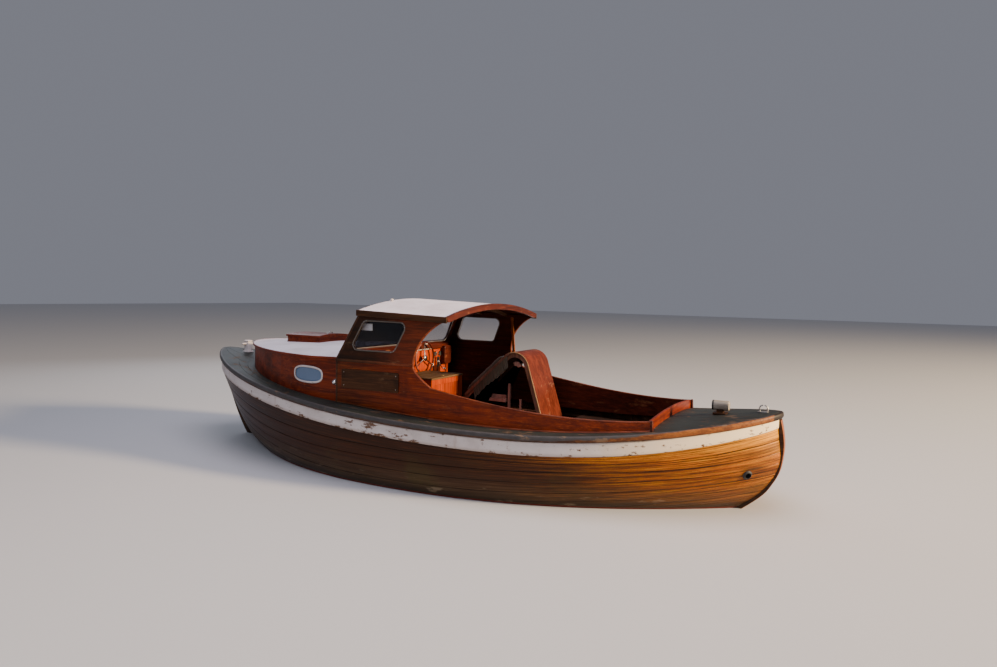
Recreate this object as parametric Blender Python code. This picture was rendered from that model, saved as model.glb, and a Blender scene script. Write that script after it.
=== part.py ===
import math

import bmesh
import bpy
import numpy as np
from mathutils import Matrix, Vector

# A double-ended wooden motor boat with an open-backed wheelhouse, afloat.
# +X is the bow, +Y is port, +Z is up. The origin is amidships on the waterline.

GAP = 0.0003            # clearance between pieces that touch
RUN = 0.006             # clearance round pieces that move
PIN_PLAY = 0.0008       # between a shaft and its hole

# hull
BOW_X = 3.345
STERN_X = -3.300
SHEER_HALF = 1.201      # half breadth of the planking at the sheer
SHEER_FULLNESS = 2.114
SHEER_END_AFT = 0.622
SHEER_END_FORE = 0.750
PLANK = 0.022           # thickness of the planking
BACKBONE = 0.090        # width of stem, keel and sternpost
POST_DEPTH = 0.130      # stem and sternpost, measured square to their curve
KEEL_DEPTH = 0.060      # how far the keel stands up inside the garboards
SHEER_LOW_X = -1.190    # where the sheer is lowest
SHEER_LOW_Z = 0.631
SHEER_STERN_Z = 0.860
SHEER_BOW_Z = 1.060
RAIL_THICK = 0.028
RAIL_HEIGHT = 0.056
BAND_HEIGHT = 0.118     # painted sheer strake under the rail
DECK_THICK = 0.0297
DECK_CROWN = 0.045
KEEL_FOOT_FORE = -0.560
SHOE_THICK = 0.040

# running gear
PROP_X = -2.200
PROP_TOP_Z = -0.320     # highest sweep of the blades
PROP_RADIUS = 0.150
PROP_TIP_ROOM = 0.035   # between the blades and the shoe
PROP_TO_DEADWOOD = 0.120
PROP_TO_RUDDER = 0.250
PROP_Z = PROP_TOP_Z - PROP_RADIUS
PROP_HUB = 0.032
PROP_HUB_LENGTH = 0.090
SHAFT_RADIUS = 0.0125
SHAFT_SLOPE = 0.130
KEEL_FOOT_AFT = PROP_Z - PROP_RADIUS - PROP_TIP_ROOM - SHOE_THICK
DEADWOOD_X = PROP_X + PROP_TO_DEADWOOD  # aft face of the deadwood
RUDDER_X = PROP_X - PROP_TO_RUDDER
RUDDER_TOP_Z = -0.285
RUDDER_LENGTH = 0.350
STOCK_RADIUS = 0.016
STOCK_TOP_Z = 0.300
SHOE_PAST_STOCK = 0.110
SHOE_END_X = RUDDER_X - SHOE_PAST_STOCK

# cabin sides, coaming and wheelhouse
SIDE_DECK = 0.196       # width of the side deck amidships
SIDE_Y = SHEER_HALF - SIDE_DECK  # outer face of the cabin sides
WALL = 0.022
CARLIN_DROP = 0.085     # how far the sides and the coaming reach below the deck
SIDE_FRONT_X = 0.644
SIDE_AFT_X = -0.244     # aft edge of the wheelhouse side at the belt
COAMING_START_X = -0.440
COAMING_END_X = -2.395
COAMING_END_DECK = 0.0538   # width of the side deck at the cockpit end
COAMING_END_Y = SHEER_HALF * (1.0 - (COAMING_END_X / STERN_X) ** SHEER_FULLNESS) ** SHEER_END_AFT - COAMING_END_DECK
COAMING_END_RISE = 0.090
CORNER_POST = 0.018         # depth of the posts at the cockpit's aft corners
CORNER_RISE = 0.008         # height of those posts over the coaming
COAMING_START_Z = 0.940
BELT_Z = 1.130
TUMBLE = 0.168          # lean of the window panels, metres in per metre up
WINDOW_CORNER = 0.055
GLASS = 0.006
WINDOW_SILL = 0.109     # above the belt
WINDOW_HEAD = 0.062     # below the edge of the roof
WINDOW_FORE_FOOT = 0.104
WINDOW_FORE_HEAD = 0.098
WINDOW_AFT_FOOT = 0.221
WINDOW_AFT_HEAD = 0.098
ROOF_AFT_X = -0.555
ROOF_EDGE_AFT_Z = 1.579
ROOF_EDGE_FORE_Z = 1.614
ROOF_EAVE = 0.0163      # the roof stands out this far past the window panels
ROOF_HALF = SIDE_Y - TUMBLE * (ROOF_EDGE_FORE_Z - BELT_Z) + ROOF_EAVE
ROOF_PEAK = 0.035       # overhang above the windscreen
ROOF_CAMBER = 0.116
SCREEN_FOOT_Z = BELT_Z + 0.015
SCREEN_RAKE = 0.228     # how far the windscreen leans back
SCREEN_TOP_X = SIDE_FRONT_X - SCREEN_RAKE
SCREEN_TOP_Z = ROOF_EDGE_FORE_Z - 0.005
SCREEN_THICK = 0.025
SCREEN_STILE = 0.091
ROOF_FORE_X = SCREEN_TOP_X + ROOF_PEAK
ROOF_THICK = 0.028
ROOF_BEAM = 0.024
ROOF_BEAM_DEPTH = 0.052
ROOF_BEAM_THICK = 0.022     # the two beams inside
ROOF_BEAM_DROP = 0.034
FASCIA = 0.0177

# low cabin ahead of the wheelhouse
TRUNK_END_X = 2.620
TRUNK_SWELL = 0.025     # fullness of its plan line beyond the cabin sides
TRUNK_SET_IN = 0.020    # how far its wall stands in from the cabin sides
TRUNK_HALF = SIDE_Y + TRUNK_SWELL
TRUNK_EDGE_AFT_Z = 1.130
TRUNK_EDGE_FORE_Z = 1.085
TRUNK_CAMBER = 0.085
TRUNK_TOP_THICK = 0.018
TRUNK_OVERHANG = 0.012
PORTLIGHT_AHEAD = 0.406     # from the windscreen's foot
PORTLIGHT_BELOW = 0.175     # from the edge of the cabin top
PORTLIGHT_X = SIDE_FRONT_X + PORTLIGHT_AHEAD
PORTLIGHT_Z = TRUNK_EDGE_AFT_Z - PORTLIGHT_BELOW
PORTLIGHT_LENGTH = 0.400
PORTLIGHT_HEIGHT = 0.150
HATCH_X = 1.800
HATCH_SIZE = 0.480
HATCH_CURB = 0.022
HATCH_CURB_HEIGHT = 0.050
HATCH_LID = 0.020

# inside
SOLE_Z = 0.150
SOLE_THICK = 0.020
BULKHEAD_FOOT_Z = -0.085
DOOR_SIDE_ROOM = 0.185
DOOR_HINGE_Y = SIDE_Y - DOOR_SIDE_ROOM
DOOR_WIDTH = 0.400
DOOR_SILL = 0.060       # above the sole
DOOR_HEAD = 0.075       # below the windscreen's foot
DOOR_HEIGHT = SCREEN_FOOT_Z - DOOR_HEAD - SOLE_Z - DOOR_SILL
DOOR_BOARD = 0.020
CONSOLE_DEPTH = 0.099
CONSOLE_SIDE_ROOM = 0.125
CONSOLE_WIDTH = 0.780
CONSOLE_RISE = 0.055    # above the windscreen's foot
CONSOLE_FOOT_Z = 0.800
CONSOLE_X = SIDE_FRONT_X - CONSOLE_DEPTH
CONSOLE_STBD_Y = -SIDE_Y + CONSOLE_SIDE_ROOM
CONSOLE_PORT_Y = CONSOLE_STBD_Y + CONSOLE_WIDTH
CONSOLE_TOP_Z = SCREEN_FOOT_Z + CONSOLE_RISE
WHEEL_IN = 0.190        # from the console's port end and ...
WHEEL_DOWN = 0.140      # ... from its top to the wheel's axis
WHEEL_Y = CONSOLE_PORT_Y - WHEEL_IN
WHEEL_Z = CONSOLE_TOP_Z - WHEEL_DOWN
WHEEL_RADIUS = 0.190
WHEEL_RIM = 0.013
WHEEL_STANDOFF = 0.060
WHEEL_SHAFT = 0.012
BOX_TO_CONSOLE = 0.125
BOX_LENGTH = 0.450
BOX_WIDTH = 0.600
BOX_STBD_Y = -0.250
BOX_FORE_X = CONSOLE_X - BOX_TO_CONSOLE
BOX_AFT_X = BOX_FORE_X - BOX_LENGTH
BOX_PORT_Y = BOX_STBD_Y + BOX_WIDTH
BOX_TOP_Z = 0.910
BOX_WALL = 0.018
BOX_LID = 0.020
ENGINE_ROOM = 0.055     # between the engine and the ends of its box
ENGINE_AFT_X = BOX_AFT_X + ENGINE_ROOM
ENGINE_FORE_X = BOX_FORE_X - ENGINE_ROOM
ENGINE_HALF = 0.150
ENGINE_TOP_Z = 0.520
SHAFT_FRONT_X = ENGINE_AFT_X - 0.020
SEAT_PORT_Y = -0.250
SEAT_WIDTH = 0.500
SEAT_STBD_Y = SEAT_PORT_Y - SEAT_WIDTH
SEAT_AFT_X = -1.115     # foot of the aft board
SEAT_RUN = 1.055        # from there to the foot of the fore board
SEAT_HEIGHT = 1.185     # of the corner over the bend, above the sole
SEAT_CORNER = 0.370     # how far that corner stands ahead of the aft foot
SEAT_KNEE = 0.545       # height of the fore board's edge above the sole
SEAT_BEND = 0.170
SEAT_BOARD = 0.016
SEAT_RIB = 0.042
SEAT_PAD = 0.050
BENCH_Z = 0.480
BENCH_INNER_Y = 0.480
BENCH_START_X = -1.150
BENCH_BOARD = 0.022

# on deck
BITT_AFT_BEHIND = 0.415     # from the cockpit end to the mooring bitt
BITT_FORE_AHEAD = 0.320     # from the low cabin to the fore bitt
EXHAUST_STATION = -0.775    # place of the outlet on the port quarter
EXHAUST_LINE = 5.75
EXHAUST_RADIUS = 0.030

STATIONS = 26           # hull stations from end to end
ROUND = 20              # sides of round pieces

# outer edge of the sternpost and of the stem, from the keel up
STERN_NOSE = [(STERN_X + ahead, z) for ahead, z in [
    (1.600, -0.350),
    (1.200, -0.305),
    (0.900, -0.250),
    (0.600, -0.170),
    (0.400, -0.090),
    (0.254, 0.016),
    (0.108, 0.144),
    (0.032, 0.254),
    (-0.012, 0.345),
    (-0.035, 0.448),
    (-0.045, 0.577),
    (-0.033, 0.700),
    (-0.012, 0.803),
]]
STEM_NOSE = [(BOW_X - back, z) for back, z in [
    (1.045, -0.360),
    (0.795, -0.290),
    (0.565, -0.150),
    (0.415, 0.020),
    (0.285, 0.220),
    (0.185, 0.420),
    (0.105, 0.620),
    (0.050, 0.820),
    (0.020, 1.003),
]]

# lines of the planking from the garboard to the foot of the painted strake
HULL_LINES = [
    # in from the sheer, height amidships, at the stern, at the bow, fullness, end shape aft, fore
    (1.156, -0.400, -0.350, -0.360, 2.00, 1.00, 1.00),
    (0.781, -0.350, -0.285, -0.270, 1.80, 1.25, 1.35),
    (0.421, -0.255, -0.190, -0.150, 1.90, 1.15, 1.30),
    (0.191, -0.130, -0.090, -0.020, 2.05, 1.05, 1.20),
    (0.061, 0.010, 0.020, 0.130, 2.20, 1.00, 1.10),
    (0.025, 0.165, 0.190, 0.320, 2.20, 0.88, 1.00),
    (0.009, 0.320, 0.430, 0.580, 2.15, 0.74, 0.90),
]

for old in list(bpy.data.objects):
    bpy.data.objects.remove(old, do_unlink=True)


def fair(xs, ys, x):
    # smooth curve through the points (xs, ys), read at x
    xs = np.asarray(xs, float)
    ys = np.asarray(ys, float)
    slopes = np.gradient(ys, xs)
    i = int(np.clip(np.searchsorted(xs, x) - 1, 0, len(xs) - 2))
    h = xs[i + 1] - xs[i]
    t = (x - xs[i]) / h
    a = (1 + 2 * t) * (1 - t) ** 2
    b = t * (1 - t) ** 2
    c = t * t * (3 - 2 * t)
    d = t * t * (t - 1)
    return float(a * ys[i] + b * h * slopes[i] + c * ys[i + 1] + d * h * slopes[i + 1])


def sheer_z(x):
    # top edge of the hull, lowest a little aft of amidships
    if x < SHEER_LOW_X:
        k = (SHEER_STERN_Z - SHEER_LOW_Z) / (STERN_X - SHEER_LOW_X) ** 2
    else:
        k = (SHEER_BOW_Z - SHEER_LOW_Z) / (BOW_X - SHEER_LOW_X) ** 2
    return SHEER_LOW_Z + k * (x - SHEER_LOW_X) ** 2


def nose_x(nose, z):
    return fair([p[1] for p in nose], [p[0] for p in nose], z)


def band_height(x):
    # the painted strake narrows towards the stern end
    aft = max(0.0, (x / STERN_X - 0.6) / 0.4)
    return BAND_HEIGHT * (1.0 - 0.38 * aft ** 2)


POST_Y = BACKBONE / 2 + GAP


def row_point(row, s, inset):
    # one point of a hull line; s runs from -1 at the sternpost to 1 at the stem
    side_aft = s < 0
    if row < len(HULL_LINES):
        inside, z_mid, z_aft, z_fore, full, blunt_aft, blunt_fore = HULL_LINES[row]
        half = SHEER_HALF - inside
        z_end = z_aft if side_aft else z_fore
        end = abs(nose_x(STERN_NOSE if side_aft else STEM_NOSE, z_end))
        blunt = blunt_aft if side_aft else blunt_fore
    else:
        half, full = SHEER_HALF, SHEER_FULLNESS
        blunt = SHEER_END_AFT if side_aft else SHEER_END_FORE
        end = -STERN_X if side_aft else BOW_X - 0.030
    lines = [(SHEER_HALF - line[0], line[1]) for line in HULL_LINES]
    lines.append((SHEER_HALF, SHEER_LOW_Z - RAIL_HEIGHT - BAND_HEIGHT + 0.030))
    low = lines[min(max(row - 1, 0), len(lines) - 1)]
    high = lines[min(row + 1, len(lines) - 1)]
    run, rise = high[0] - low[0], high[1] - low[1]
    length = math.hypot(run, rise)
    ease = math.sin(abs(s) * math.pi / 2)
    if row == 0:
        end -= 0.012
        u = ease
        y = POST_Y
        z_in = inset
    else:
        if row >= len(HULL_LINES):
            run, rise, length = 0.0, 1.0, 1.0
        half -= inset * rise / length
        end -= inset * (1.0 + 0.5 * (blunt > 0.85))
        reach = (1.0 - (POST_Y / half) ** (1.0 / blunt)) ** (1.0 / full)
        u = ease * reach
        y = half * max(0.0, 1.0 - u ** full) ** blunt
        if abs(s) > 0.9999:
            y = POST_Y
        z_in = inset * run / length
    x = u * end * (-1.0 if side_aft else 1.0)
    if row < len(HULL_LINES):
        z = z_mid + (z_end - z_mid) * u ** 2.4 + z_in
    else:
        drop = [RAIL_HEIGHT + band_height(x), RAIL_HEIGHT, DECK_THICK + GAP][row - len(HULL_LINES)]
        z = sheer_z(x) - drop
    return np.array([x, y, z])


ROWS = len(HULL_LINES) + 3
SPAN = [2.0 * i / STATIONS - 1.0 for i in range(STATIONS + 1)]


def hull_point(s, t, inset):
    # t counts the hull lines from the garboard; between them the section is a smooth curve
    cache = hull_point.cache
    key = (round(s, 6), round(inset, 6))
    if key not in cache:
        cache[key] = np.array([row_point(r, s, inset) for r in range(ROWS)])
    points = cache[key]
    band = len(HULL_LINES)
    if t <= band:
        return np.array([fair(range(band + 1), points[:band + 1, k], t) for k in range(3)])
    r = min(int(t), ROWS - 2)
    return points[r] + (points[r + 1] - points[r]) * (t - r)


hull_point.cache = {}


def material(name, color, roughness, metallic=0.0):
    mat = bpy.data.materials.new(name)
    mat.use_nodes = True
    shader = mat.node_tree.nodes["Principled BSDF"]
    shader.inputs["Base Color"].default_value = (color[0], color[1], color[2], 1.0)
    shader.inputs["Roughness"].default_value = roughness
    shader.inputs["Metallic"].default_value = metallic
    return mat


# colours read off the boat: weathered varnish, worn white paint, dark decks
LOOKS = {
    "planking": ((0.55, 0.28, 0.08), 0.45, 0.0),
    "backbone": ((0.16, 0.09, 0.05), 0.6, 0.0),
    "white": ((0.72, 0.70, 0.66), 0.6, 0.0),
    "rail": ((0.30, 0.12, 0.05), 0.45, 0.0),
    "deck": ((0.10, 0.10, 0.09), 0.7, 0.0),
    "mahogany": ((0.28, 0.07, 0.03), 0.4, 0.0),
    "dark_side": ((0.10, 0.06, 0.03), 0.5, 0.0),
    "roof": ((0.70, 0.68, 0.74), 0.6, 0.0),
    "orange": ((0.62, 0.18, 0.03), 0.4, 0.0),
    "interior": ((0.14, 0.07, 0.04), 0.7, 0.0),
    "glass": ((0.45, 0.50, 0.58), 0.1, 0.0),
    "iron": ((0.12, 0.12, 0.12), 0.5, 0.8),
    "bronze": ((0.45, 0.30, 0.12), 0.4, 0.9),
    "chrome": ((0.75, 0.75, 0.77), 0.2, 1.0),
    "grey_wood": ((0.50, 0.47, 0.42), 0.8, 0.0),
    "pad": ((0.20, 0.17, 0.11), 0.9, 0.0),
}


def new_object(name, mesh, look=None):
    obj = bpy.data.objects.new(name, mesh)
    bpy.context.scene.collection.objects.link(obj)
    if look:
        color, roughness, metallic = LOOKS[look]
        mesh.materials.append(material(name, color, roughness, metallic))
    return obj


def solid(name, verts, faces, look=None, smooth=30.0):
    mesh = bpy.data.meshes.new(name)
    bm = bmesh.new()
    made = [bm.verts.new(tuple(float(c) for c in v)) for v in verts]
    for face in faces:
        bm.faces.new([made[i] for i in face])
    bmesh.ops.recalc_face_normals(bm, faces=bm.faces[:])
    bm.to_mesh(mesh)
    bm.free()
    if smooth:
        mesh.shade_smooth()
        mesh.set_sharp_from_angle(angle=math.radians(smooth))
    return new_object(name, mesh, look)


def shell(name, outer, inner, look=None):
    # closed plate between two grids of points of the same size
    rows, cols = len(outer), len(outer[0])
    verts = [p for row in outer for p in row] + [p for row in inner for p in row]
    base = rows * cols
    faces = []
    for i in range(rows - 1):
        for j in range(cols - 1):
            a, b = i * cols + j, i * cols + j + 1
            c, d = (i + 1) * cols + j + 1, (i + 1) * cols + j
            faces += [(a, b, c), (a, c, d)]
            faces += [(base + c, base + b, base + a), (base + d, base + c, base + a)]
    for i in range(rows - 1):
        for j in (0, cols - 1):
            a, b = i * cols + j, (i + 1) * cols + j
            faces.append((a, b, base + b, base + a))
    for j in range(cols - 1):
        for i in (0, rows - 1):
            a, b = i * cols + j, i * cols + j + 1
            faces.append((a, b, base + b, base + a))
    return solid(name, verts, faces, look)


def tube_of_loops(name, loops, look=None, smooth=30.0):
    # closed body through loops of the same number of points
    count = len(loops[0])
    verts = [p for loop in loops for p in loop]
    faces = [tuple(range(count)), tuple((len(loops) - 1) * count + i for i in reversed(range(count)))]
    for k in range(len(loops) - 1):
        for i in range(count):
            j = (i + 1) % count
            faces.append((k * count + i, k * count + j, (k + 1) * count + j, (k + 1) * count + i))
    return solid(name, verts, faces, look, smooth)


def plate(name, outline, axis, low, high, look=None):
    # flat outline pushed out along one axis; the outline names the other two in order
    order = {"X": (1, 2, 0), "Y": (0, 2, 1), "Z": (0, 1, 2)}[axis]

    def place(p, w):
        v = [0.0, 0.0, 0.0]
        v[order[0]], v[order[1]], v[order[2]] = p[0], p[1], w
        return v

    return tube_of_loops(name, [[place(p, low) for p in outline], [place(p, high) for p in outline]], look)


def box(name, x0, x1, y0, y1, z0, z1, look=None):
    return plate(name, [(x0, y0), (x1, y0), (x1, y1), (x0, y1)], "Z", z0, z1, look)


def rod(name, start, end, radius, look=None, sides=ROUND, end_radius=None):
    start, end = Vector(start), Vector(end)
    turn = (end - start).to_track_quat("Z", "Y").to_matrix()
    loops = []
    for centre, r in ((start, radius), (end, radius if end_radius is None else end_radius)):
        ring = [2 * math.pi * i / sides for i in range(sides)]
        loops.append([centre + turn @ Vector((r * math.cos(a), r * math.sin(a), 0.0)) for a in ring])
    return tube_of_loops(name, loops, look)


def rounded(x0, x1, z0, z1, radius, steps=4):
    # rectangle with round corners
    points = []
    for cx, cz, start in ((x1 - radius, z1 - radius, 0.0), (x0 + radius, z1 - radius, 90.0),
                          (x0 + radius, z0 + radius, 180.0), (x1 - radius, z0 + radius, 270.0)):
        for k in range(steps + 1):
            a = math.radians(start + 90.0 * k / steps)
            points.append((cx + radius * math.cos(a), cz + radius * math.sin(a)))
    return points


def guide(obj):
    obj.hide_render = True
    obj.display_type = "WIRE"
    return obj


def boolean(obj, other, operation):
    mod = obj.modifiers.new(operation.lower(), "BOOLEAN")
    mod.operation = operation
    mod.solver = "EXACT"
    mod.object = other
    guide(other)
    return obj


def cut(obj, *cutters):
    for cutter in cutters:
        boolean(obj, cutter, "DIFFERENCE")
    return obj


def join(obj, *others):
    for other in others:
        boolean(obj, other, "UNION")
    return obj


def within(obj, other):
    return boolean(obj, other, "INTERSECT")


def hang(obj, point):
    # puts the origin of a moving piece on its hinge
    obj.data.transform(Matrix.Translation(-Vector(point)))
    obj.location = point
    return obj


# hull: planking, painted strake and rail on each side
TOP = ROWS - 1
BAND = len(HULL_LINES)
PLANK_ROWS = [BAND * i / 11 for i in range(12)]
for side, tag in ((1, "port"), (-1, "stbd")):
    grids = []
    for inset in (0.0, PLANK):
        grid = []
        for t in PLANK_ROWS:
            row = [hull_point(s, t, inset) for s in SPAN]
            if t == PLANK_ROWS[-1]:
                row = [p - np.array([0, 0, GAP]) for p in row]
            grid.append([(p[0], side * p[1], p[2]) for p in row])
        grids.append(grid)
    shell("planking_" + tag, grids[0], grids[1], "planking")
    grids = []
    for inset in (0.0, PLANK):
        grid = []
        for t in (BAND, BAND + 1, TOP):
            row = [hull_point(s, t, inset) for s in SPAN]
            grid.append([(p[0], side * p[1], p[2]) for p in row])
        grids.append(grid)
    shell("sheer_strake_" + tag, grids[0], grids[1], "white")

# plan line of the hull at the sheer, shared by the rails and the decks
SHEER = np.array([hull_point(s, TOP, 0.0) for s in SPAN])


def offset_plan(points, distance):
    # moves a plan line outwards, square to itself
    moved = []
    for i, p in enumerate(points):
        a = points[max(i - 1, 0)]
        b = points[min(i + 1, len(points) - 1)]
        tangent = np.array([b[0] - a[0], b[1] - a[1]])
        tangent = tangent / np.hypot(*tangent)
        moved.append((p[0] - tangent[1] * distance, p[1] + tangent[0] * distance))
    return moved


rail_inner = offset_plan(SHEER, GAP)
rail_outer = offset_plan(SHEER, GAP + RAIL_THICK)
rail_inner = [(rail_inner[0][0] - 0.001, GAP / 2)] + rail_inner + [(rail_inner[-1][0] + 0.001, GAP / 2)]
rail_outer = ([(rail_outer[0][0] - 0.008, GAP / 2)] + rail_outer
              + [(rail_outer[-1][0] + 0.008, GAP / 2)])
for side, tag in ((1, "port"), (-1, "stbd")):
    loops = []
    for (xi, yi), (xo, yo) in zip(rail_inner, rail_outer):
        zi = sheer_z(float(np.clip(xi, STERN_X, BOW_X)))
        zo = sheer_z(float(np.clip(xo, STERN_X - 0.04, BOW_X)))
        loops.append([(xi, side * yi, zi - RAIL_HEIGHT), (xo, side * yo, zo - RAIL_HEIGHT + 0.008),
                      (xo, side * yo, zo - 0.008), (xi, side * yi, zi)])
    tube_of_loops("rub_rail_" + tag, loops, "rail")

# the space inside the planking, used to fit bulkheads and the sole
hold_loops = []
for s in SPAN:
    half = [hull_point(s, t, PLANK + GAP) for t in PLANK_ROWS + [TOP]]
    top = half[-1] + np.array([0, 0, 1.2])
    half = half + [top]
    loop = [(p[0], p[1], p[2]) for p in half] + [(p[0], -p[1], p[2]) for p in reversed(half)]
    hold_loops.append(loop)
count = len(hold_loops[0])
verts = [p for loop in hold_loops for p in loop]
faces = []
for k in range(len(hold_loops) - 1):
    for i in range(count):
        j = (i + 1) % count
        a, b, c, d = k * count + i, k * count + j, (k + 1) * count + j, (k + 1) * count + i
        # the same diagonals as the planking, so that both skins stay parallel
        faces += [(a, b, c), (a, c, d)] if i < count // 2 else [(a, b, d), (b, c, d)]
for k in (0, len(hold_loops) - 1):
    for i in range(count // 2 - 1):
        faces.append((k * count + i, k * count + i + 1,
                      k * count + count - 2 - i, k * count + count - 1 - i))
hold = guide(solid("guide_hold", verts, faces, None, 0))


# backbone: sternpost, stem and keel, side faces where the planks land
def post_outline(nose, depth, steps):
    zs = [p[1] for p in nose]
    xs = [p[0] for p in nose]
    along = [i / (len(nose) - 1) for i in range(len(nose))]
    curve = [(fair(along, xs, t), fair(along, zs, t)) for t in np.linspace(0, 1, steps)]
    inner = []
    for i, p in enumerate(curve):
        a, b = curve[max(i - 1, 0)], curve[min(i + 1, len(curve) - 1)]
        tx, tz = b[0] - a[0], b[1] - a[1]
        length = math.hypot(tx, tz)
        turn = 1.0 if nose[0][0] < 0 else -1.0
        inner.append((p[0] + turn * tz / length * depth, p[1] - turn * tx / length * depth))
    return curve, inner


half = BACKBONE / 2
stern_head = sheer_z(SHEER[0][0] + 0.010) - RAIL_HEIGHT - GAP
stem_head = sheer_z(SHEER[-1][0] - 0.010) - RAIL_HEIGHT - GAP
stern_line = [p for p in STERN_NOSE if p[1] < stern_head - 0.040] + [(STERN_NOSE[-1][0], stern_head)]
stem_line = [p for p in STEM_NOSE if p[1] < stem_head - 0.040] + [(STEM_NOSE[-1][0], stem_head)]
stern_curve, stern_inner = post_outline(stern_line, POST_DEPTH, 25)
stern_inner[0] = (stern_curve[0][0], stern_curve[0][1] + POST_DEPTH)
stern_inner[-1] = (stern_inner[-1][0], stern_curve[-1][1])
sternpost = plate("sternpost", stern_curve + stern_inner[::-1], "Y", -half, half, "backbone")
stem_curve, stem_inner = post_outline(stem_line, POST_DEPTH, 19)
stem_inner[0] = (stem_curve[0][0], stem_curve[0][1] + POST_DEPTH)
stem_inner[-1] = (stem_inner[-1][0], stem_curve[-1][1])
plate("stem", stem_curve + stem_inner[::-1], "Y", -half, half, "backbone")

stock_hole = rod("cutter_stock", (RUDDER_X, 0, KEEL_FOOT_AFT + 0.012), (RUDDER_X, 0, 0.3), STOCK_RADIUS + PIN_PLAY)
cut(sternpost, stock_hole)

keel_aft = stern_curve[0][0] + GAP
keel_top = HULL_LINES[0][1] + KEEL_DEPTH
seam = [(x, z - GAP) for x, z in stern_curve if x >= DEADWOOD_X]
keel_outline = [
    (keel_aft, keel_top),
    (stem_curve[0][0] - GAP, keel_top + 0.010),
    (stem_curve[0][0] - GAP, stem_curve[0][1]),
    (stem_curve[0][0] - 0.180, -0.430),
    (1.700, KEEL_FOOT_FORE),
    (SHOE_END_X, KEEL_FOOT_AFT),
    (SHOE_END_X, KEEL_FOOT_AFT + SHOE_THICK),
    (DEADWOOD_X - 0.040, KEEL_FOOT_AFT + SHOE_THICK),
    (DEADWOOD_X, KEEL_FOOT_AFT + SHOE_THICK + 0.040),
    (DEADWOOD_X, fair([-p[0] for p in stern_curve], [p[1] for p in stern_curve], -DEADWOOD_X) - GAP),
] + seam[::-1] + [(keel_aft, seam[0][1])]
keel = plate("keel", keel_outline, "Y", -half, half, "backbone")


def shaft_z(x):
    return PROP_Z + SHAFT_SLOPE * (x - PROP_X)


bore = rod("cutter_bore", (DEADWOOD_X - 0.2, 0, shaft_z(DEADWOOD_X - 0.2)), (-0.6, 0, shaft_z(-0.6)),
           SHAFT_RADIUS + PIN_PLAY)
cut(keel, bore, stock_hole)

# decks: strips between two plan lines, sprung to the sheer and crowned
sheer_x = [p[0] for p in SHEER]
sheer_y = [p[1] for p in SHEER]
edge_z = [sheer_z(x) for x in sheer_x]


def deck_z(x, y):
    edge = max(float(np.interp(x, sheer_x, sheer_y)), 0.05)
    crown = DECK_CROWN * min(1.0, edge / 0.9)
    return float(np.interp(x, sheer_x, edge_z)) + crown * (1.0 - (y / edge) ** 2)


def coaming_y(x):
    # plan line of the outer face of the cabin sides and coaming
    if x >= COAMING_START_X:
        return SIDE_Y
    k = (SIDE_Y - COAMING_END_Y) / (COAMING_END_X - COAMING_START_X) ** 2
    return SIDE_Y - k * (x - COAMING_START_X) ** 2


def trunk_y(x):
    if x >= TRUNK_END_X:
        return 0.0
    wide = TRUNK_HALF * (1.0 - (x / TRUNK_END_X) ** 2.6) ** 0.60
    return min(wide, SIDE_Y - TRUNK_SET_IN)


COAMING_X = list(np.linspace(COAMING_END_X, COAMING_START_X, 15))
TRUNK_X = [SIDE_FRONT_X + GAP + (TRUNK_END_X - SIDE_FRONT_X - GAP) * math.sin(math.pi / 2 * i / 14)
           for i in range(15)]


def line_at(xs, function, x):
    return float(np.interp(x, xs, [function(v) for v in xs]))


def merge_stations(low, high, *lists):
    values = sorted({round(v, 6) for v in [low, high] + [v for xs in lists for v in xs if low < v < high]})
    kept = [values[0]]
    for v in values[1:-1]:
        if v - kept[-1] > 0.012 and values[-1] - v > 0.012:
            kept.append(v)
        elif any(abs(v - w) < 1e-5 for xs in lists[:1] for w in xs) and v - kept[-1] > 0.0005:
            kept.append(v)
    return kept + [values[-1]]


def deck_strip(name, stations, inner, outer, across, side):
    top, under = [], []
    for x in stations:
        y0, y1 = inner(x), outer(x)
        line = [(x, side * (y0 + (y1 - y0) * j / across)) for j in range(across + 1)]
        top.append([(px, py, deck_z(px, py)) for px, py in line])
        under.append([(px, py, deck_z(px, py) - DECK_THICK) for px, py in line])
    return shell(name, top, under, "deck")


def deck_edge(x):
    return float(np.interp(x, sheer_x, sheer_y))


exact = sheer_x + COAMING_X
side_stations = sorted({round(v, 6) for v in exact if COAMING_END_X < v < SIDE_FRONT_X})
side_stations = [COAMING_END_X] + side_stations + [SIDE_FRONT_X]
for side, tag in ((1, "port"), (-1, "stbd")):
    deck_strip("side_deck_" + tag, side_stations, lambda x: line_at(COAMING_X, coaming_y, x) + GAP,
               deck_edge, 2, side)

aft_stations = [sheer_x[0]] + [x for x in sheer_x[1:] if x < COAMING_END_X - 0.02] + [COAMING_END_X - GAP]
top, under = [], []
for x in aft_stations:
    edge = deck_edge(x)
    line = [edge * (2.0 * j / 8 - 1.0) for j in range(9)]
    top.append([(x, y, deck_z(x, y)) for y in line])
    under.append([(x, y, deck_z(x, y) - DECK_THICK) for y in line])
shell("deck_aft", top, under, "deck")

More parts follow.
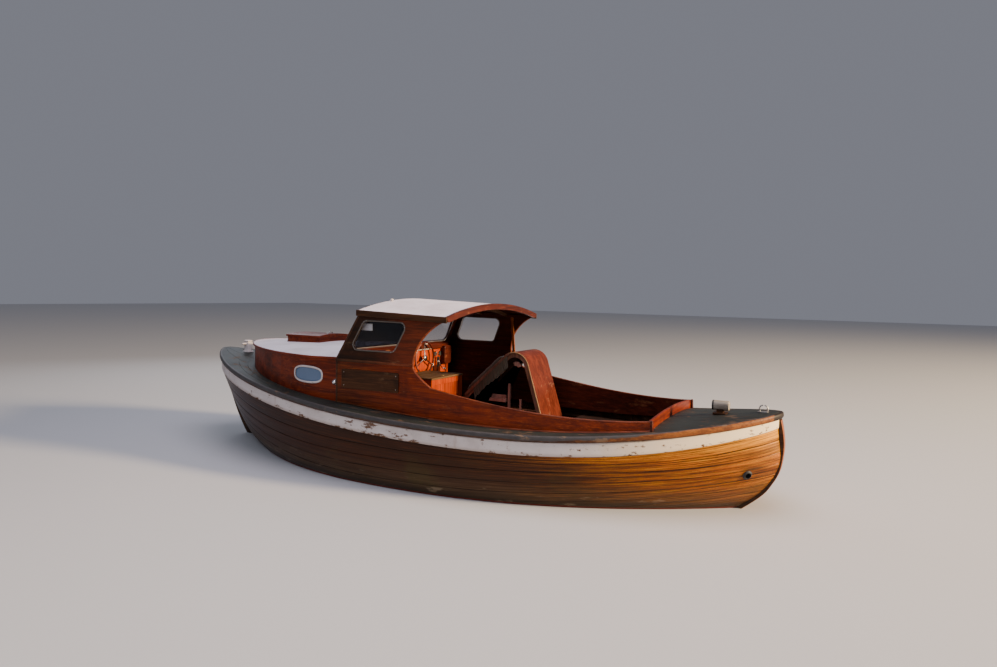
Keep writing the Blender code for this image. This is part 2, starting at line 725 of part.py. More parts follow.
# the foredeck runs round the low cabin as one piece
fore_stations = sorted({round(v, 6) for v in sheer_x + TRUNK_X if SIDE_FRONT_X + GAP < v})
fore_stations = [SIDE_FRONT_X + GAP] + [x for x in fore_stations if x < TRUNK_END_X - 0.004]
fore_ring = fore_stations + [TRUNK_END_X + GAP]
verts, faces = [], []
tail = [x for x in sheer_x if x > TRUNK_END_X + 0.03]
rows = []
for x in fore_ring + tail:
    edge = deck_edge(x)
    inside = line_at(TRUNK_X, trunk_y, x) + GAP * 2.0 if x < TRUNK_END_X else 0.0
    if x == fore_ring[-1]:
        inside = 0.0
    rows.append([(x, inside + (edge - inside) * j / 3) for j in range(4)])
for drop in (0.0, DECK_THICK):
    for side in (1, -1):
        for row in rows:
            for x, y in row:
                verts.append((x, side * y, deck_z(x, y) - drop))
block = len(rows) * 4


def fore_index(drop, side, i, j):
    return drop * 2 * block + side * block + i * 4 + j


for side in (0, 1):
    for i in range(len(rows) - 1):
        for j in range(3):
            quad = [(i, j), (i, j + 1), (i + 1, j + 1), (i + 1, j)]
            faces.append([fore_index(0, side, a, b) for a, b in quad])
            faces.append([fore_index(1, side, a, b) for a, b in quad])
        for j in (0, 3):
            if j == 0 and rows[i][0][1] == 0.0:
                continue
            faces.append([fore_index(0, side, i, j), fore_index(0, side, i + 1, j),
                          fore_index(1, side, i + 1, j), fore_index(1, side, i, j)])
    for j in range(3):
        for i in (0, len(rows) - 1):
            faces.append([fore_index(0, side, i, j), fore_index(0, side, i, j + 1),
                          fore_index(1, side, i, j + 1), fore_index(1, side, i, j)])
fore = solid("deck_fore", verts, faces, "deck")
bm = bmesh.new()
bm.from_mesh(fore.data)
bmesh.ops.remove_doubles(bm, verts=bm.verts[:], dist=0.00005)
bmesh.ops.recalc_face_normals(bm, faces=bm.faces[:])
bm.to_mesh(fore.data)
bm.free()


def raised_copy(name, source):
    # the same deck a hair higher, to trim what stands on it
    obj = new_object(name, bpy.data.objects[source].data)
    obj.location = (0.0, 0.0, GAP)
    return guide(obj)


# coaming round the cockpit
def coaming_top(x):
    share = (x - COAMING_END_X) / (COAMING_START_X - COAMING_END_X)
    start_rise = COAMING_START_Z - sheer_z(COAMING_START_X)
    return sheer_z(x) + COAMING_END_RISE + (start_rise - COAMING_END_RISE) * max(0.0, share) ** 1.35


for side, tag in ((1, "port"), (-1, "stbd")):
    loops = []
    for i, x in enumerate(COAMING_X):
        xa = COAMING_X[max(i - 1, 0)]
        xb = COAMING_X[min(i + 1, len(COAMING_X) - 1)]
        slope = (coaming_y(xb) - coaming_y(xa)) / (xb - xa)
        if i == len(COAMING_X) - 1:
            x -= GAP
        lean = math.hypot(1.0, slope)
        y = coaming_y(x)
        yi = y - WALL * lean
        foot = sheer_z(x) - CARLIN_DROP
        loops.append([(x, side * y, foot), (x, side * y, coaming_top(x)),
                      (x, side * yi, coaming_top(x)), (x, side * yi, foot)])
    tube_of_loops("coaming_" + tag, loops, "mahogany")
end_slope = (coaming_y(COAMING_X[1]) - coaming_y(COAMING_X[0])) / (COAMING_X[1] - COAMING_X[0])
end_half = COAMING_END_Y - WALL * math.hypot(1.0, end_slope) - GAP
end_foot = sheer_z(COAMING_END_X) - CARLIN_DROP
rise_line = [(end_half - 2 * end_half * i / 8) for i in range(9)]
crest = [(y, coaming_top(COAMING_END_X) + 0.030 * (1 - (y / end_half) ** 2)) for y in rise_line]
end_foot = sheer_z(COAMING_END_X + WALL) - CARLIN_DROP
coaming_end = plate("coaming_aft", [(-end_half, end_foot), (end_half, end_foot)] + crest, "X",
                    COAMING_END_X, COAMING_END_X + WALL, "mahogany")
# a post at each corner stands on the deck and is tenoned into the aft board
for side, tag in ((1, "port"), (-1, "stbd")):
    post_low, post_high = end_half - 0.020, COAMING_END_Y + 0.014
    plan = [(COAMING_END_X - CORNER_POST, side * post_low), (COAMING_END_X - CORNER_POST, side * post_high),
            (COAMING_END_X - 2 * GAP, side * post_high), (COAMING_END_X - 2 * GAP, side * (end_half - 0.004)),
            (COAMING_END_X + 0.006, side * (end_half - 0.004)), (COAMING_END_X + 0.006, side * post_low)]
    corner = plate("tool_corner_" + tag, plan, "Z", sheer_z(COAMING_END_X) - DECK_THICK / 3,
                   coaming_top(COAMING_END_X) + CORNER_RISE)
    cut(corner, raised_copy("cutter_corner_" + tag, "deck_aft"))
    join(coaming_end, corner)

# wheelhouse
foot_z = sheer_z(0.0) - CARLIN_DROP
lower_side = [(COAMING_START_X, foot_z), (SIDE_FRONT_X, foot_z), (SIDE_FRONT_X, BELT_Z)]
for k in range(7):
    # the aft edge runs down into the coaming in one sweep
    drop = k / 6
    lower_side.append((SIDE_AFT_X + (COAMING_START_X - SIDE_AFT_X) * drop ** 1.7,
                       BELT_Z + (COAMING_START_Z - BELT_Z) * drop))
for side, tag in ((1, "port"), (-1, "stbd")):
    plate("cabin_side_" + tag, lower_side, "Y", side * SIDE_Y, side * (SIDE_Y - WALL), "mahogany")


def panel_y(z):
    return SIDE_Y - TUMBLE * (z - BELT_Z)


def screen_x(z):
    # front edge of the wheelhouse, raked back
    return SIDE_FRONT_X + (SCREEN_TOP_X - SIDE_FRONT_X) * (z - SCREEN_FOOT_Z) / (SCREEN_TOP_Z - SCREEN_FOOT_Z)


def roof_edge_z(x):
    return ROOF_EDGE_AFT_Z + (ROOF_EDGE_FORE_Z - ROOF_EDGE_AFT_Z) * (x - ROOF_AFT_X) / (ROOF_FORE_X - ROOF_AFT_X)


def roof_z(x, y):
    return roof_edge_z(x) + ROOF_CAMBER * (1.0 - (y / ROOF_HALF) ** 2)


BEAM_HALF = panel_y(ROOF_EDGE_FORE_Z) - WALL - GAP
ROOF_Y = [ROOF_HALF * (2.0 * j / 16 - 1.0) for j in range(17)]


def roof_slab(name, x0, x1, under, over, look=None):
    loops = []
    for x in (x0, x1):
        loops.append([(x, y, roof_z(x, y) - under) for y in ROOF_Y]
                     + [(x, y, roof_z(x, y) - over) for y in reversed(ROOF_Y)])
    return tube_of_loops(name, loops, look)


roof_slab("roof", ROOF_AFT_X, ROOF_FORE_X, ROOF_THICK, 0.0, "roof")
roof_slab("roof_beam_aft", ROOF_AFT_X - GAP - ROOF_BEAM, ROOF_AFT_X - GAP, ROOF_BEAM_DEPTH, -0.006, "orange")
beam_x = [ROOF_AFT_X + (SCREEN_TOP_X - ROOF_AFT_X) * share for share in (0.34, 0.68)]
beam_y = [-BEAM_HALF] + [y for y in ROOF_Y if abs(y) < BEAM_HALF - 0.01] + [BEAM_HALF]
for x, tag in zip(beam_x, ("middle", "fore")):
    # sprung to the roof's camber and stopped short of the window panels
    loops = []
    for bx in (x, x + ROOF_BEAM_THICK):
        under = [(bx, y, float(np.interp(y, ROOF_Y, [roof_z(bx, v) for v in ROOF_Y])) - ROOF_THICK - GAP)
                 for y in beam_y]
        loops.append([(bx, y, z - ROOF_BEAM_DROP) for bx, y, z in under] + under[::-1])
    tube_of_loops("roof_beam_" + tag, loops, "interior")
over_roof = guide(roof_slab("cutter_roof", ROOF_AFT_X - 0.4, ROOF_FORE_X + 0.4, ROOF_THICK + GAP, -0.5))
for side, tag in ((1, "port"), (-1, "stbd")):
    y0, y1 = side * (ROOF_HALF + GAP), side * (ROOF_HALF + GAP + FASCIA)
    xa, xb = ROOF_AFT_X - ROOF_BEAM, ROOF_FORE_X
    outline = [(xa, roof_edge_z(xa) - 0.052), (xb, roof_edge_z(xb) - 0.052),
               (xb, roof_edge_z(xb) + 0.006), (xa, roof_edge_z(xa) + 0.006)]
    plate("roof_fascia_" + tag, outline, "Y", y0, y1, "dark_side")

panel_head = ROOF_EDGE_FORE_Z + 0.026
panel_aft = ROOF_AFT_X + 0.015
panel_tip = ROOF_EDGE_AFT_Z - 0.034
panel_outline = [
    (SIDE_AFT_X, BELT_Z + GAP),
    (screen_x(SCREEN_FOOT_Z), BELT_Z + GAP),
    (screen_x(SCREEN_FOOT_Z), SCREEN_FOOT_Z),
    (screen_x(panel_head), panel_head),
    (panel_aft, panel_head),
]
for k in range(9):
    # the hollow aft edge sweeps up and aft to the end of the roof
    rise = 1.0 - k / 9
    hollow = 1.0 - (1.0 - rise ** 2.2) ** 0.8
    panel_outline.append((SIDE_AFT_X + (panel_aft - SIDE_AFT_X) * hollow,
                          BELT_Z + (panel_tip - BELT_Z) * rise))
sill_z = BELT_Z + WINDOW_SILL
head_z = ROOF_EDGE_AFT_Z - WINDOW_HEAD
window_line = [(screen_x(head_z) - WINDOW_FORE_HEAD, head_z), (SIDE_AFT_X + WINDOW_AFT_HEAD, head_z - 0.006),
               (SIDE_AFT_X + WINDOW_AFT_FOOT, sill_z), (screen_x(sill_z) - WINDOW_FORE_FOOT, sill_z)]


def round_corners(points, radius, steps=4):
    # polygon with each corner turned into an arc
    result = []
    n = len(points)
    for i in range(n):
        p = Vector(points[i])
        a = (Vector(points[i - 1]) - p).normalized()
        b = (Vector(points[(i + 1) % n]) - p).normalized()
        angle = a.angle(b)
        reach = radius / math.tan(angle / 2)
        centre = p + (a + b).normalized() * (radius / math.sin(angle / 2))
        start, stop = p + a * reach - centre, p + b * reach - centre
        sweep = math.pi - angle
        turn = -1.0 if a.cross(b) > 0 else 1.0
        for k in range(steps + 1):
            rot = Matrix.Rotation(turn * sweep * k / steps, 2)
            result.append(tuple(centre + rot @ start))
    return result


window_shape = round_corners(window_line, WINDOW_CORNER)


def leaning_plate(name, outline, outer, inner, side, look=None):
    # plate parallel to the leaning window panel, between two depths in from its face
    loops = [[(x, side * (panel_y(z) - depth), z) for x, z in outline] for depth in (outer, inner)]
    return tube_of_loops(name, loops, look)


def shrink(points, amount):
    # moves an outline inwards by a small clearance
    result = []
    n = len(points)
    middle = Vector((sum(p[0] for p in points) / n, sum(p[1] for p in points) / n))
    for i in range(n):
        a, b = Vector(points[i - 1]), Vector(points[(i + 1) % n])
        tangent = (b - a).normalized()
        normal = Vector((-tangent.y, tangent.x))
        if normal.dot(middle - Vector(points[i])) < 0:
            normal = -normal
        result.append(tuple(Vector(points[i]) + normal * amount))
    return result


for side, tag in ((1, "port"), (-1, "stbd")):
    panel = leaning_plate("window_panel_" + tag, panel_outline, 0.0, WALL, side, "dark_side")
    hole = leaning_plate("cutter_window_" + tag, window_shape, -0.05, WALL + 0.05, side)
    cut(panel, over_roof, hole)
    pane = shrink(window_shape, GAP)
    leaning_plate("side_glass_" + tag, pane, WALL * 0.5, WALL * 0.5 + GLASS, side, "glass")

# raked windscreen between the window panels
rake = Vector((SCREEN_TOP_X - SIDE_FRONT_X, SCREEN_TOP_Z - SCREEN_FOOT_Z)).normalized()
outward = Vector((rake.y, -rake.x))


def screen_loop(points, depth):
    # points are (y, distance up the slope); depth is square to the slope, inwards
    base_x, base_z = SIDE_FRONT_X, SCREEN_FOOT_Z
    loop = []
    for y, s in points:
        loop.append((base_x + rake.x * s - outward.x * depth, y, base_z + rake.y * s - outward.y * depth))
    return loop


def screen_plate(name, points, near, far, look=None):
    return tube_of_loops(name, [screen_loop(points, near), screen_loop(points, far)], look)


screen_low, screen_high = 0.012, 0.620


def screen_half(s):
    return panel_y(SCREEN_FOOT_Z + rake.y * s) - WALL - GAP


screen_points = [(-screen_half(screen_low), screen_low), (screen_half(screen_low), screen_low),
                 (screen_half(screen_high), screen_high), (-screen_half(screen_high), screen_high)]
screen = screen_plate("windscreen", screen_points, 0.0, SCREEN_THICK, "mahogany")
cut(screen, over_roof)
pane_foot = 0.105
pane_head = (SCREEN_TOP_Z - SCREEN_FOOT_Z) / rake.y - 0.107
for side, tag in ((1, "port"), (-1, "stbd")):
    pane_line = [(side * 0.045, pane_foot), (side * (screen_half(pane_foot) - SCREEN_STILE), pane_foot),
                 (side * (screen_half(pane_head) - SCREEN_STILE), pane_head), (side * 0.045, pane_head + 0.025)]
    pane = round_corners(pane_line, WINDOW_CORNER)
    hole = screen_plate("cutter_screen_" + tag, pane, -0.05, SCREEN_THICK + 0.05)
    cut(screen, hole)
    screen_plate("screen_glass_" + tag, shrink(pane, GAP), 0.010, 0.010 + GLASS, "glass")

# bulkhead under the windscreen, with the doorway to the low cabin
bulk_half = panel_y(SCREEN_FOOT_Z) - WALL - GAP
bulkhead = box("bulkhead_fore", SIDE_FRONT_X - WALL, SIDE_FRONT_X - GAP, -bulk_half, bulk_half,
               keel_top + 0.060, SCREEN_FOOT_Z, "mahogany")
within(bulkhead, hold).modifiers[-1].solver = "MANIFOLD"
door_y0, door_y1 = DOOR_HINGE_Y - DOOR_WIDTH, DOOR_HINGE_Y
door_z0, door_z1 = SOLE_Z + DOOR_SILL, SOLE_Z + DOOR_SILL + DOOR_HEIGHT
doorway = guide(box("cutter_door", SIDE_FRONT_X - 0.1, SIDE_FRONT_X + 0.1,
                    door_y0 + 0.020, door_y1 - 0.020, door_z0 + 0.020, door_z1 - 0.020))
cut(bulkhead, doorway)
door_x = SIDE_FRONT_X - WALL - GAP
door = box("cabin_door", door_x - DOOR_BOARD, door_x, door_y0, door_y1, door_z0, door_z1, "orange")
hang(door, (door_x - DOOR_BOARD, door_y1, (door_z0 + door_z1) / 2))
knob_z = (door_z0 + door_z1) / 2 + 0.020
knob = rod("tool_knob", (door_x - 0.046, door_y0 + 0.050, knob_z), (door_x - 0.010, door_y0 + 0.050, knob_z), 0.016)
join(door, knob)

# low cabin: one wall bent round the front, lit by an oval light on each side
PORT_LINE = [(x, trunk_y(x)) for x in TRUNK_X]


def trunk_plan(offset):
    # plan line of the cabin wall, port side first, round the nose and back
    moved = []
    for i, p in enumerate(PORT_LINE):
        a = PORT_LINE[max(i - 1, 0)]
        b = PORT_LINE[min(i + 1, len(PORT_LINE) - 1)]
        if i == len(PORT_LINE) - 1:
            tangent = Vector((0.0, -1.0))
        else:
            tangent = Vector((b[0] - a[0], b[1] - a[1])).normalized()
        moved.append((p[0] + tangent.y * offset, p[1] - tangent.x * offset))
    moved[0] = (PORT_LINE[0][0], moved[0][1])
    return moved + [(x, -y) for x, y in reversed(moved[:-1])]


def trunk_edge_z(x):
    share = (x - SIDE_FRONT_X) / (TRUNK_END_X - SIDE_FRONT_X)
    return TRUNK_EDGE_AFT_Z + (TRUNK_EDGE_FORE_Z - TRUNK_EDGE_AFT_Z) * share


def trunk_top_z(x, y):
    return trunk_edge_z(x) + TRUNK_CAMBER * (1.0 - (y / TRUNK_HALF) ** 2)


outer_plan, inner_plan = trunk_plan(0.0), trunk_plan(WALL)
loops = []
for (xo, yo), (xi, yi) in zip(outer_plan, inner_plan):
    foot = sheer_z(xo) - CARLIN_DROP
    head = TRUNK_EDGE_AFT_Z + TRUNK_CAMBER + 0.085
    loops.append([(xo, yo, foot), (xo, yo, head), (xi, yi, head), (xi, yi, foot)])
trunk = tube_of_loops("trunk_sides", loops, "mahogany")
top_plan = trunk_plan(-TRUNK_OVERHANG)


def trunk_cover(name, low, high, look=None):
    # crowned cover over the plan line, between two heights above the cabin edge
    middle = len(top_plan) // 2
    tops, unders = [], []
    for i in range(middle):
        x, y = top_plan[i]
        line = [y * (1.0 - 2.0 * j / 10) for j in range(11)]
        tops.append([(x, v, trunk_top_z(x, v) + high) for v in line])
        unders.append([(x, v, trunk_top_z(x, v) + low) for v in line])
    x, y = top_plan[middle]
    tops.append([(x, 0.02 * (1.0 - 2.0 * j / 10), trunk_top_z(x, 0.0) + high) for j in range(11)])
    unders.append([(x, 0.02 * (1.0 - 2.0 * j / 10), trunk_top_z(x, 0.0) + low) for j in range(11)])
    return shell(name, tops, unders, look)


cover = trunk_cover("trunk_top", 0.0, TRUNK_TOP_THICK, "roof")
over_trunk = guide(trunk_cover("cutter_trunk", -GAP, 0.5))
cut(trunk, over_trunk)
for side, tag in ((1, "port"), (-1, "stbd")):
    light, pane = [], []
    for k in range(ROUND):
        a = 2 * math.pi * k / ROUND
        cx = math.copysign(abs(math.cos(a)) ** 0.7, math.cos(a))
        cz = math.copysign(abs(math.sin(a)) ** 0.7, math.sin(a))
        for line, room in ((light, 0.0), (pane, 2 * GAP)):
            line.append((PORTLIGHT_X + (PORTLIGHT_LENGTH / 2 - room) * cx,
                         PORTLIGHT_Z + (PORTLIGHT_HEIGHT / 2 - room) * cz))
    hole = guide(plate("cutter_light_" + tag, light, "Y", side * (SIDE_Y - 0.2), side * (SIDE_Y + 0.2)))
    cut(trunk, hole)
    # the pane follows the bend of the wall, half way through it
    loops = []
    for (xo, yo), (xi, yi) in zip(trunk_plan(0.008)[:10], trunk_plan(0.008 + GLASS)[:10]):
        low, high = PORTLIGHT_Z - PORTLIGHT_HEIGHT, PORTLIGHT_Z + PORTLIGHT_HEIGHT
        loops.append([(xo, side * yo, low), (xo, side * yo, high), (xi, side * yi, high), (xi, side * yi, low)])
    glass = tube_of_loops("cabin_light_" + tag, loops, "glass")
    within(glass, plate("cutter_pane_" + tag, pane, "Y", side * (SIDE_Y - 0.2), side * (SIDE_Y + 0.2)))

# hatch over the low cabin: a curb cut through the cover, and a lid hinged on its fore edge
hatch_half = HATCH_SIZE / 2
hatch_top = trunk_top_z(HATCH_X - hatch_half, 0.0) + TRUNK_TOP_THICK + HATCH_CURB_HEIGHT
hatch_hole = guide(box("cutter_hatch", HATCH_X - hatch_half - GAP, HATCH_X + hatch_half + GAP,
                       -hatch_half - GAP, hatch_half + GAP, hatch_top - 0.3, hatch_top + 0.3))
cut(cover, hatch_hole)
curb = box("hatch_curb", HATCH_X - hatch_half, HATCH_X + hatch_half, -hatch_half, hatch_half,
           hatch_top - HATCH_CURB_HEIGHT - 0.075, hatch_top, "mahogany")
curb_hole = guide(box("cutter_curb", HATCH_X - hatch_half + HATCH_CURB, HATCH_X + hatch_half - HATCH_CURB,
                      -hatch_half + HATCH_CURB, hatch_half - HATCH_CURB, hatch_top - 0.4, hatch_top + 0.3))
cut(curb, curb_hole)
lid_reach = hatch_half + 0.012
lid_bottom = hatch_top + GAP
crown_rows = 6
loops = []
for x in (HATCH_X - lid_reach, HATCH_X + lid_reach):
    ys = [lid_reach * (1.0 - 2.0 * j / crown_rows) for j in range(crown_rows + 1)]
    loops.append([(x, y, lid_bottom) for y in (lid_reach, -lid_reach)]
                 + [(x, y, lid_bottom + HATCH_LID + 0.018 * (1 - (y / lid_reach) ** 2)) for y in reversed(ys)])
lid = tube_of_loops("fore_hatch", loops, "mahogany")
hang(lid, (HATCH_X + lid_reach, 0.0, lid_bottom))

# aft bulkhead under the cockpit end, and the sole
aft_top = sheer_z(COAMING_END_X + WALL) - CARLIN_DROP - GAP
aft_bulk = box("bulkhead_aft", COAMING_END_X, COAMING_END_X + WALL, -SHEER_HALF, SHEER_HALF,
               BULKHEAD_FOOT_Z, aft_top, "interior")
within(aft_bulk, hold)
sole = box("sole", COAMING_END_X + WALL + GAP, SIDE_FRONT_X - WALL - GAP, -SHEER_HALF, SHEER_HALF,
           SOLE_Z - SOLE_THICK, SOLE_Z, "interior")
within(sole, hold)
engine_well = guide(box("cutter_well", BOX_AFT_X + 0.030, BOX_FORE_X - 0.030, BOX_STBD_Y + 0.030,
                        BOX_PORT_Y - 0.030, 0.0, 0.3))
cut(sole, engine_well)

# engine under its box, with a lid hinged on the fore edge
engine_low = keel_top + 0.010 * (ENGINE_FORE_X - keel_aft) / (stem_curve[0][0] - keel_aft) + GAP
engine = box("engine", ENGINE_AFT_X, ENGINE_FORE_X, -ENGINE_HALF, ENGINE_HALF, engine_low, ENGINE_TOP_Z, "iron")
case = box("engine_box", BOX_AFT_X, BOX_FORE_X, BOX_STBD_Y, BOX_PORT_Y, SOLE_Z + GAP, BOX_TOP_Z, "orange")
case_hole = guide(box("cutter_case", BOX_AFT_X + BOX_WALL, BOX_FORE_X - BOX_WALL, BOX_STBD_Y + BOX_WALL,
                      BOX_PORT_Y - BOX_WALL, SOLE_Z - 0.1, BOX_TOP_Z + 0.1))
cut(case, case_hole)
engine_lid = box("engine_lid", BOX_AFT_X - 0.010, BOX_FORE_X, BOX_STBD_Y - 0.010, BOX_PORT_Y + 0.010,
                 BOX_TOP_Z + GAP, BOX_TOP_Z + GAP + BOX_LID, "orange")
hang(engine_lid, (BOX_FORE_X, (BOX_STBD_Y + BOX_PORT_Y) / 2, BOX_TOP_Z + GAP))

# helm
console_back = SIDE_FRONT_X - WALL - GAP
console_crest_x = screen_x(CONSOLE_TOP_Z) - SCREEN_THICK / 0.897 - 0.008
console = plate("console", [(CONSOLE_X, CONSOLE_FOOT_Z), (console_back, CONSOLE_FOOT_Z),
                            (console_back, SCREEN_FOOT_Z - 0.020), (console_back - 0.015, SCREEN_FOOT_Z - 0.005),
                            (console_crest_x, CONSOLE_TOP_Z),
                            (CONSOLE_X, CONSOLE_TOP_Z)], "Y", CONSOLE_STBD_Y, CONSOLE_PORT_Y, "orange")
wheel_hole = rod("cutter_wheel", (CONSOLE_X - 0.1, WHEEL_Y, WHEEL_Z), (CONSOLE_X + 0.050, WHEEL_Y, WHEEL_Z),
                 WHEEL_SHAFT + PIN_PLAY)
cut(console, wheel_hole)
wheel_x = CONSOLE_X - WHEEL_STANDOFF
verts, faces = [], []
around, section = 32, 8
for i in range(around):
    a = 2 * math.pi * i / around
    for k in range(section):
        b = 2 * math.pi * k / section
        r = WHEEL_RADIUS - WHEEL_RIM + WHEEL_RIM * math.cos(b)
        verts.append((WHEEL_RIM * math.sin(b), r * math.cos(a), r * math.sin(a)))
for i in range(around):
    for k in range(section):
        faces.append((i * section + k, i * section + (k + 1) % section,
                      ((i + 1) % around) * section + (k + 1) % section, ((i + 1) % around) * section + k))
wheel = solid("steering_wheel", verts, faces, "chrome")
wheel_hub = rod("tool_hub", (-0.020, 0, 0), (0.030, 0, 0), 0.034)
wheel_axle = rod("tool_axle", (0.010, 0, 0), (WHEEL_STANDOFF + 0.045, 0, 0), WHEEL_SHAFT, sides=16)
spokes = []
for k in range(3):
    a = math.radians(90 + 120 * k)
    reach = WHEEL_RADIUS - WHEEL_RIM
    spoke = rod("tool_spoke_%d" % k, (0, 0, 0), (0, reach * math.cos(a), reach * math.sin(a)), 0.008, sides=8)
    spokes.append(spoke)
for piece in [wheel, wheel_hub, wheel_axle] + spokes:
    piece.location = (wheel_x, WHEEL_Y, WHEEL_Z)
join(wheel, wheel_hub, wheel_axle, *spokes)

lever_y = CONSOLE_STBD_Y + 0.240
lever = box("throttle", CONSOLE_X - 0.030, CONSOLE_X - GAP, lever_y - 0.030, lever_y + 0.030, 0.930, 1.050, "chrome")
handle = rod("tool_handle", (CONSOLE_X - 0.020, lever_y, 0.990), (CONSOLE_X - 0.115, lever_y, 0.900), 0.007, sides=10)
join(lever, handle)

# seat: one board bent over the top, on two ribs, with a sloping pad
def bent_path(points, radii, steps=6):
    # open line with its inner corners turned into arcs
    path = [Vector(points[0])]
    for i in range(1, len(points) - 1):
        p = Vector(points[i])
        a = (Vector(points[i - 1]) - p).normalized()
        b = (Vector(points[i + 1]) - p).normalized()
        angle = a.angle(b)
        start = p + a * (radii[i - 1] / math.tan(angle / 2))
        centre = p + (a + b).normalized() * (radii[i - 1] / math.sin(angle / 2))
        turn = -1.0 if a.cross(b) > 0 else 1.0
        for k in range(steps + 1):
            rot = Matrix.Rotation(turn * (math.pi - angle) * k / steps, 2)
            path.append(centre + rot @ (start - centre))
    return path + [Vector(points[-1])]


def strip_outline(path, near, far):
    # band beside an open line, between two distances to its right
    sides = []
    for distance in (near, far):
        line = []
        for i, p in enumerate(path):
            a = (path[i] - path[i - 1]).normalized() if i > 0 else None
            b = (path[i + 1] - path[i]).normalized() if i < len(path) - 1 else None
            a, b = a or b, b or a
            middle = (a + b).normalized()
            reach = distance / max(0.5, middle.dot(a))
            line.append((p.x + middle.y * reach, p.y - middle.x * reach))
        sides.append(line)
    return sides[0] + sides[1][::-1]


seat_foot = SOLE_Z + GAP
seat_corners = [(SEAT_AFT_X, seat_foot), (SEAT_AFT_X + SEAT_CORNER, SOLE_Z + SEAT_HEIGHT),
                (SEAT_AFT_X + SEAT_RUN + 0.010, SOLE_Z + SEAT_KNEE), (SEAT_AFT_X + SEAT_RUN, seat_foot)]
seat_path = bent_path(seat_corners, (SEAT_BEND, 0.050))
over = 8                # points of the line as far as the end of the first bend
lap = (seat_path[over] - seat_path[over - 1]).normalized()


def level_foot(outline):
    # the boards stand flat on the sole
    return [(x, max(z, seat_foot)) for x, z in outline]


joint_at = seat_path[over - 1] + lap * 0.004
plate("seat_back", level_foot(strip_outline(seat_path[:over] + [joint_at], 0.0, SEAT_BOARD)), "Y",
      SEAT_STBD_Y, SEAT_PORT_Y, "orange")
fore_line = [joint_at + lap * GAP] + seat_path[over:]
plate("seat_front", level_foot(strip_outline(fore_line, 0.0, SEAT_BOARD)), "Y",
      SEAT_STBD_Y, SEAT_PORT_Y, "interior")
ribs = []
rib_line = strip_outline(seat_path, SEAT_BOARD + GAP, SEAT_BOARD + SEAT_RIB)
for y in (SEAT_PORT_Y - 0.012, SEAT_STBD_Y + 0.034):
    ribs.append(plate("seat_ribs" if not ribs else "tool_rib", level_foot(rib_line), "Y", y - 0.022, y, "grey_wood"))
rail_z = SOLE_Z + 0.330
rail_x = [SEAT_AFT_X + SEAT_CORNER * (rail_z - SOLE_Z) / SEAT_HEIGHT + 0.034, SEAT_AFT_X + SEAT_RUN - 0.046]
low_rail = box("tool_rail", rail_x[0], rail_x[1], SEAT_STBD_Y + 0.014, SEAT_STBD_Y + 0.032, rail_z, rail_z + 0.040)
near_rail = box("tool_near", rail_x[0], rail_x[1], SEAT_PORT_Y - 0.032, SEAT_PORT_Y - 0.014, rail_z, rail_z + 0.040)
tie = box("tool_tie", -0.560, -0.540, SEAT_STBD_Y + 0.020, SEAT_PORT_Y - 0.020, rail_z + 0.006, rail_z + 0.034)
join(ribs[0], ribs[1], low_rail, near_rail, tie)

# the pad lies on the slope, a little short of the bend and of the knee
slope_line = [seat_path[over - 1] + lap * 0.040, seat_path[over] - lap * 0.030]
plate("seat_pad", strip_outline(slope_line, -SEAT_PAD, -GAP), "Y", SEAT_STBD_Y + 0.015, SEAT_PORT_Y - 0.015, "pad")

# cockpit side benches, scribed to the planking
for side, tag in ((1, "port"), (-1, "stbd")):
    y_in, y_out = side * BENCH_INNER_Y, side * (SHEER_HALF + 0.05)
    bench = plate("bench_" + tag,
                  [(y_in, SOLE_Z + GAP), (y_in, BENCH_Z), (y_out, BENCH_Z), (y_out, BENCH_Z - BENCH_BOARD),
                   (side * (BENCH_INNER_Y + BENCH_BOARD), BENCH_Z - BENCH_BOARD),
                   (side * (BENCH_INNER_Y + BENCH_BOARD), SOLE_Z + GAP)],
                  "X", COAMING_END_X + WALL + GAP, BENCH_START_X, "interior")
    within(bench, hold)

# propeller, shaft and rudder
axis = Vector((1.0, 0.0, SHAFT_SLOPE)).normalized()
shaft_empty = bpy.data.objects.new("axis_shaft", None)
bpy.context.scene.collection.objects.link(shaft_empty)
shaft_empty.location = (PROP_X, 0.0, PROP_Z)
shaft_empty.rotation_euler = (0.0, -math.atan(SHAFT_SLOPE), 0.0)
shaft_length = (SHAFT_FRONT_X - PROP_X) / axis.x
shaft = rod("shaft", (PROP_HUB_LENGTH / 2 + GAP, 0, 0), (shaft_length, 0, 0), SHAFT_RADIUS, "chrome", sides=16)
hub_loops = []
for x, r in ((-0.075, 0.010), (-0.062, 0.022), (-0.040, 0.030), (0.0, PROP_HUB), (0.045, 0.028)):
    hub_loops.append([(x, r * math.cos(2 * math.pi * i / 16), r * math.sin(2 * math.pi * i / 16))
                      for i in range(16)])
propeller = tube_of_loops("propeller", hub_loops, "bronze")
blades = []
for k in range(3):
    turn = Matrix.Rotation(2 * math.pi * k / 3, 3, "X")
    front, back = [], []
    for i in range(7):
        r = 0.020 + (PROP_RADIUS - 0.020) * i / 6
        share = i / 6
        chord = 0.030 + 0.115 * math.sin(math.pi * min(1.0, 0.18 + 0.74 * share)) ** 0.8
        pitch = math.atan2(0.22, 2 * math.pi * r)
        thick = 0.009 * (1.0 - 0.65 * share)
        row_f, row_b = [], []
        for j in range(5):
            c = chord * (j / 4 - 0.5)
            bulge = thick * (1.0 - (2.0 * j / 4 - 1.0) ** 2) * 0.5 + 0.0012
            angle = c * math.cos(pitch) / r
            angle = max(-1.0, min(1.0, angle))
            x = c * math.sin(pitch)
            for row, sign in ((row_f, 1.0), (row_b, -1.0)):
                p = Vector((x + sign * bulge, r * math.sin(angle), r * math.cos(angle)))
                row.append(tuple(turn @ p))
        front.append(row_f)
        back.append(row_b)
    blades.append(shell("tool_blade_%d" % k, front, back))
join(propeller, *blades)
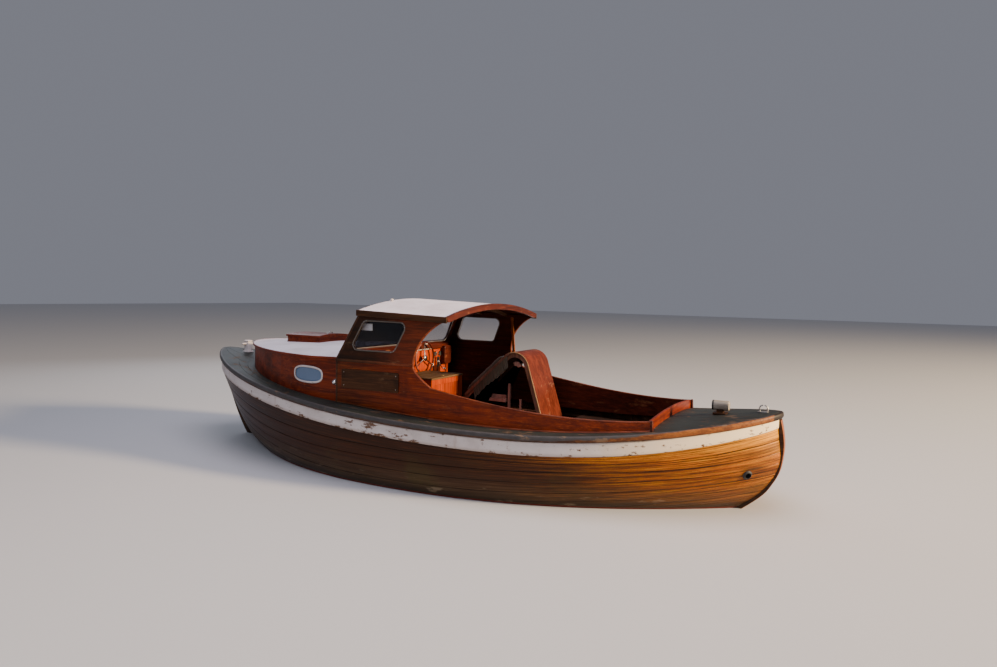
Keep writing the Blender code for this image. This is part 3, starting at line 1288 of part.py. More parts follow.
for mod in propeller.modifiers:
    mod.solver = "MANIFOLD"
for piece in [shaft, propeller] + blades:
    piece.parent = shaft_empty

shoe_top = KEEL_FOOT_AFT + SHOE_THICK
blade_low = shoe_top + RUN
loops = []
for z in np.linspace(blade_low, RUDDER_TOP_Z, 7):
    rise = (z - blade_low) / (RUDDER_TOP_Z - blade_low)
    trail = -RUDDER_LENGTH + 0.090 * (1.0 - rise) ** 3 + 0.045 * rise ** 3
    line = [(0.030, 0.008), (0.0, 0.0125), (trail * 0.5, 0.011), (trail, 0.004)]
    loops.append([(x, y, z) for x, y in line] + [(x, -y, z) for x, y in reversed(line)])
rudder = tube_of_loops("rudder", loops, "backbone")
stock = rod("tool_stock", (0, 0, KEEL_FOOT_AFT + 0.018), (0, 0, STOCK_TOP_Z), STOCK_RADIUS)
arm = box("tool_arm", -0.150, 0.012, -0.014, 0.014, STOCK_TOP_Z - 0.030, STOCK_TOP_Z - 0.006)
for piece in (rudder, stock, arm):
    piece.location = (RUDDER_X, 0.0, 0.0)
join(rudder, stock, arm)

# mooring bitts and the exhaust
bitt_x = COAMING_END_X - BITT_AFT_BEHIND
bitt_foot = deck_z(bitt_x, 0.0)
bitt = box("bitt_aft", bitt_x - 0.060, bitt_x + 0.060, -0.060, 0.060, bitt_foot - 0.015, bitt_foot + 0.018, "grey_wood")
bitt_neck = box("tool_neck", bitt_x - 0.030, bitt_x + 0.030, -0.030, 0.030, bitt_foot - 0.010, bitt_foot + 0.080)
bitt_log = rod("tool_log", (bitt_x - 0.075, 0, bitt_foot + 0.078), (bitt_x + 0.070, 0, bitt_foot + 0.078),
               0.044, sides=16)
join(bitt, bitt_neck, bitt_log)
cut(bitt, raised_copy("cutter_deck_aft", "deck_aft"))

post_x = TRUNK_END_X + BITT_FORE_AHEAD
post_foot = deck_z(post_x, 0.0)
post = box("bitt_fore", post_x - 0.050, post_x + 0.050, -0.050, 0.050, post_foot - 0.015, post_foot + 0.016, "white")
post_neck = box("tool_post", post_x - 0.035, post_x + 0.035, -0.035, 0.035, post_foot - 0.010, post_foot + 0.150)
post_bar = rod("tool_bar", (post_x, -0.095, post_foot + 0.105), (post_x, 0.095, post_foot + 0.105), 0.012, sides=12)
join(post, post_neck, post_bar)
cut(post, raised_copy("cutter_deck_fore", "deck_fore"))

exhaust_at = Vector(hull_point(EXHAUST_STATION, EXHAUST_LINE, 0.0))
along = Vector(hull_point(EXHAUST_STATION + 0.02, EXHAUST_LINE, 0.0)) - exhaust_at
upward = Vector(hull_point(EXHAUST_STATION, EXHAUST_LINE + 0.2, 0.0)) - exhaust_at
exhaust_out = upward.cross(along).normalized()
if exhaust_out.y < 0:
    exhaust_out = -exhaust_out
ring_hole = rod("cutter_exhaust", exhaust_at - exhaust_out * 0.10, exhaust_at + exhaust_out * 0.10,
                EXHAUST_RADIUS + GAP, sides=16)
cut(bpy.data.objects["planking_port"], ring_hole)
pipe = rod("exhaust", exhaust_at - exhaust_out * 0.080, exhaust_at + exhaust_out * 0.018,
           EXHAUST_RADIUS, "iron", sides=16)
pipe_bore = rod("cutter_pipe", exhaust_at - exhaust_out * 0.20, exhaust_at + exhaust_out * 0.20,
                EXHAUST_RADIUS - 0.006, sides=16)
cut(pipe, pipe_bore)
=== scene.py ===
import math
import random

import bmesh
import bpy
import numpy as np
from mathutils import Matrix, Vector


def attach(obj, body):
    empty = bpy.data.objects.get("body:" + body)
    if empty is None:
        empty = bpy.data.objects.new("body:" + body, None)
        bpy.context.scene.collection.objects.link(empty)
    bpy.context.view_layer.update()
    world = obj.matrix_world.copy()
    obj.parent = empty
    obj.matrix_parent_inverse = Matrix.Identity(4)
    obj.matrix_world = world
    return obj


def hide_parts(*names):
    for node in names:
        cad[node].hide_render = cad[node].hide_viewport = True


# A double-ended wooden motor boat with an open-backed wheelhouse, afloat.
# +X is the bow, +Y is port, +Z is up, and the floor lies at the waterline.

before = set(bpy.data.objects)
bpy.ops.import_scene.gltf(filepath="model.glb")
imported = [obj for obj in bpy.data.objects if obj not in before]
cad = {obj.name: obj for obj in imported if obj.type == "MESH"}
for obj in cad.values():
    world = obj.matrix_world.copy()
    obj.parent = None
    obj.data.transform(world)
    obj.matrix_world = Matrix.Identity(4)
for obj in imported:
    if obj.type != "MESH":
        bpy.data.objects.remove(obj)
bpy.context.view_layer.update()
sides = (("port", 1), ("stbd", -1))
gap = 0.0003  # room between two pieces that meet
print("frame loaded:", len(cad), "solids")

# camera at the photograph's place, over the port quarter
viewpoint = {
    "at": (-3.962, 6.332, 1.815),
    "right": (-0.88253, -0.46981, 0.02045),
    "up": (0.04529, -0.04162, 0.99811),
    "forward": (0.46807, -0.88179, -0.05801),
    "lens": 25.56,
}
eye = bpy.data.objects.new("camera", bpy.data.cameras.new("camera"))
eye.data.lens = viewpoint["lens"]
eye.data.sensor_width = 36.0
eye.data.clip_end = 200.0
axes = [Vector(viewpoint["right"]), Vector(viewpoint["up"]), -Vector(viewpoint["forward"])]
eye.matrix_world = Matrix.Translation(viewpoint["at"]) @ Matrix(axes).transposed().to_4x4()
bpy.context.scene.collection.objects.link(eye)
bpy.context.scene.camera = eye


# materials: numbers are written as sums and products, which become Math nodes
class Num:
    def __init__(self, finish, link):
        self.finish = finish
        self.link = link

    def __add__(self, other):
        return self.finish.sum("ADD", self, other)

    def __radd__(self, other):
        return self.finish.sum("ADD", other, self)

    def __sub__(self, other):
        return self.finish.sum("SUBTRACT", self, other)

    def __rsub__(self, other):
        return self.finish.sum("SUBTRACT", other, self)

    def __mul__(self, other):
        return self.finish.sum("MULTIPLY", self, other)

    def __rmul__(self, other):
        return self.finish.sum("MULTIPLY", other, self)

    def __truediv__(self, other):
        return self.finish.sum("DIVIDE", self, other)


class Finish:
    def __init__(self, name):
        self.mat = bpy.data.materials.new(name)
        self.mat.use_nodes = True
        self.tree = self.mat.node_tree
        self.shader = self.tree.nodes["Principled BSDF"]
        self.object = self.add("ShaderNodeTexCoord", out="Object")

    def add(self, kind, settings=None, values=None, out=0):
        made = self.tree.nodes.new(kind)
        for key, value in (settings or {}).items():
            setattr(made, key, value)
        for key, value in (values or {}).items():
            self.feed(made.inputs[key], value)
        return Num(self, made.outputs[out])

    def feed(self, socket, value):
        if isinstance(value, Num):
            self.tree.links.new(value.link, socket)
        elif socket.type == "RGBA" and len(value) == 3:
            socket.default_value = (*value, 1.0)
        else:
            socket.default_value = value

    def sum(self, how, *terms):
        return self.add("ShaderNodeMath", {"operation": how}, dict(enumerate(terms)))

    def least(self, a, b):
        return self.sum("MINIMUM", a, b)

    def most(self, a, b):
        return self.sum("MAXIMUM", a, b)

    def part(self, axis, vector=None):
        return self.add("ShaderNodeSeparateXYZ", None, {0: vector or self.object}, out=axis)

    def stretched(self, scale, vector=None):
        return self.add("ShaderNodeMapping", None, {"Vector": vector or self.object, "Scale": scale})

    def noise(self, scale, detail=4.0, rough=0.55, at=None, bend=0.0):
        return self.add("ShaderNodeTexNoise", None, {"Vector": at or self.object, "Scale": scale,
            "Detail": detail, "Roughness": rough, "Distortion": bend})

    def band(self, value, low, high):
        # 0 below low, 1 above high
        return self.add("ShaderNodeMapRange", {"interpolation_type": "SMOOTHSTEP"},
            {0: value, 1: low, 2: high})

    def mix(self, share, a, b, how="MIX"):
        return self.add("ShaderNodeMix", {"data_type": "RGBA", "blend_type": how}, {0: share, 6: a, 7: b},
            out=2)

    def bump(self, height, distance, strength):
        return self.add("ShaderNodeBump", None, {"Height": height, "Distance": distance,
            "Strength": strength})

    def done(self, color, rough, normal=None, **fixed):
        self.feed(self.shader.inputs["Base Color"], color)
        self.feed(self.shader.inputs["Roughness"], rough)
        if normal is not None:
            self.feed(self.shader.inputs["Normal"], normal)
        for key, value in fixed.items():
            self.feed(self.shader.inputs[key.replace("_", " ")], value)
        return self.mat


def woodFinish(name, look, along="X", boards=None):
    # sawn and varnished wood: long figure, fine pores, stains, scuffs and worn patches
    f = Finish(name)
    thin, long = look["grain"], look["grain"] * 0.045
    scale = {"X": (long, thin, thin), "Y": (thin, long, thin), "Z": (thin, thin, long)}[along]
    lay = f.stretched(scale)
    figure = f.noise(1.0, 3.0, 0.5, lay, 0.6)
    streak = f.noise(3.4, 5.0, 0.65, lay)
    pores = f.noise(11.0, 2.0, 0.7, lay)
    tone = f.band(figure * 0.6 + streak * 0.4, 0.36, 0.64)
    color = f.mix(tone, look["deep"], look["warm"])
    color = f.mix(f.band(streak, 0.52, 0.72) * 0.55, color, look["light"])
    color = f.mix(f.band(pores, 0.56, 0.70) * 0.5, color, look["dark"])
    blotch = f.noise(3.0, 6.0, 0.62)
    color = f.mix(f.band(blotch, 0.50, 0.70) * look["stain"], color, look["dark"])
    if boards:
        axis, wide, start = boards
        pick = f.add("ShaderNodeTexWhiteNoise", {"noise_dimensions": "1D"},
            {"W": f.sum("FLOOR", (f.part(axis) - start) / wide) + 0.37})
        color = f.mix(pick * look.get("boardTone", 0.5), color, look["dark"])
    # painted light and shade: past start along the axis the colour is multiplied by tint, darker where shade
    # is painted, lighter where a highlight is
    if "paintedLight" in look:
        axis, start, end, tint = look["paintedLight"]
        drift = f.part(axis) + (f.noise(1.7, 4.0, 0.6) - 0.5) * 0.5
        color = f.mix(f.band(drift, start, end), color, tint, how="MULTIPLY")
    worn = f.band(f.noise(5.5, 8.0, 0.68, f.stretched((0.5, 1.0, 1.6))), 0.60, 0.68)
    worn = worn * look["wear"]
    color = f.mix(worn, color, look["bare"])
    rough = look["rough"] + worn * 0.35 + (blotch - 0.5) * 0.35 + pores * 0.06
    height = figure * 0.25 + streak * 0.35 - f.band(pores, 0.55, 0.75) * 0.5 + blotch * 0.5
    normal = f.bump(height, 0.0012, look.get("relief", 0.35))
    return f.done(color, rough, normal, Coat_Weight=look["coat"], Coat_Roughness=look.get("coatRough", 0.18),
        Specular_IOR_Level=0.16)


def paintFinish(name, look):
    # old paint: brush lines, dirt, chips with wood under them
    f = Finish(name)
    dirt = f.noise(2.6, 7.0, 0.62)
    speck = f.noise(38.0, 3.0, 0.6)
    lines = f.noise(1.0, 4.0, 0.6, f.stretched((3.0, 70.0, 3.0) if look.get("flat") else (3.0, 3.0, 70.0)))
    color = f.mix(f.band(dirt, 0.40, 0.72) * look["dirt"], look["paint"], look["grime"])
    color = f.mix(f.band(lines, 0.5, 0.8) * 0.25, color, look["grime"])
    color = f.mix(f.band(speck, 0.66, 0.74) * 0.6, color, look["under"])
    chip = f.noise(9.0, 9.0, 0.72, f.stretched((0.55, 1.0, 1.3)))
    gone = f.band(chip, look["chipFrom"], look["chipFrom"] + 0.012)
    rim = f.band(chip, look["chipFrom"] - 0.03, look["chipFrom"]) - gone
    grain = f.noise(9.0, 5.0, 0.6, f.stretched((1.2, 18.0, 18.0)))
    wood = f.mix(grain, look["under"], look["wood"])
    color = f.mix(f.most(rim, 0.0) * 0.5, color, look["grime"])
    color = f.mix(gone, color, wood)
    rough = look["rough"] + gone * 0.2 + dirt * 0.12
    height = (1.0 - gone) * 0.8 + lines * 0.12 + dirt * 0.2 + grain * gone * 0.4
    return f.done(color, rough, f.bump(height, 0.0010, look["relief"]), Specular_IOR_Level=0.3)


varnish = {
    "mahogany": dict(deep=(0.085, 0.0085, 0.0018), warm=(0.205, 0.026, 0.004), light=(0.33, 0.062, 0.012),
                     dark=(0.024, 0.004, 0.0015), bare=(0.30, 0.115, 0.045), grain=26.0, rough=0.40,
                         wear=0.30,
                     stain=0.58, coat=0.06),
    "darkSide": dict(deep=(0.028, 0.010, 0.003), warm=(0.064, 0.023, 0.007), light=(0.12, 0.046, 0.014),
                     dark=(0.009, 0.004, 0.002), bare=(0.17, 0.095, 0.045), grain=24.0, rough=0.46,
                         wear=0.35,
                     stain=0.6, coat=0.04),
    "beam": dict(deep=(0.040, 0.0055, 0.0024), warm=(0.086, 0.013, 0.005), light=(0.19, 0.042, 0.016),
                 dark=(0.045, 0.009, 0.004), bare=(0.50, 0.22, 0.10), grain=30.0, rough=0.40, wear=0.30,
                 stain=0.4, coat=0.12),
    "orange": dict(deep=(0.27, 0.028, 0.003), warm=(0.50, 0.064, 0.005), light=(0.66, 0.13, 0.014),
                   dark=(0.13, 0.016, 0.004), bare=(0.52, 0.22, 0.08), grain=34.0, rough=0.34, wear=0.22,
                   stain=0.42, coat=0.22, coatRough=0.16),
    "seat": dict(deep=(0.070, 0.011, 0.004), warm=(0.135, 0.023, 0.009), light=(0.21, 0.046, 0.018),
                 dark=(0.075, 0.012, 0.005), bare=(0.48, 0.24, 0.13), grain=16.0, rough=0.42, wear=0.25,
                 stain=0.35, coat=0.10),
    "backbone": dict(deep=(0.032, 0.015, 0.008), warm=(0.065, 0.032, 0.015), light=(0.14, 0.075, 0.035),
                     dark=(0.012, 0.008, 0.006), bare=(0.26, 0.13, 0.055), grain=24.0, rough=0.58, wear=0.5,
                     stain=0.6, coat=0.0),
    "interior": dict(deep=(0.060, 0.026, 0.013), warm=(0.115, 0.052, 0.025), light=(0.18, 0.090, 0.045),
                     dark=(0.018, 0.010, 0.007), bare=(0.24, 0.17, 0.11), grain=22.0, rough=0.62, wear=0.5,
                     stain=0.75, coat=0.0, relief=0.5),
    "grey": dict(deep=(0.30, 0.26, 0.21), warm=(0.50, 0.45, 0.37), light=(0.70, 0.65, 0.56),
                 dark=(0.12, 0.10, 0.08), bare=(0.74, 0.70, 0.62), grain=26.0, rough=0.80, wear=0.6,
                 stain=0.45, coat=0.0, relief=0.8),
    "mast": dict(deep=(0.17, 0.040, 0.010), warm=(0.33, 0.090, 0.022), light=(0.48, 0.17, 0.05),
                 dark=(0.07, 0.018, 0.007), bare=(0.52, 0.32, 0.17), grain=30.0, rough=0.44, wear=0.4,
                 stain=0.4, coat=0.10),
}
paints = {
    "white": dict(paint=(0.68, 0.625, 0.615), grime=(0.36, 0.29, 0.27), under=(0.075, 0.036, 0.020),
                  wood=(0.20, 0.095, 0.045), rough=0.55, chipFrom=0.625, dirt=0.55, relief=0.8),
    "deck": dict(paint=(0.023, 0.027, 0.022), grime=(0.007, 0.007, 0.006), under=(0.050, 0.028, 0.016),
                 wood=(0.130, 0.082, 0.050), rough=0.50, chipFrom=0.575, dirt=0.85, flat=True, relief=0.6),
    "roof": dict(paint=(0.78, 0.715, 0.755), grime=(0.50, 0.44, 0.45), under=(0.34, 0.26, 0.22),
                 wood=(0.40, 0.27, 0.18), rough=0.60, chipFrom=0.70, dirt=0.55, flat=True, relief=0.4),
}


def plainMetal(name, color, rough, metallic=1.0, scratch=0.12, pit=(0.2, 0.2, 0.2)):
    f = Finish(name)
    spots = f.noise(60.0, 5.0, 0.65)
    haze = f.noise(7.0, 4.0, 0.6)
    dull = f.band(spots, 0.60, 0.72)
    tint = f.mix(dull * 0.7, color, pit)
    tint = f.mix(f.band(haze, 0.45, 0.7) * 0.3, tint, pit)
    return f.done(tint, rough + dull * 0.3 + haze * scratch, f.bump(spots, 0.0004, 0.3), Metallic=metallic)


def hullFinish(name):
    # long planks: u runs along each plank in metres, v counts the planks from the keel
    f = Finish(name)
    uv = f.add("ShaderNodeUVMap", {"uv_map": "planks"})
    u, v = f.part("X", uv), f.part("Y", uv)
    x, z = f.part("X"), f.part("Z")
    count = f.sum("FLOOR", v)
    share = v - count
    pick = f.add("ShaderNodeTexWhiteNoise", {"noise_dimensions": "1D"}, {"W": count * 1.37 + 3.1})
    lay = f.add("ShaderNodeCombineXYZ", None, {0: u * 0.9 + count * 7.3, 1: share * 2.4 + count * 5.1,
        2: pick})
    figure = f.noise(1.6, 4.0, 0.55, lay, 1.2)
    fine = f.noise(1.0, 6.0, 0.66, f.stretched((3.0, 16.0, 1.0), lay))
    hair = f.noise(1.0, 3.0, 0.6, f.stretched((7.0, 60.0, 1.0), lay))
    wide = f.noise(1.0, 5.0, 0.62, f.stretched((0.9, 1.6, 1.0), lay), 0.8)
    tone = f.band(figure * 0.45 + fine * 0.55, 0.38, 0.62)
    # painted sunlight: the plank colour where the sun falls, lighter towards the top
    sunlitPlank = f.mix(tone, (0.27, 0.052, 0.003), (1.0, 0.255, 0.005))
    sunlitPlank = f.mix(f.band(fine, 0.50, 0.62) * 0.90, sunlitPlank, (1.0, 0.47, 0.024))
    sunlitPlank = f.mix(f.band(z, 0.42, 0.72) * 0.75, sunlitPlank, (1.0, 0.44, 0.010))
    sunlitPlank = f.mix(f.band(wide, 0.50, 0.64) * 0.8, sunlitPlank, (0.115, 0.026, 0.004))
    # painted shade: the plank colour where the side is in shade
    shadedPlank = f.mix(tone, (0.012, 0.0030, 0.0008), (0.066, 0.016, 0.003))
    shadedPlank = f.mix(f.band(fine, 0.52, 0.68) * 0.66, shadedPlank, (0.27, 0.066, 0.007))
    shadedPlank = f.mix(f.band(wide, 0.46, 0.62) * 0.75, shadedPlank, (0.012, 0.005, 0.0025))
    drift = f.noise(1.3, 5.0, 0.62, f.stretched((1.0, 1.0, 1.8)))
    # painted light: sunlit on the stern quarter and high up, in shade amidships
    sunlitShare = f.band(0.0 - x + (drift - 0.5) * 1.5 + (z - 0.40) * 0.9, 0.70, 2.55)
    color = f.mix(sunlitShare, shadedPlank, sunlitPlank)
    color = f.mix(pick * 0.42, color, (0.060, 0.016, 0.004))
    streak = f.noise(1.0, 8.0, 0.72, f.stretched((1.0, 4.2, 1.0), lay), 0.9)
    color = f.mix(f.band(streak, 0.495, 0.535) * (0.36 + f.band(sunlitShare, 0.97, 0.40) * 0.50), color,
        (0.020, 0.006, 0.002))
    # dark stains and open grain follow the planks
    run = f.noise(1.0, 6.0, 0.66, f.stretched((1.1, 4.0, 1.0), lay), 1.0)
    fleck = f.noise(1.0, 6.0, 0.74, f.stretched((11.0, 15.0, 1.0), lay))
    color = f.mix(f.band(run, 0.52, 0.58) * 0.80, color, (0.024, 0.008, 0.003))
    # the dark marks are weaker high on the stern quarter, where the painted sunlight is strongest
    sunlitHigh = f.band(z, 0.48, 0.72) * sunlitShare
    color = f.mix(f.band(hair, 0.54, 0.62) * (0.85 - sunlitHigh * 0.45), color, (0.030, 0.008, 0.002))
    color = f.mix(f.band(fleck, 0.57, 0.63) * (0.75 - sunlitHigh * 0.25), color, (0.026, 0.008, 0.003))
    # darker towards the bottom of the side
    color = f.mix(f.band(z, 0.62, 0.16) * 0.36, color, (0.050, 0.015, 0.003))
    # the run of soot and damp above the outlet, with a painted shadow of the pipe, and weathered wood near
    # the water
    away = f.add("ShaderNodeVectorMath", {"operation": "SUBTRACT"}, {0: f.object, 1: (-3.12, 0.20, 0.400)})
    spread = f.add("ShaderNodeVectorMath", {"operation": "LENGTH"}, {0: f.stretched((3.0, 3.0, 11.0), away)},
        out=1)
    sootAndPipeShadow = f.band(spread, 0.62, 0.10)
    color = f.mix(sootAndPipeShadow * f.band(fine, 0.30, 0.60) * 0.85, color, (0.020, 0.011, 0.007))
    low = f.band(z + (wide - 0.5) * 0.16, 0.30, 0.06)
    grey = f.mix(tone, (0.055, 0.034, 0.018), (0.160, 0.108, 0.060))
    color = f.mix(low * 0.42, color, grey)
    green = f.band(f.noise(2.3, 5.0, 0.6), 0.52, 0.70) * f.band(z, 0.50, 0.10) * 0.40
    color = f.mix(green, color, (0.058, 0.050, 0.012))
    # seams, open here and there
    edge = f.least(share, 1.0 - share)
    gape = f.noise(2.2, 5.0, 0.6, lay)
    seam = f.band(edge, 0.030 + f.band(gape, 0.45, 0.7) * 0.055, 0.008)
    color = f.mix(seam * 0.92, color, (0.012, 0.006, 0.003))
    # dirty band at the water, a red line, then dull bottom paint
    wander = (f.noise(3.0, 5.0, 0.6, f.stretched((1.0, 1.0, 0.2))) - 0.5) * 0.07
    wet = f.band(z + wander, 0.120, 0.030)
    color = f.mix(wet * 0.80, color, (0.030, 0.018, 0.010))
    pale = f.band(f.noise(5.0, 6.0, 0.65, f.stretched((0.6, 1.0, 3.0))), 0.58, 0.66) * f.band(z, 0.26, 0.05)
    color = f.mix(pale * 0.45, color, (0.30, 0.22, 0.14))
    line = f.band(z + wander * 0.2, 0.020, 0.014)
    bottom = f.mix(f.noise(6.0, 8.0, 0.7), (0.105, 0.018, 0.013), (0.20, 0.040, 0.025))
    bottom = f.mix(f.band(z + wander, -0.02, -0.16) * 0.6, bottom, (0.045, 0.050, 0.030))
    color = f.mix(line, color, bottom)
    dry = 0.42 + (run - 0.5) * 0.5 + seam * 0.3 + f.band(hair, 0.6, 0.74) * 0.2
    rough = dry + line * 0.25
    height = fine * 0.5 - f.band(hair, 0.58, 0.74) * 0.5 - seam * 1.6 + figure * 0.4 + run * 0.4
    normal = f.bump(height, 0.0014, 0.55)
    return f.done(color, rough, normal, Coat_Weight=0.05, Coat_Roughness=0.25, Specular_IOR_Level=0.15)


def railFinish(name):
    # v runs over the rail from its lower edge; amidships the deck's dark paint covers most of it
    f = Finish(name)
    v = f.part("Y", f.add("ShaderNodeUVMap", {"uv_map": "rail"}))
    x = f.part("X")
    lay = f.stretched((1.3, 26.0, 26.0))
    figure, fine = f.noise(1.0, 3.0, 0.5, lay, 0.5), f.noise(3.0, 5.0, 0.65, lay)
    tone = f.band(figure * 0.5 + fine * 0.5, 0.38, 0.62)
    aft = f.band(0.0 - x + (f.noise(1.8, 5.0, 0.65) - 0.5) * 1.2, 1.5, 2.7)
    # painted sunlight: the rail's wood turns lighter and warmer towards the stern
    wood = f.mix(tone, f.mix(aft, (0.030, 0.010, 0.004), (0.12, 0.034, 0.008)),
        f.mix(aft, (0.085, 0.030, 0.010), (0.27, 0.085, 0.012)))
    wood = f.mix(f.band(fine, 0.55, 0.72) * 0.5, wood, (0.32, 0.14, 0.040))
    grime = f.mix(f.noise(14.0, 6.0, 0.7), (0.022, 0.021, 0.022), (0.085, 0.078, 0.078))
    wear = f.noise(6.0, 7.0, 0.7, f.stretched((0.6, 1.0, 1.0)))
    painted = f.band(v + (wear - 0.5) * 0.5 - aft * 0.42, 0.30, 0.46)
    color = f.mix(painted, wood, grime)
    color = f.mix(f.band(0.0 - x, 3.262, 3.274), color, (0.016, 0.010, 0.008))
    worn = f.band(wear, 0.60, 0.66) * 0.6
    color = f.mix(worn, color, (0.24, 0.15, 0.085))
    # painted shade: the underside of the rail is darkened
    color = f.mix(f.band(v, 0.29, 0.20) * 0.85, color, (0.010, 0.006, 0.004))
    height = fine * 0.5 + wear * 0.5 + painted * 0.3
    return f.done(color, 0.55 + worn * 0.2, f.bump(height, 0.0012, 0.5), Specular_IOR_Level=0.28)


def strakeFinish(name, look):
    # u runs along the strake in metres, v from its lower edge up; chips gather low and in two worn stretches
    f = Finish(name)
    uv = f.add("ShaderNodeUVMap", {"uv_map": "strake"})
    u, v = f.part("X", uv), f.part("Y", uv)
    x = f.part("X")
    dirt = f.noise(2.2, 7.0, 0.62)
    lines = f.noise(1.0, 4.0, 0.6, f.stretched((2.0, 60.0, 1.0),
        f.add("ShaderNodeCombineXYZ", None, {0: u, 1: v * 0.118, 2: 0.0})))
    color = f.mix(f.band(dirt, 0.40, 0.70) * 0.5, look["paint"], look["grime"])
    color = f.mix(f.band(lines, 0.50, 0.75) * 0.35, color, (0.50, 0.43, 0.43))
    color = f.mix(f.band(v + (dirt - 0.5) * 0.4, 0.30, 0.0) * 0.55, color, (0.33, 0.24, 0.18))
    rust = f.band(f.noise(1.0, 6.0, 0.7, f.stretched((9.0, 9.0, 1.6))), 0.58, 0.70)
    color = f.mix(rust * 0.30, color, (0.34, 0.20, 0.12))
    # painted sunlight: the white paint turns bright and warm towards the stern
    color = f.mix(f.band(0.0 - x + (dirt - 0.5) * 0.8, 1.7, 3.0) * 0.75, color, (1.0, 0.80, 0.48))
    worst = f.most(f.band(f.sum("ABSOLUTE", x + 0.05), 0.75, 0.15),
        f.band(f.sum("ABSOLUTE", x + 2.42), 0.40, 0.10) * 0.25)
    chip = f.noise(17.0, 9.0, 0.74, f.stretched((0.45, 1.0, 1.2))) + worst * 0.046 + f.band(v, 0.36,
        0.02) * 0.058
    gone = f.band(chip, 0.625, 0.640)
    rim = f.band(chip, 0.590, 0.625) - gone
    grain = f.noise(9.0, 5.0, 0.6, f.stretched((1.2, 18.0, 18.0)))
    wood = f.mix(grain, look["under"], look["wood"])
    color = f.mix(f.most(rim, 0.0) * 0.65, color, (0.20, 0.12, 0.075))
    color = f.mix(gone, color, wood)
    rough = 0.55 + gone * 0.2 + dirt * 0.12
    height = (1.0 - gone) * 0.9 + lines * 0.15 + dirt * 0.2 + grain * gone * 0.4
    return f.done(color, rough, f.bump(height, 0.0014, 0.8), Specular_IOR_Level=0.3)


# each use of a wood: its kind, the way the grain runs, its boards, and what differs from the kind
# sides and coaming: darker and less red forward, painted shade
sideChange = dict(deep=(0.105, 0.0105, 0.0015), warm=(0.255, 0.031, 0.003), light=(0.41, 0.073, 0.009),
    paintedLight=("X", -0.25, 0.62, (0.66, 0.96, 0.90)), boardTone=0.16)
woodUses = (
    ("mahoganyAcross", "mahogany", "Y", None, {}),
    ("mahoganyUp", "mahogany", "Z", None, {}),
    ("orangeUp", "orange", "Z", None, {}),
    ("interiorAcross", "interior", "Y", None, {}),
    ("sideWood", "mahogany", "X", None, sideChange),
    ("sideBoards", "mahogany", "X", ("Z", 0.165, 0.635), sideChange),
    # window panels: much darker forward, painted shade
    ("panelWood", "darkSide", "X", None,
     dict(deep=(0.055, 0.014, 0.005), warm=(0.135, 0.022, 0.006), light=(0.20, 0.046, 0.014),
          paintedLight=("X", -0.22, 0.25, (0.24, 0.46, 0.56)))),
    # trim: darker forward, painted shade
    ("trimWood", "mahogany", "X", None,
     dict(deep=(0.085, 0.016, 0.006), warm=(0.19, 0.042, 0.014), light=(0.30, 0.085, 0.032),
          paintedLight=("X", -0.25, 0.45, (0.38, 0.66, 0.75)), wear=0.5)),
    # the same mahogany darker: painted shade for inboard faces, undersides and a recess
    ("innerWood", "mahogany", "X", None,
     dict(deep=(0.025, 0.0038, 0.0014), warm=(0.068, 0.011, 0.0042), light=(0.11, 0.023, 0.009))),
    ("soleBoards", "interior", "X", ("Y", 0.098, 0.0), {}),
    ("upBoards", "orange", "Z", ("Y", 0.12, -0.25), {}),
    ("seatUp", "seat", "Z", None, {}),
    ("beamAcross", "beam", "Y", None, {}),
    ("lidWood", "interior", "Y", None,
     dict(deep=(0.10, 0.052, 0.022), warm=(0.20, 0.115, 0.052), light=(0.34, 0.21, 0.11))),
    ("ribWood", "mast", "Z", None, dict(deep=(0.13, 0.055, 0.036), warm=(0.25, 0.115, 0.078))),
    ("frameWood", "mast", "Z", None, dict(deep=(0.24, 0.10, 0.075), warm=(0.44, 0.20, 0.15))),
    # wheel rim: its port half much lighter, a painted highlight
    ("wheelRim", "beam", "Z", None,
     dict(coat=0.5, coatRough=0.1, grain=60.0, paintedLight=("Y", -0.225, -0.165, (3.6, 7.5, 14.0)))),
)
woods = {key + "Wood": woodFinish(key + "Wood", look) for key, look in varnish.items()}
for name, kind, along, boards, change in woodUses:
    woods[name] = woodFinish(name, dict(varnish[kind], **change), along, boards)
woods["rail"] = railFinish("railEdge")
woods["strake"] = strakeFinish("strakePaint", paints["white"])
woods["planks"] = hullFinish("hullPlanks")
creamTrim = paintFinish("creamTrim", dict(paints["white"], paint=(0.40, 0.235, 0.105),
    grime=(0.16, 0.07, 0.03), chipFrom=0.60))
ivory = paintFinish("ivoryRim", dict(paints["white"], paint=(0.62, 0.46, 0.38), grime=(0.36, 0.24, 0.18),
    chipFrom=0.74))
for key, look in paints.items():
    woods[key + "Paint"] = paintFinish(key + "Paint", look)
metals = {
    "chrome": plainMetal("chrome", (0.70, 0.70, 0.72), 0.16, pit=(0.30, 0.27, 0.24)),
    "bronze": plainMetal("bronze", (0.42, 0.27, 0.11), 0.34, pit=(0.12, 0.16, 0.11)),
    "iron": plainMetal("iron", (0.060, 0.060, 0.062), 0.50, 0.3, pit=(0.16, 0.06, 0.025)),
    "engine": plainMetal("enginePaint", (0.055, 0.105, 0.085), 0.45, 0.0, pit=(0.05, 0.035, 0.02)),
    "steel": plainMetal("steel", (0.45, 0.44, 0.43), 0.38, pit=(0.22, 0.10, 0.05)),
}


def paneFinish(name, tint, clear=1.0):
    f = Finish(name)
    film = f.noise(5.0, 5.0, 0.6)
    f.shader.inputs["Transmission Weight"].default_value = clear
    f.shader.inputs["IOR"].default_value = 1.18
    return f.done(f.mix(film * 0.10, tint, tuple(min(1.0, c * 1.3) for c in tint)),
        0.03 + f.band(film, 0.5, 0.8) * 0.10)


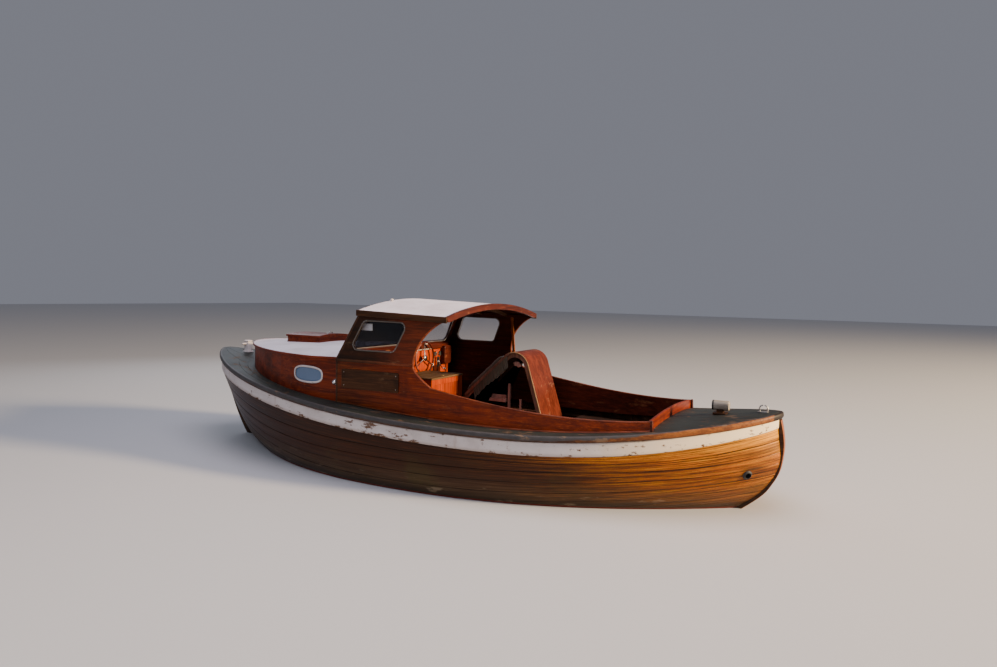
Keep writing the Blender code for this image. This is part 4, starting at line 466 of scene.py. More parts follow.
def clothFinish(name, color, shade):
    f = Finish(name)
    warp = f.noise(1.0, 1.0, 0.5, f.stretched((900.0, 60.0, 900.0)))
    weft = f.noise(1.0, 1.0, 0.5, f.stretched((60.0, 900.0, 60.0)))
    dirt = f.noise(7.0, 6.0, 0.65)
    tint = f.mix(f.band(dirt, 0.4, 0.7), color, shade)
    tint = f.mix((warp + weft) * 0.35, tint, tuple(c * 1.6 for c in color))
    return f.done(tint, 0.85 + dirt * 0.1, f.bump(warp + weft + dirt, 0.0008, 0.6), Sheen_Weight=0.3)


windowGlass = paneFinish("windowGlass", (0.88, 0.89, 0.93))
screenGlass = paneFinish("screenGlass", (0.80, 0.80, 0.86))
# near-black glass for the port windscreen pane: painted shade
shadedPortPane = paneFinish("shadedPortPane", (0.035, 0.037, 0.042))
# blue cabin light glass: painted reflection of the sky
paintedSkyGlass = paneFinish("cabinLightPaintedSky", (0.30, 0.42, 0.62), 0.55)
padCloth = clothFinish("padCloth", (0.062, 0.046, 0.024), (0.022, 0.016, 0.009))
rimDull = plainMetal("rimDull", (0.15, 0.130, 0.110), 0.46, 0.6, pit=(0.04, 0.03, 0.025))
rubber = plainMetal("rubber", (0.018, 0.018, 0.019), 0.6, 0.0, pit=(0.06, 0.055, 0.05))
print("materials made")


# mesh helpers: a shape gathers closed parts, and make() turns it into a piece
class Shape:
    def __init__(self):
        self.verts, self.faces, self.looks, self.uvs = [], [], [], []

    def add(self, verts, faces, look=0, uv=None):
        base = len(self.verts)
        self.verts += [tuple(float(c) for c in v) for v in verts]
        self.uvs += [tuple(c) for c in uv] if uv is not None else [(0.0, 0.0)] * len(verts)
        self.faces += [tuple(base + i for i in f) for f in faces]
        self.looks += [look] * len(faces)
        return self

    def loft(self, loops, look=0, round=False, uv=None):
        count, last = len(loops[0]), len(loops) - 1
        faces = []
        for k in range(len(loops) if round else last):
            n = (k + 1) % len(loops)
            for i in range(count):
                j = (i + 1) % count
                faces.append((k * count + i, k * count + j, n * count + j, n * count + i))
        if not round:
            faces += [tuple(range(count)), tuple(last * count + i for i in range(count))]
        return self.add([p for loop in loops for p in loop], faces, look, uv)

    def shell(self, outer, inner, look=0, uv=None):
        rows, cols = len(outer), len(outer[0])
        base, faces = rows * cols, []
        for i in range(rows - 1):
            for j in range(cols - 1):
                quad = (i * cols + j, i * cols + j + 1, (i + 1) * cols + j + 1, (i + 1) * cols + j)
                faces += [quad, tuple(base + q for q in reversed(quad))]
        rim = [i * cols for i in range(rows)] + [(rows - 1) * cols + j for j in range(1, cols)]
        rim += [i * cols + cols - 1 for i in range(rows - 2, -1, -1)] + [j for j in range(cols - 2, 0, -1)]
        for k, a in enumerate(rim):
            b = rim[(k + 1) % len(rim)]
            faces.append((a, b, base + b, base + a))
        verts = [p for row in outer for p in row] + [p for row in inner for p in row]
        return self.add(verts, faces, look, None if uv is None else list(uv) + list(uv))

    def plate(self, outline, axis, low, high):
        order = {"X": (1, 2, 0), "Y": (0, 2, 1), "Z": (0, 1, 2)}[axis]
        loops = []
        for w in (low, high):
            loop = []
            for p in outline:
                v = [0.0, 0.0, 0.0]
                v[order[0]], v[order[1]], v[order[2]] = p[0], p[1], w
                loop.append(v)
            loops.append(loop)
        return self.loft(loops)

    def box(self, low, high):
        return self.plate(rect(low[0], high[0], low[1], high[1]), "Z", low[2], high[2])

    def lathe(self, at, aim, profile, sides=24, look=0):
        # profile holds (distance along the aim, radius)
        turn = Vector(aim).to_track_quat("Z", "Y").to_matrix()
        loops = [[Vector(at) + turn @ Vector((a, b, along)) for a, b in ringOf(radius, sides)]
            for along, radius in profile]
        return self.loft(loops, look)

    def rod(self, start, end, radius, sides=14, ease=0.0):
        start, end = Vector(start), Vector(end)
        length = (end - start).length
        profile = [(0.0, radius - ease), (ease, radius), (length - ease, radius), (length, radius - ease)]
        return self.lathe(start, end - start, profile if ease else [(0.0, radius), (length, radius)], sides)

    def sweep(self, path, section, up=(0, 0, 1), round=False, look=0):
        # section points are (across, up); up is one vector or one for each point of the path
        loops, count = [], len(path)
        path = [Vector(p) for p in path]
        for i, p in enumerate(path):
            if round:
                aim = path[(i + 1) % count] - path[i - 1]
            else:
                aim = path[min(i + 1, count - 1)] - path[max(i - 1, 0)]
            aim = aim.normalized()
            top = Vector(up[i] if isinstance(up, list) else up)
            across = aim.cross(top).normalized()
            top = across.cross(aim).normalized()
            loops.append([p + across * a + top * b for a, b in section])
        return self.loft(loops, look, round)

    def tube(self, path, radius, sides=10, round=False, up=(0, 0, 1)):
        return self.sweep(path, ringOf(radius, sides), up, round)


def ringOf(radius, sides):
    turns = [2 * math.pi * k / sides for k in range(sides)]
    return [(radius * math.cos(a), radius * math.sin(a)) for a in turns]


def rect(x0, x1, z0, z1):
    return [(x0, z0), (x1, z0), (x1, z1), (x0, z1)]


def halfRound(width, proud, steps=6):
    # moulding section: flat at the back, round in front; across is the width
    arc = [math.pi * k / steps for k in range(steps + 1)]
    return [(0.5 * width * math.cos(a), proud * math.sin(a)) for a in arc]


def holed(shape, outline, holes, near, far, place):
    # flat board with openings; place() sets (across, along, depth) in space
    loops = [outline] + holes
    flat = bmesh.new()
    for loop in loops:
        ring = [flat.verts.new((p[0], p[1], 0.0)) for p in loop]
        for k, v in enumerate(ring):
            flat.edges.new((v, ring[(k + 1) % len(ring)]))
    bmesh.ops.triangle_fill(flat, edges=flat.edges[:], use_beauty=True)
    flat.verts.index_update()
    cells = [[v.index for v in f.verts] for f in flat.faces]
    flat.free()
    points = [p for loop in loops for p in loop]
    base = len(points)
    verts = [place(p[0], p[1], near) for p in points] + [place(p[0], p[1], far) for p in points]
    faces = cells + [[base + i for i in reversed(cell)] for cell in cells]
    start = 0
    for loop in loops:
        for k in range(len(loop)):
            a, b = start + k, start + (k + 1) % len(loop)
            faces.append((a, b, base + b, base + a))
        start += len(loop)
    return shape.add(verts, faces)


def shown(name, data):
    obj = bpy.data.objects.new(name, data)
    bpy.context.scene.collection.objects.link(obj)
    return obj


def make(name, shape, finish, body="boat", gone=(), smooth=35.0, bevel=0.0, steps=2, uv=None):
    mesh = bpy.data.meshes.new(name)
    mesh.from_pydata(shape.verts, [], shape.faces)
    finish = finish if isinstance(finish, list) else [finish]
    for mat in finish:
        mesh.materials.append(mat)
    mesh.polygons.foreach_set("material_index", shape.looks)
    if uv:
        layer = mesh.uv_layers.new(name=uv)
        corners = np.zeros(len(mesh.loops), dtype=int)
        mesh.loops.foreach_get("vertex_index", corners)
        layer.data.foreach_set("uv", np.array(shape.uvs)[corners].ravel())
    bm = bmesh.new()
    bm.from_mesh(mesh)
    bmesh.ops.recalc_face_normals(bm, faces=bm.faces[:])
    bm.to_mesh(mesh)
    bm.free()
    mesh.shade_smooth()
    mesh.set_sharp_from_angle(angle=math.radians(smooth))
    obj = shown(name, mesh)
    if bevel:
        edge = obj.modifiers.new("edges", "BEVEL")
        edge.width, edge.segments = bevel, steps
        edge.limit_method, edge.angle_limit = "ANGLE", math.radians(30)
        edge.harden_normals = True
    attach(obj, body)
    if gone:
        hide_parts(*gone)
    return obj


def applied(obj):
    # the mesh that the modifiers leave takes the place of the piece's own
    seen = bpy.context.evaluated_depsgraph_get()
    mesh = bpy.data.meshes.new_from_object(obj.evaluated_get(seen))
    obj.modifiers.clear()
    obj.data = mesh
    return mesh


def cut(obj, shape):
    tool = make("tool", shape, obj.data.materials[0])
    hole = obj.modifiers.new("hole", "BOOLEAN")
    hole.operation, hole.object, hole.solver = "DIFFERENCE", tool, "EXACT"
    applied(obj)
    bpy.data.objects.remove(tool, do_unlink=True)


def recolour(name, finish):
    # a solid that is shown as it is
    cad[name].data.materials.clear()
    cad[name].data.materials.append(finish)


def lined(obj, finish, aim):
    # the faces that look along aim get their own finish
    obj.data.materials.append(finish)
    last = len(obj.data.materials) - 1
    for face in obj.data.polygons:
        if face.normal.dot(Vector(aim)) > 0.35:
            face.material_index = last


def roundedBox(x0, x1, z0, z1, radius, steps=5):
    points = []
    for cx, cz, start in ((x1 - radius, z1 - radius, 0), (x0 + radius, z1 - radius, 90),
            (x0 + radius, z0 + radius, 180), (x1 - radius, z0 + radius, 270)):
        for k in range(steps + 1):
            a = math.radians(start + 90.0 * k / steps)
            points.append((cx + radius * math.cos(a), cz + radius * math.sin(a)))
    return points


def roundCorners(points, radius, steps=6):
    # polygon with each corner turned into an arc
    result, count = [], len(points)
    for i in range(count):
        p = Vector(points[i])
        a = (Vector(points[i - 1]) - p).normalized()
        b = (Vector(points[(i + 1) % count]) - p).normalized()
        angle = a.angle(b)
        start = a * (radius / math.tan(angle / 2)) - (a + b).normalized() * (radius / math.sin(angle / 2))
        centre = p + (a + b).normalized() * (radius / math.sin(angle / 2))
        turn = -1.0 if a.cross(b) > 0 else 1.0
        for k in range(steps + 1):
            result.append(tuple(centre + Matrix.Rotation(turn * (math.pi - angle) * k / steps, 2) @ start))
    return result


# Geometry Nodes: small trees for what repeats
class Tree:
    def __init__(self, name, sizes):
        self.group = bpy.data.node_groups.new(name, "GeometryNodeTree")
        face = self.group.interface
        face.new_socket("Geometry", in_out="OUTPUT", socket_type="NodeSocketGeometry")
        face.new_socket("Geometry", in_out="INPUT", socket_type="NodeSocketGeometry")
        for key, value in sizes.items():
            kind = "NodeSocketInt" if isinstance(value, int) else "NodeSocketFloat"
            face.new_socket(key, in_out="INPUT", socket_type=kind).default_value = value
        face.new_socket("Finish", in_out="INPUT", socket_type="NodeSocketMaterial")
        self.input = self.group.nodes.new("NodeGroupInput")
        self.output = self.group.nodes.new("NodeGroupOutput")

    def add(self, kind, settings=None, values=None, out=0):
        made = self.group.nodes.new(kind)
        for key, value in (settings or {}).items():
            setattr(made, key, value)
        for key, value in (values or {}).items():
            if hasattr(value, "is_output"):
                self.group.links.new(value, made.inputs[key])
            else:
                made.inputs[key].default_value = value
        return made.outputs[out]

    def size(self, key):
        return self.input.outputs[key]

    def close(self, geometry):
        real = self.add("GeometryNodeRealizeInstances", None, {0: geometry})
        done = self.add("GeometryNodeSetMaterial", None, {0: real, "Material": self.size("Finish")})
        self.group.links.new(done, self.output.inputs[0])
        return self.group


def grow(name, tree, verts, edges, finish, body="boat", gone=(), sizes=None, aims=None, smooth=40.0):
    # runs a tree over points or lines and keeps the result as a plain mesh
    mesh = bpy.data.meshes.new(name + "Base")
    mesh.from_pydata([tuple(v) for v in verts], edges, [])
    if aims is not None:
        store = mesh.attributes.new("aim", "FLOAT_VECTOR", "POINT")
        store.data.foreach_set("vector", np.array([tuple(a) for a in aims], dtype=float).ravel())
    base = shown(name + "Base", mesh)
    mod = base.modifiers.new("grow", "NODES")
    mod.node_group = tree
    names = {item.name: item.identifier for item in tree.interface.items_tree if item.in_out == "INPUT"}
    for key, value in (sizes or {}).items():
        mod[names[key]] = value
    mod[names["Finish"]] = finish
    base.update_tag()
    seen = bpy.context.evaluated_depsgraph_get()
    seen.update()
    plain = bpy.data.meshes.new_from_object(base.evaluated_get(seen))
    bpy.data.objects.remove(base, do_unlink=True)
    plain.name = name
    plain.shade_smooth()
    plain.set_sharp_from_angle(angle=math.radians(smooth))
    obj = shown(name, plain)
    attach(obj, body)
    if gone:
        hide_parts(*gone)
    return obj


# a screw head or wooden plug on each point, square to the surface there
screwTree = Tree("screws", {"Radius": 0.004, "Height": 0.0012, "Sides": 10})
aim = screwTree.add("GeometryNodeInputNamedAttribute", {"data_type": "FLOAT_VECTOR"}, {"Name": "aim"})
turned = screwTree.add("FunctionNodeAlignRotationToVector", {"axis": "Z"}, {"Vector": aim})
head = screwTree.add("GeometryNodeMeshCylinder", None, {"Vertices": screwTree.size("Sides"),
    "Radius": screwTree.size("Radius"), "Depth": screwTree.size("Height")})
placed = screwTree.add("GeometryNodeInstanceOnPoints", None, {"Points": screwTree.input.outputs["Geometry"],
    "Instance": head, "Rotation": turned})
screws = screwTree.close(placed)

# a bent rib or round bead along each line
beadTree = Tree("beads", {"Radius": 0.005, "Sides": 10, "Spacing": 0.02})
line = beadTree.add("GeometryNodeMeshToCurve", None, {0: beadTree.input.outputs["Geometry"]})
even = beadTree.add("GeometryNodeResampleCurve", {"mode": "LENGTH"},
    {"Curve": line, "Length": beadTree.size("Spacing")})
section = beadTree.add("GeometryNodeCurvePrimitiveCircle", {"mode": "RADIUS"},
    {"Resolution": beadTree.size("Sides"), "Radius": beadTree.size("Radius")})
beadMesh = beadTree.add("GeometryNodeCurveToMesh", None, {"Curve": even, "Profile Curve": section,
    "Fill Caps": True})
beads = beadTree.close(beadMesh)

# slats laid side by side from each point, lengthwise along X
slatTree = Tree("slats", {"Length": 1.0, "Width": 0.07, "Thickness": 0.012, "Room": 0.006, "Count": 4})
cell = slatTree.add("GeometryNodeMeshCube")
cell.node.inputs["Size"].default_value = (1, 1, 1)
slatSize = slatTree.add("ShaderNodeCombineXYZ", None, {0: slatTree.size("Length"), 1: slatTree.size("Width"),
    2: slatTree.size("Thickness")})
step = slatTree.add("ShaderNodeMath", {"operation": "ADD"}, {0: slatTree.size("Width"),
    1: slatTree.size("Room")})
offset = slatTree.add("ShaderNodeCombineXYZ", None, {1: step})
row = slatTree.add("GeometryNodeMeshLine", {"mode": "OFFSET"}, {"Count": slatTree.size("Count"),
    "Offset": offset})
lot = slatTree.add("GeometryNodeInstanceOnPoints", None, {"Points": row, "Instance": cell,
    "Scale": slatSize})
sets = slatTree.add("GeometryNodeInstanceOnPoints", None, {"Points": slatTree.input.outputs["Geometry"],
    "Instance": lot})
slats = slatTree.close(sets)
print("trees ready")

# hull lines, the same as the solids'
hull = {
    "bow": 3.345, "stern": -3.300, "half": 1.201, "fullness": 2.114, "endAft": 0.622, "endFore": 0.750,
    "lowX": -1.190, "lowZ": 0.631, "sternZ": 0.860, "bowZ": 1.060, "rail": 0.056, "band": 0.118,
    "plank": 0.022, "post": 0.0453, "deck": 0.0297, "crown": 0.045,
}
sternNose = [(-1.700, -0.350), (-2.100, -0.305), (-2.400, -0.250), (-2.700, -0.170), (-2.900, -0.090),
    (-3.046, 0.016), (-3.192, 0.144), (-3.268, 0.254), (-3.312, 0.345), (-3.335, 0.448), (-3.345, 0.577),
    (-3.333, 0.700), (-3.312, 0.803)]
stemNose = [(2.300, -0.360), (2.550, -0.290), (2.780, -0.150), (2.930, 0.020), (3.060, 0.220),
    (3.160, 0.420), (3.240, 0.620), (3.295, 0.820), (3.325, 1.003)]
hullLines = [
    # in from the sheer, height amidships, at the stern, at the bow, fullness, end shape aft, fore
    (1.156, -0.400, -0.350, -0.360, 2.00, 1.00, 1.00),
    (0.781, -0.350, -0.285, -0.270, 1.80, 1.25, 1.35),
    (0.421, -0.255, -0.190, -0.150, 1.90, 1.15, 1.30),
    (0.191, -0.130, -0.090, -0.020, 2.05, 1.05, 1.20),
    (0.061, 0.010, 0.020, 0.130, 2.20, 1.00, 1.10),
    (0.025, 0.165, 0.190, 0.320, 2.20, 0.88, 1.00),
    (0.009, 0.320, 0.430, 0.580, 2.15, 0.74, 0.90),
]


def fair(xs, ys, x):
    # smooth curve through the points (xs, ys), read at each x
    xs, ys, x = np.asarray(xs, float), np.asarray(ys, float), np.atleast_1d(np.asarray(x, float))
    slopes = np.gradient(ys, xs, axis=0)
    i = np.clip(np.searchsorted(xs, x) - 1, 0, len(xs) - 2)
    h = xs[i + 1] - xs[i]
    t = (x - xs[i]) / h
    if ys.ndim > 1:
        h, t = h[:, None], t[:, None]
    return ((1 + 2 * t) * (1 - t) ** 2 * ys[i] + t * (1 - t) ** 2 * h * slopes[i]
        + t * t * (3 - 2 * t) * ys[i + 1] + t * t * (t - 1) * h * slopes[i + 1])


def sheerZ(x):
    end, top = ("stern", "sternZ") if x < hull["lowX"] else ("bow", "bowZ")
    k = (hull[top] - hull["lowZ"]) / (hull[end] - hull["lowX"]) ** 2
    return hull["lowZ"] + k * (x - hull["lowX"]) ** 2


def bandHeight(x):
    return hull["band"] * (1.0 - 0.38 * max(0.0, (x / hull["stern"] - 0.6) / 0.4) ** 2)


def rowPoint(row, s, inset):
    # one point of a hull line; s runs from -1 at the sternpost to 1 at the stem
    aft = s < 0
    if row < len(hullLines):
        inside, zMid, zAft, zFore, full, bluntAft, bluntFore = hullLines[row]
        half, zEnd, blunt = hull["half"] - inside, zAft if aft else zFore, bluntAft if aft else bluntFore
        nose = sternNose if aft else stemNose
        end = abs(float(fair([p[1] for p in nose], [p[0] for p in nose], zEnd)[0]))
    else:
        half, full = hull["half"], hull["fullness"]
        blunt, end = (hull["endAft"], -hull["stern"]) if aft else (hull["endFore"], hull["bow"] - 0.030)
    lines = [(hull["half"] - line[0], line[1]) for line in hullLines]
    lines.append((hull["half"], hull["lowZ"] - hull["rail"] - hull["band"] + 0.030))
    low, high = lines[min(max(row - 1, 0), 7)], lines[min(row + 1, 7)]
    run, rise = high[0] - low[0], high[1] - low[1]
    length, ease = math.hypot(run, rise), math.sin(abs(s) * math.pi / 2)
    if row == 0:
        end, u, y, zIn = end - 0.012, ease, hull["post"], inset
    else:
        if row >= len(hullLines):
            run, rise, length = 0.0, 1.0, 1.0
        half -= inset * rise / length
        end -= inset * (1.0 + 0.5 * (blunt > 0.85))
        u = ease * (1.0 - (hull["post"] / half) ** (1.0 / blunt)) ** (1.0 / full)
        y = hull["post"] if abs(s) > 0.9999 else half * max(0.0, 1.0 - u ** full) ** blunt
        zIn = inset * run / length
    x = u * end * (-1.0 if aft else 1.0)
    if row < len(hullLines):
        return x, y, zMid + (zEnd - zMid) * u ** 2.4 + zIn
    drop = [hull["rail"] + bandHeight(x), hull["rail"], hull["deck"] + gap][row - len(hullLines)]
    return x, y, sheerZ(x) - drop


hullColumns = {}


def hullAt(s, rows, inset=0.0):
    # points up the section at s; rows count the hull lines, 0 to 7 planking and 7 to 9 the strake
    key = (round(s, 6), round(inset, 6))
    if key not in hullColumns:
        hullColumns[key] = np.array([rowPoint(r, s, inset) for r in range(10)])
    column, rows = hullColumns[key], np.atleast_1d(np.asarray(rows, float))
    smooth = fair(range(8), column[:8], np.minimum(rows, 7.0))
    k = np.clip(rows.astype(int), 0, 8)
    straight = column[k] + (column[k + 1] - column[k]) * (rows - k)[:, None]
    return np.where((rows <= 7.0)[:, None], smooth, straight)


stations = [2.0 * i / 168 - 1.0 for i in range(169)]


def swollen(grid, lift):
    # moves a grid of the port side outwards by lift, square to the surface
    grid = np.array(grid)
    across = np.cross(np.gradient(grid, axis=0), np.gradient(grid, axis=1))
    size = np.linalg.norm(across, axis=2, keepdims=True)
    out = across / np.maximum(size, 1e-9)
    out *= np.sign(np.sum(out[:, :, 1]))
    return grid + out * np.asarray(lift)


# planking: plank edges spaced evenly amidships and along the posts
planks = {"count": 17, "groove": 0.0032, "lip": 0.0028, "aftStep": 0.097, "foreStep": 0.104, "aboveWater": 9}


plankMarks = {}


def plankEdges(s):
    mid, end = plankMarks["mid"], plankMarks["fore" if s > 0 else "aft"]
    return mid + (end - mid) * math.sin(abs(s) * math.pi / 2) ** 2.2


def edgesFor(s, widths):
    fine = np.linspace(0.0, 7.0, 400)
    line = hullAt(s, fine)
    walked = np.concatenate([[0.0], np.cumsum(np.linalg.norm(np.diff(line, axis=0), axis=1))])
    marks = walked[-1] * np.concatenate([[0.0], np.cumsum(widths)]) / sum(widths)
    return np.interp(marks, walked, fine)


plankMarks["mid"] = edgesFor(0.0, [1.0] * planks["count"])
for end, s in (("aft", -0.9995), ("fore", 0.9995)):
    step, low = planks[end + "Step"], planks["count"] - planks["aboveWater"]
    line = hullAt(s, np.linspace(0.0, 7.0, 200))
    whole = float(np.sum(np.linalg.norm(np.diff(line, axis=0), axis=1)))
    rest = (whole - planks["aboveWater"] * step) / low
    plankMarks[end] = edgesFor(s, [rest] * low + [step] * planks["aboveWater"])

shares = (0.0, 0.026, 0.075, 0.3, 0.5, 0.7, 0.925, 0.974)
plankChance = random.Random(21)
proud = [plankChance.uniform(-0.0006, 0.0006) for _ in range(planks["count"])]
rowShare, rowLift, rowV = [], [], []
for k in range(planks["count"]):
    for share in shares:
        rowShare.append((k, share))
        rowV.append(k + share)
        near = min(share, 1.0 - share)
        rowLift.append(-planks["groove"] if near == 0 else proud[k]
            + 0.0012 * (0.5 - abs(share - 0.5)) - (planks["lip"] * 0.25 if near < 0.03 else 0.0))
rowShare.append((planks["count"] - 1, 1.0))
rowV.append(planks["count"] - 0.001)
rowLift.append(-0.001)
outer, inner = [], []
for s in stations:
    edges = plankEdges(s)
    rows = [edges[k] + (edges[k + 1] - edges[k]) * share for k, share in rowShare]
    column = hullAt(s, rows)
    column[-1, 2] -= gap
    outer.append(column)
    inner.append(hullAt(s, rows, hull["plank"]))
outer = np.array(outer)
skin = swollen(outer, np.array(rowLift)[None, :, None])
skin[0], skin[-1] = outer[0], outer[-1]
along = np.linalg.norm(np.diff(outer, axis=0), axis=2)
along = np.concatenate([np.zeros((1, along.shape[1])), np.cumsum(along, axis=0)])
plankUv = [(along[i, j], rowV[j]) for i in range(len(stations)) for j in range(len(rowV))]

# the outlet's place on the hull, as a station and a row of hull lines
exhaust = {"s": -0.775, "row": 5.75, "hole": 0.0305}
exhaustAt = Vector(hullAt(exhaust["s"], exhaust["row"])[0])
exhaustAlong = Vector(hullAt(exhaust["s"] + 0.020, exhaust["row"])[0]) - exhaustAt
exhaustUp = Vector(hullAt(exhaust["s"], exhaust["row"] + 0.20)[0]) - exhaustAt
exhaustOut = exhaustUp.cross(exhaustAlong).normalized()
exhaustOut = exhaustOut if exhaustOut.y > 0 else -exhaustOut
for tag, side in sides:
    flip = np.array([1.0, side, 1.0])
    boards = Shape().shell(skin * flip, np.array(inner) * flip, uv=plankUv)
    planking = make("planks_" + tag, boards, woods["planks"], gone=["planking_" + tag],
        smooth=50, uv="planks")
    if side > 0:
        cut(planking, Shape().rod(exhaustAt - exhaustOut * 0.1, exhaustAt + exhaustOut * 0.1,
            exhaust["hole"], 24))
    lined(planking, woods["interiorWood"], (0, -side, 0))
print("planks laid")

# painted strake, a little proud of the planks, and the rail over it
strakeRows = [7.0, 7.012, 7.03, 7.07, 7.3, 7.6, 7.88, 7.965, 8.0, 8.5, 9.0]
strakeLift = [0.0, 0.0022, 0.0034, 0.0040, 0.0043, 0.0043, 0.0040, 0.0036, 0.0, 0.0, 0.0]
bandOuter = np.array([hullAt(s, strakeRows) for s in stations])
bandSkin = swollen(bandOuter, np.array(strakeLift)[None, :, None])
bandSkin[0, :, 1] = bandSkin[-1, :, 1] = hull["post"]
bandInner = np.array([hullAt(s, strakeRows, hull["plank"]) for s in stations])
sheerLine = np.array([hullAt(s, 9.0)[0] for s in stations])


def planOffset(points, distance):
    # moves a plan line of the port side outwards, square to itself
    points = np.array(points)[:, :2]
    aim = np.gradient(points, axis=0)
    aim /= np.linalg.norm(aim, axis=1, keepdims=True)
    return np.stack([points[:, 0] - aim[:, 1] * distance, points[:, 1] + aim[:, 0] * distance], axis=1)


railSection = [(gap, -0.056), (0.012, -0.056), (0.0195, -0.0535), (0.0250, -0.047), (0.0278, -0.038),
    (0.0283, -0.028), (0.0278, -0.018), (0.0250, -0.009), (0.0195, -0.0025), (0.012, 0.0), (gap, 0.0)]
railSteps = np.linalg.norm(np.diff(np.array(railSection), axis=0), axis=1)
railOver = np.concatenate([[0.0], np.cumsum(railSteps) / railSteps.sum()])
for tag, side in sides:
    flip = np.array([1.0, side, 1.0])
    strakeUv = [(p[0], row - 7.0) for line in bandSkin for p, row in zip(line, strakeRows)]
    band = make("paintedStrake_" + tag, Shape().shell(bandSkin * flip, bandInner * flip, uv=strakeUv),
        woods["strake"], gone=["sheer_strake_" + tag], smooth=40, uv="strake")
    lined(band, woods["interiorWood"], (0, -side, 0))
    rail, lines = Shape(), []
    for away, dz in railSection:
        plan = planOffset(sheerLine, away)
        plan = np.vstack([[plan[0, 0] - 0.008 * away / 0.0283, 0.0002], plan,
            [plan[-1, 0] + 0.007 * away / 0.0283, 0.0002]])
        lines.append([(x, side * y, sheerZ(min(max(x, -3.34), 3.345)) + dz) for x, y in plan])
    railUv = [(lines[0][i][0], over) for i in range(len(lines[0])) for over in railOver]
    rail.loft([[line[i] for line in lines] for i in range(len(lines[0]))], uv=railUv)
    make("rail_" + tag, rail, woods["rail"], gone=["rub_rail_" + tag], smooth=42, uv="rail")
print("strakes and rails set")

# backbone: posts with eased edges; the keel's solid is shown as it is
backbone = {"half": 0.045, "depth": 0.130, "sternHead": sheerZ(float(sheerLine[0][0]) + 0.010) - 0.0563,
    "stemHead": sheerZ(float(sheerLine[-1][0]) - 0.010) - 0.0563, "ease": 0.007}


def postOutline(nose, head, steps):
    line = [p for p in nose if p[1] < head - 0.040] + [(nose[-1][0], head)]
    places = np.linspace(0, 1, steps)
    knots = [i / (len(line) - 1) for i in range(len(line))]
    curve = np.stack([fair(knots, [p[0] for p in line], places), fair(knots, [p[1] for p in line], places)],
        axis=1)
    aim = np.gradient(curve, axis=0)
    aim /= np.linalg.norm(aim, axis=1, keepdims=True)
    turn = 1.0 if nose[0][0] < 0 else -1.0
    back = curve + turn * backbone["depth"] * np.stack([aim[:, 1], -aim[:, 0]], axis=1)
    back[0] = curve[0] + (0.0, backbone["depth"])
    back[-1] = (back[-1][0], curve[-1][1])
    return curve, back


sternCurve, sternBack = postOutline(sternNose, backbone["sternHead"], 49)
stemCurve, stemBack = postOutline(stemNose, backbone["stemHead"], 37)
for name, curve, back, nose in (("sternpost", sternCurve, sternBack, sternNose),
        ("stem", stemCurve, stemBack, stemNose)):
    post = Shape().plate([tuple(p) for p in curve] + [tuple(p) for p in back[::-1]], "Y", -backbone["half"],
        backbone["half"])
    timber = make(name + "Timber", post, woods["backboneWood"], gone=[name],
        bevel=backbone["ease"], steps=3)
    lined(timber, woods["mastWood"], (math.copysign(1.0, nose[0][0]), 0, 0))
recolour("keel", woods["backboneWood"])


# decks: boards sprung round the edge, with payed seams between them
sheerTop = [sheerZ(v) for v in sheerLine[:, 0]]


def deckEdge(x):
    return float(np.interp(x, sheerLine[:, 0], sheerLine[:, 1]))


def deckHeights(x, ys):
    edge = max(deckEdge(x), 0.05)
    top = float(np.interp(x, sheerLine[:, 0], sheerTop))
    return top + hull["crown"] * min(1.0, edge / 0.9) * (1.0 - (np.asarray(ys) / edge) ** 2)


def layBoards(shape, xs, innerY, outerY, bounds, side=1, seam=0.0022, deep=0.0025):
    # bounds are shares of the width where one board meets the next
    top, under = [], []
    for x in xs:
        y0, y1 = innerY(x), outerY(x)
        wide = max(abs(y1 - y0), 1e-4)
        room = min(seam / wide, 0.2 * (bounds[1] - bounds[0]))
        shares, dips = [0.0], [0.0]
        for a, b in zip(bounds[:-1], bounds[1:]):
            if a > 0:
                shares.append(a)
                dips.append(deep)
            shares += [a + room, a + 0.5 * (b - a), b - room]
            dips += [0.0, -0.0004, 0.0]
        shares.append(1.0)
        dips.append(0.0)
        ys = side * (y0 + (y1 - y0) * np.array(shares))
        zs = deckHeights(x, ys)
        top.append([(x, y, z - d) for y, z, d in zip(ys, zs, dips)])
        under.append([(x, y, z - hull["deck"]) for y, z in zip(ys, zs)])
    return shape.shell(top, under)


coaming = {
    "startX": -0.440, "endX": -2.395, "sideY": 1.005, "endY": 0.719, "wall": 0.022, "startZ": 0.940,
        "endRise": 0.090,
    "carlin": 0.085, "cap": 0.009,
}
trunk = {"end": 2.620, "half": 1.030, "setIn": 0.020, "front": 0.644, "aftZ": 1.130, "foreZ": 1.085,
    "camber": 0.085, "thick": 0.018, "overhang": 0.012}


def coamingY(x):
    k = (coaming["sideY"] - coaming["endY"]) / (coaming["endX"] - coaming["startX"]) ** 2
    return coaming["sideY"] - k * min(x - coaming["startX"], 0.0) ** 2


def coamingTop(x):
    share = max(0.0, (x - coaming["endX"]) / (coaming["startX"] - coaming["endX"]))
    startRise = coaming["startZ"] - sheerZ(coaming["startX"])
    return sheerZ(x) + coaming["endRise"] + (startRise - coaming["endRise"]) * share ** 1.35


def trunkY(x):
    if x >= trunk["end"]:
        return 0.0002
    return max(0.0002, min(trunk["half"] * (1.0 - (x / trunk["end"]) ** 2.6) ** 0.60,
        coaming["sideY"] - trunk["setIn"]))


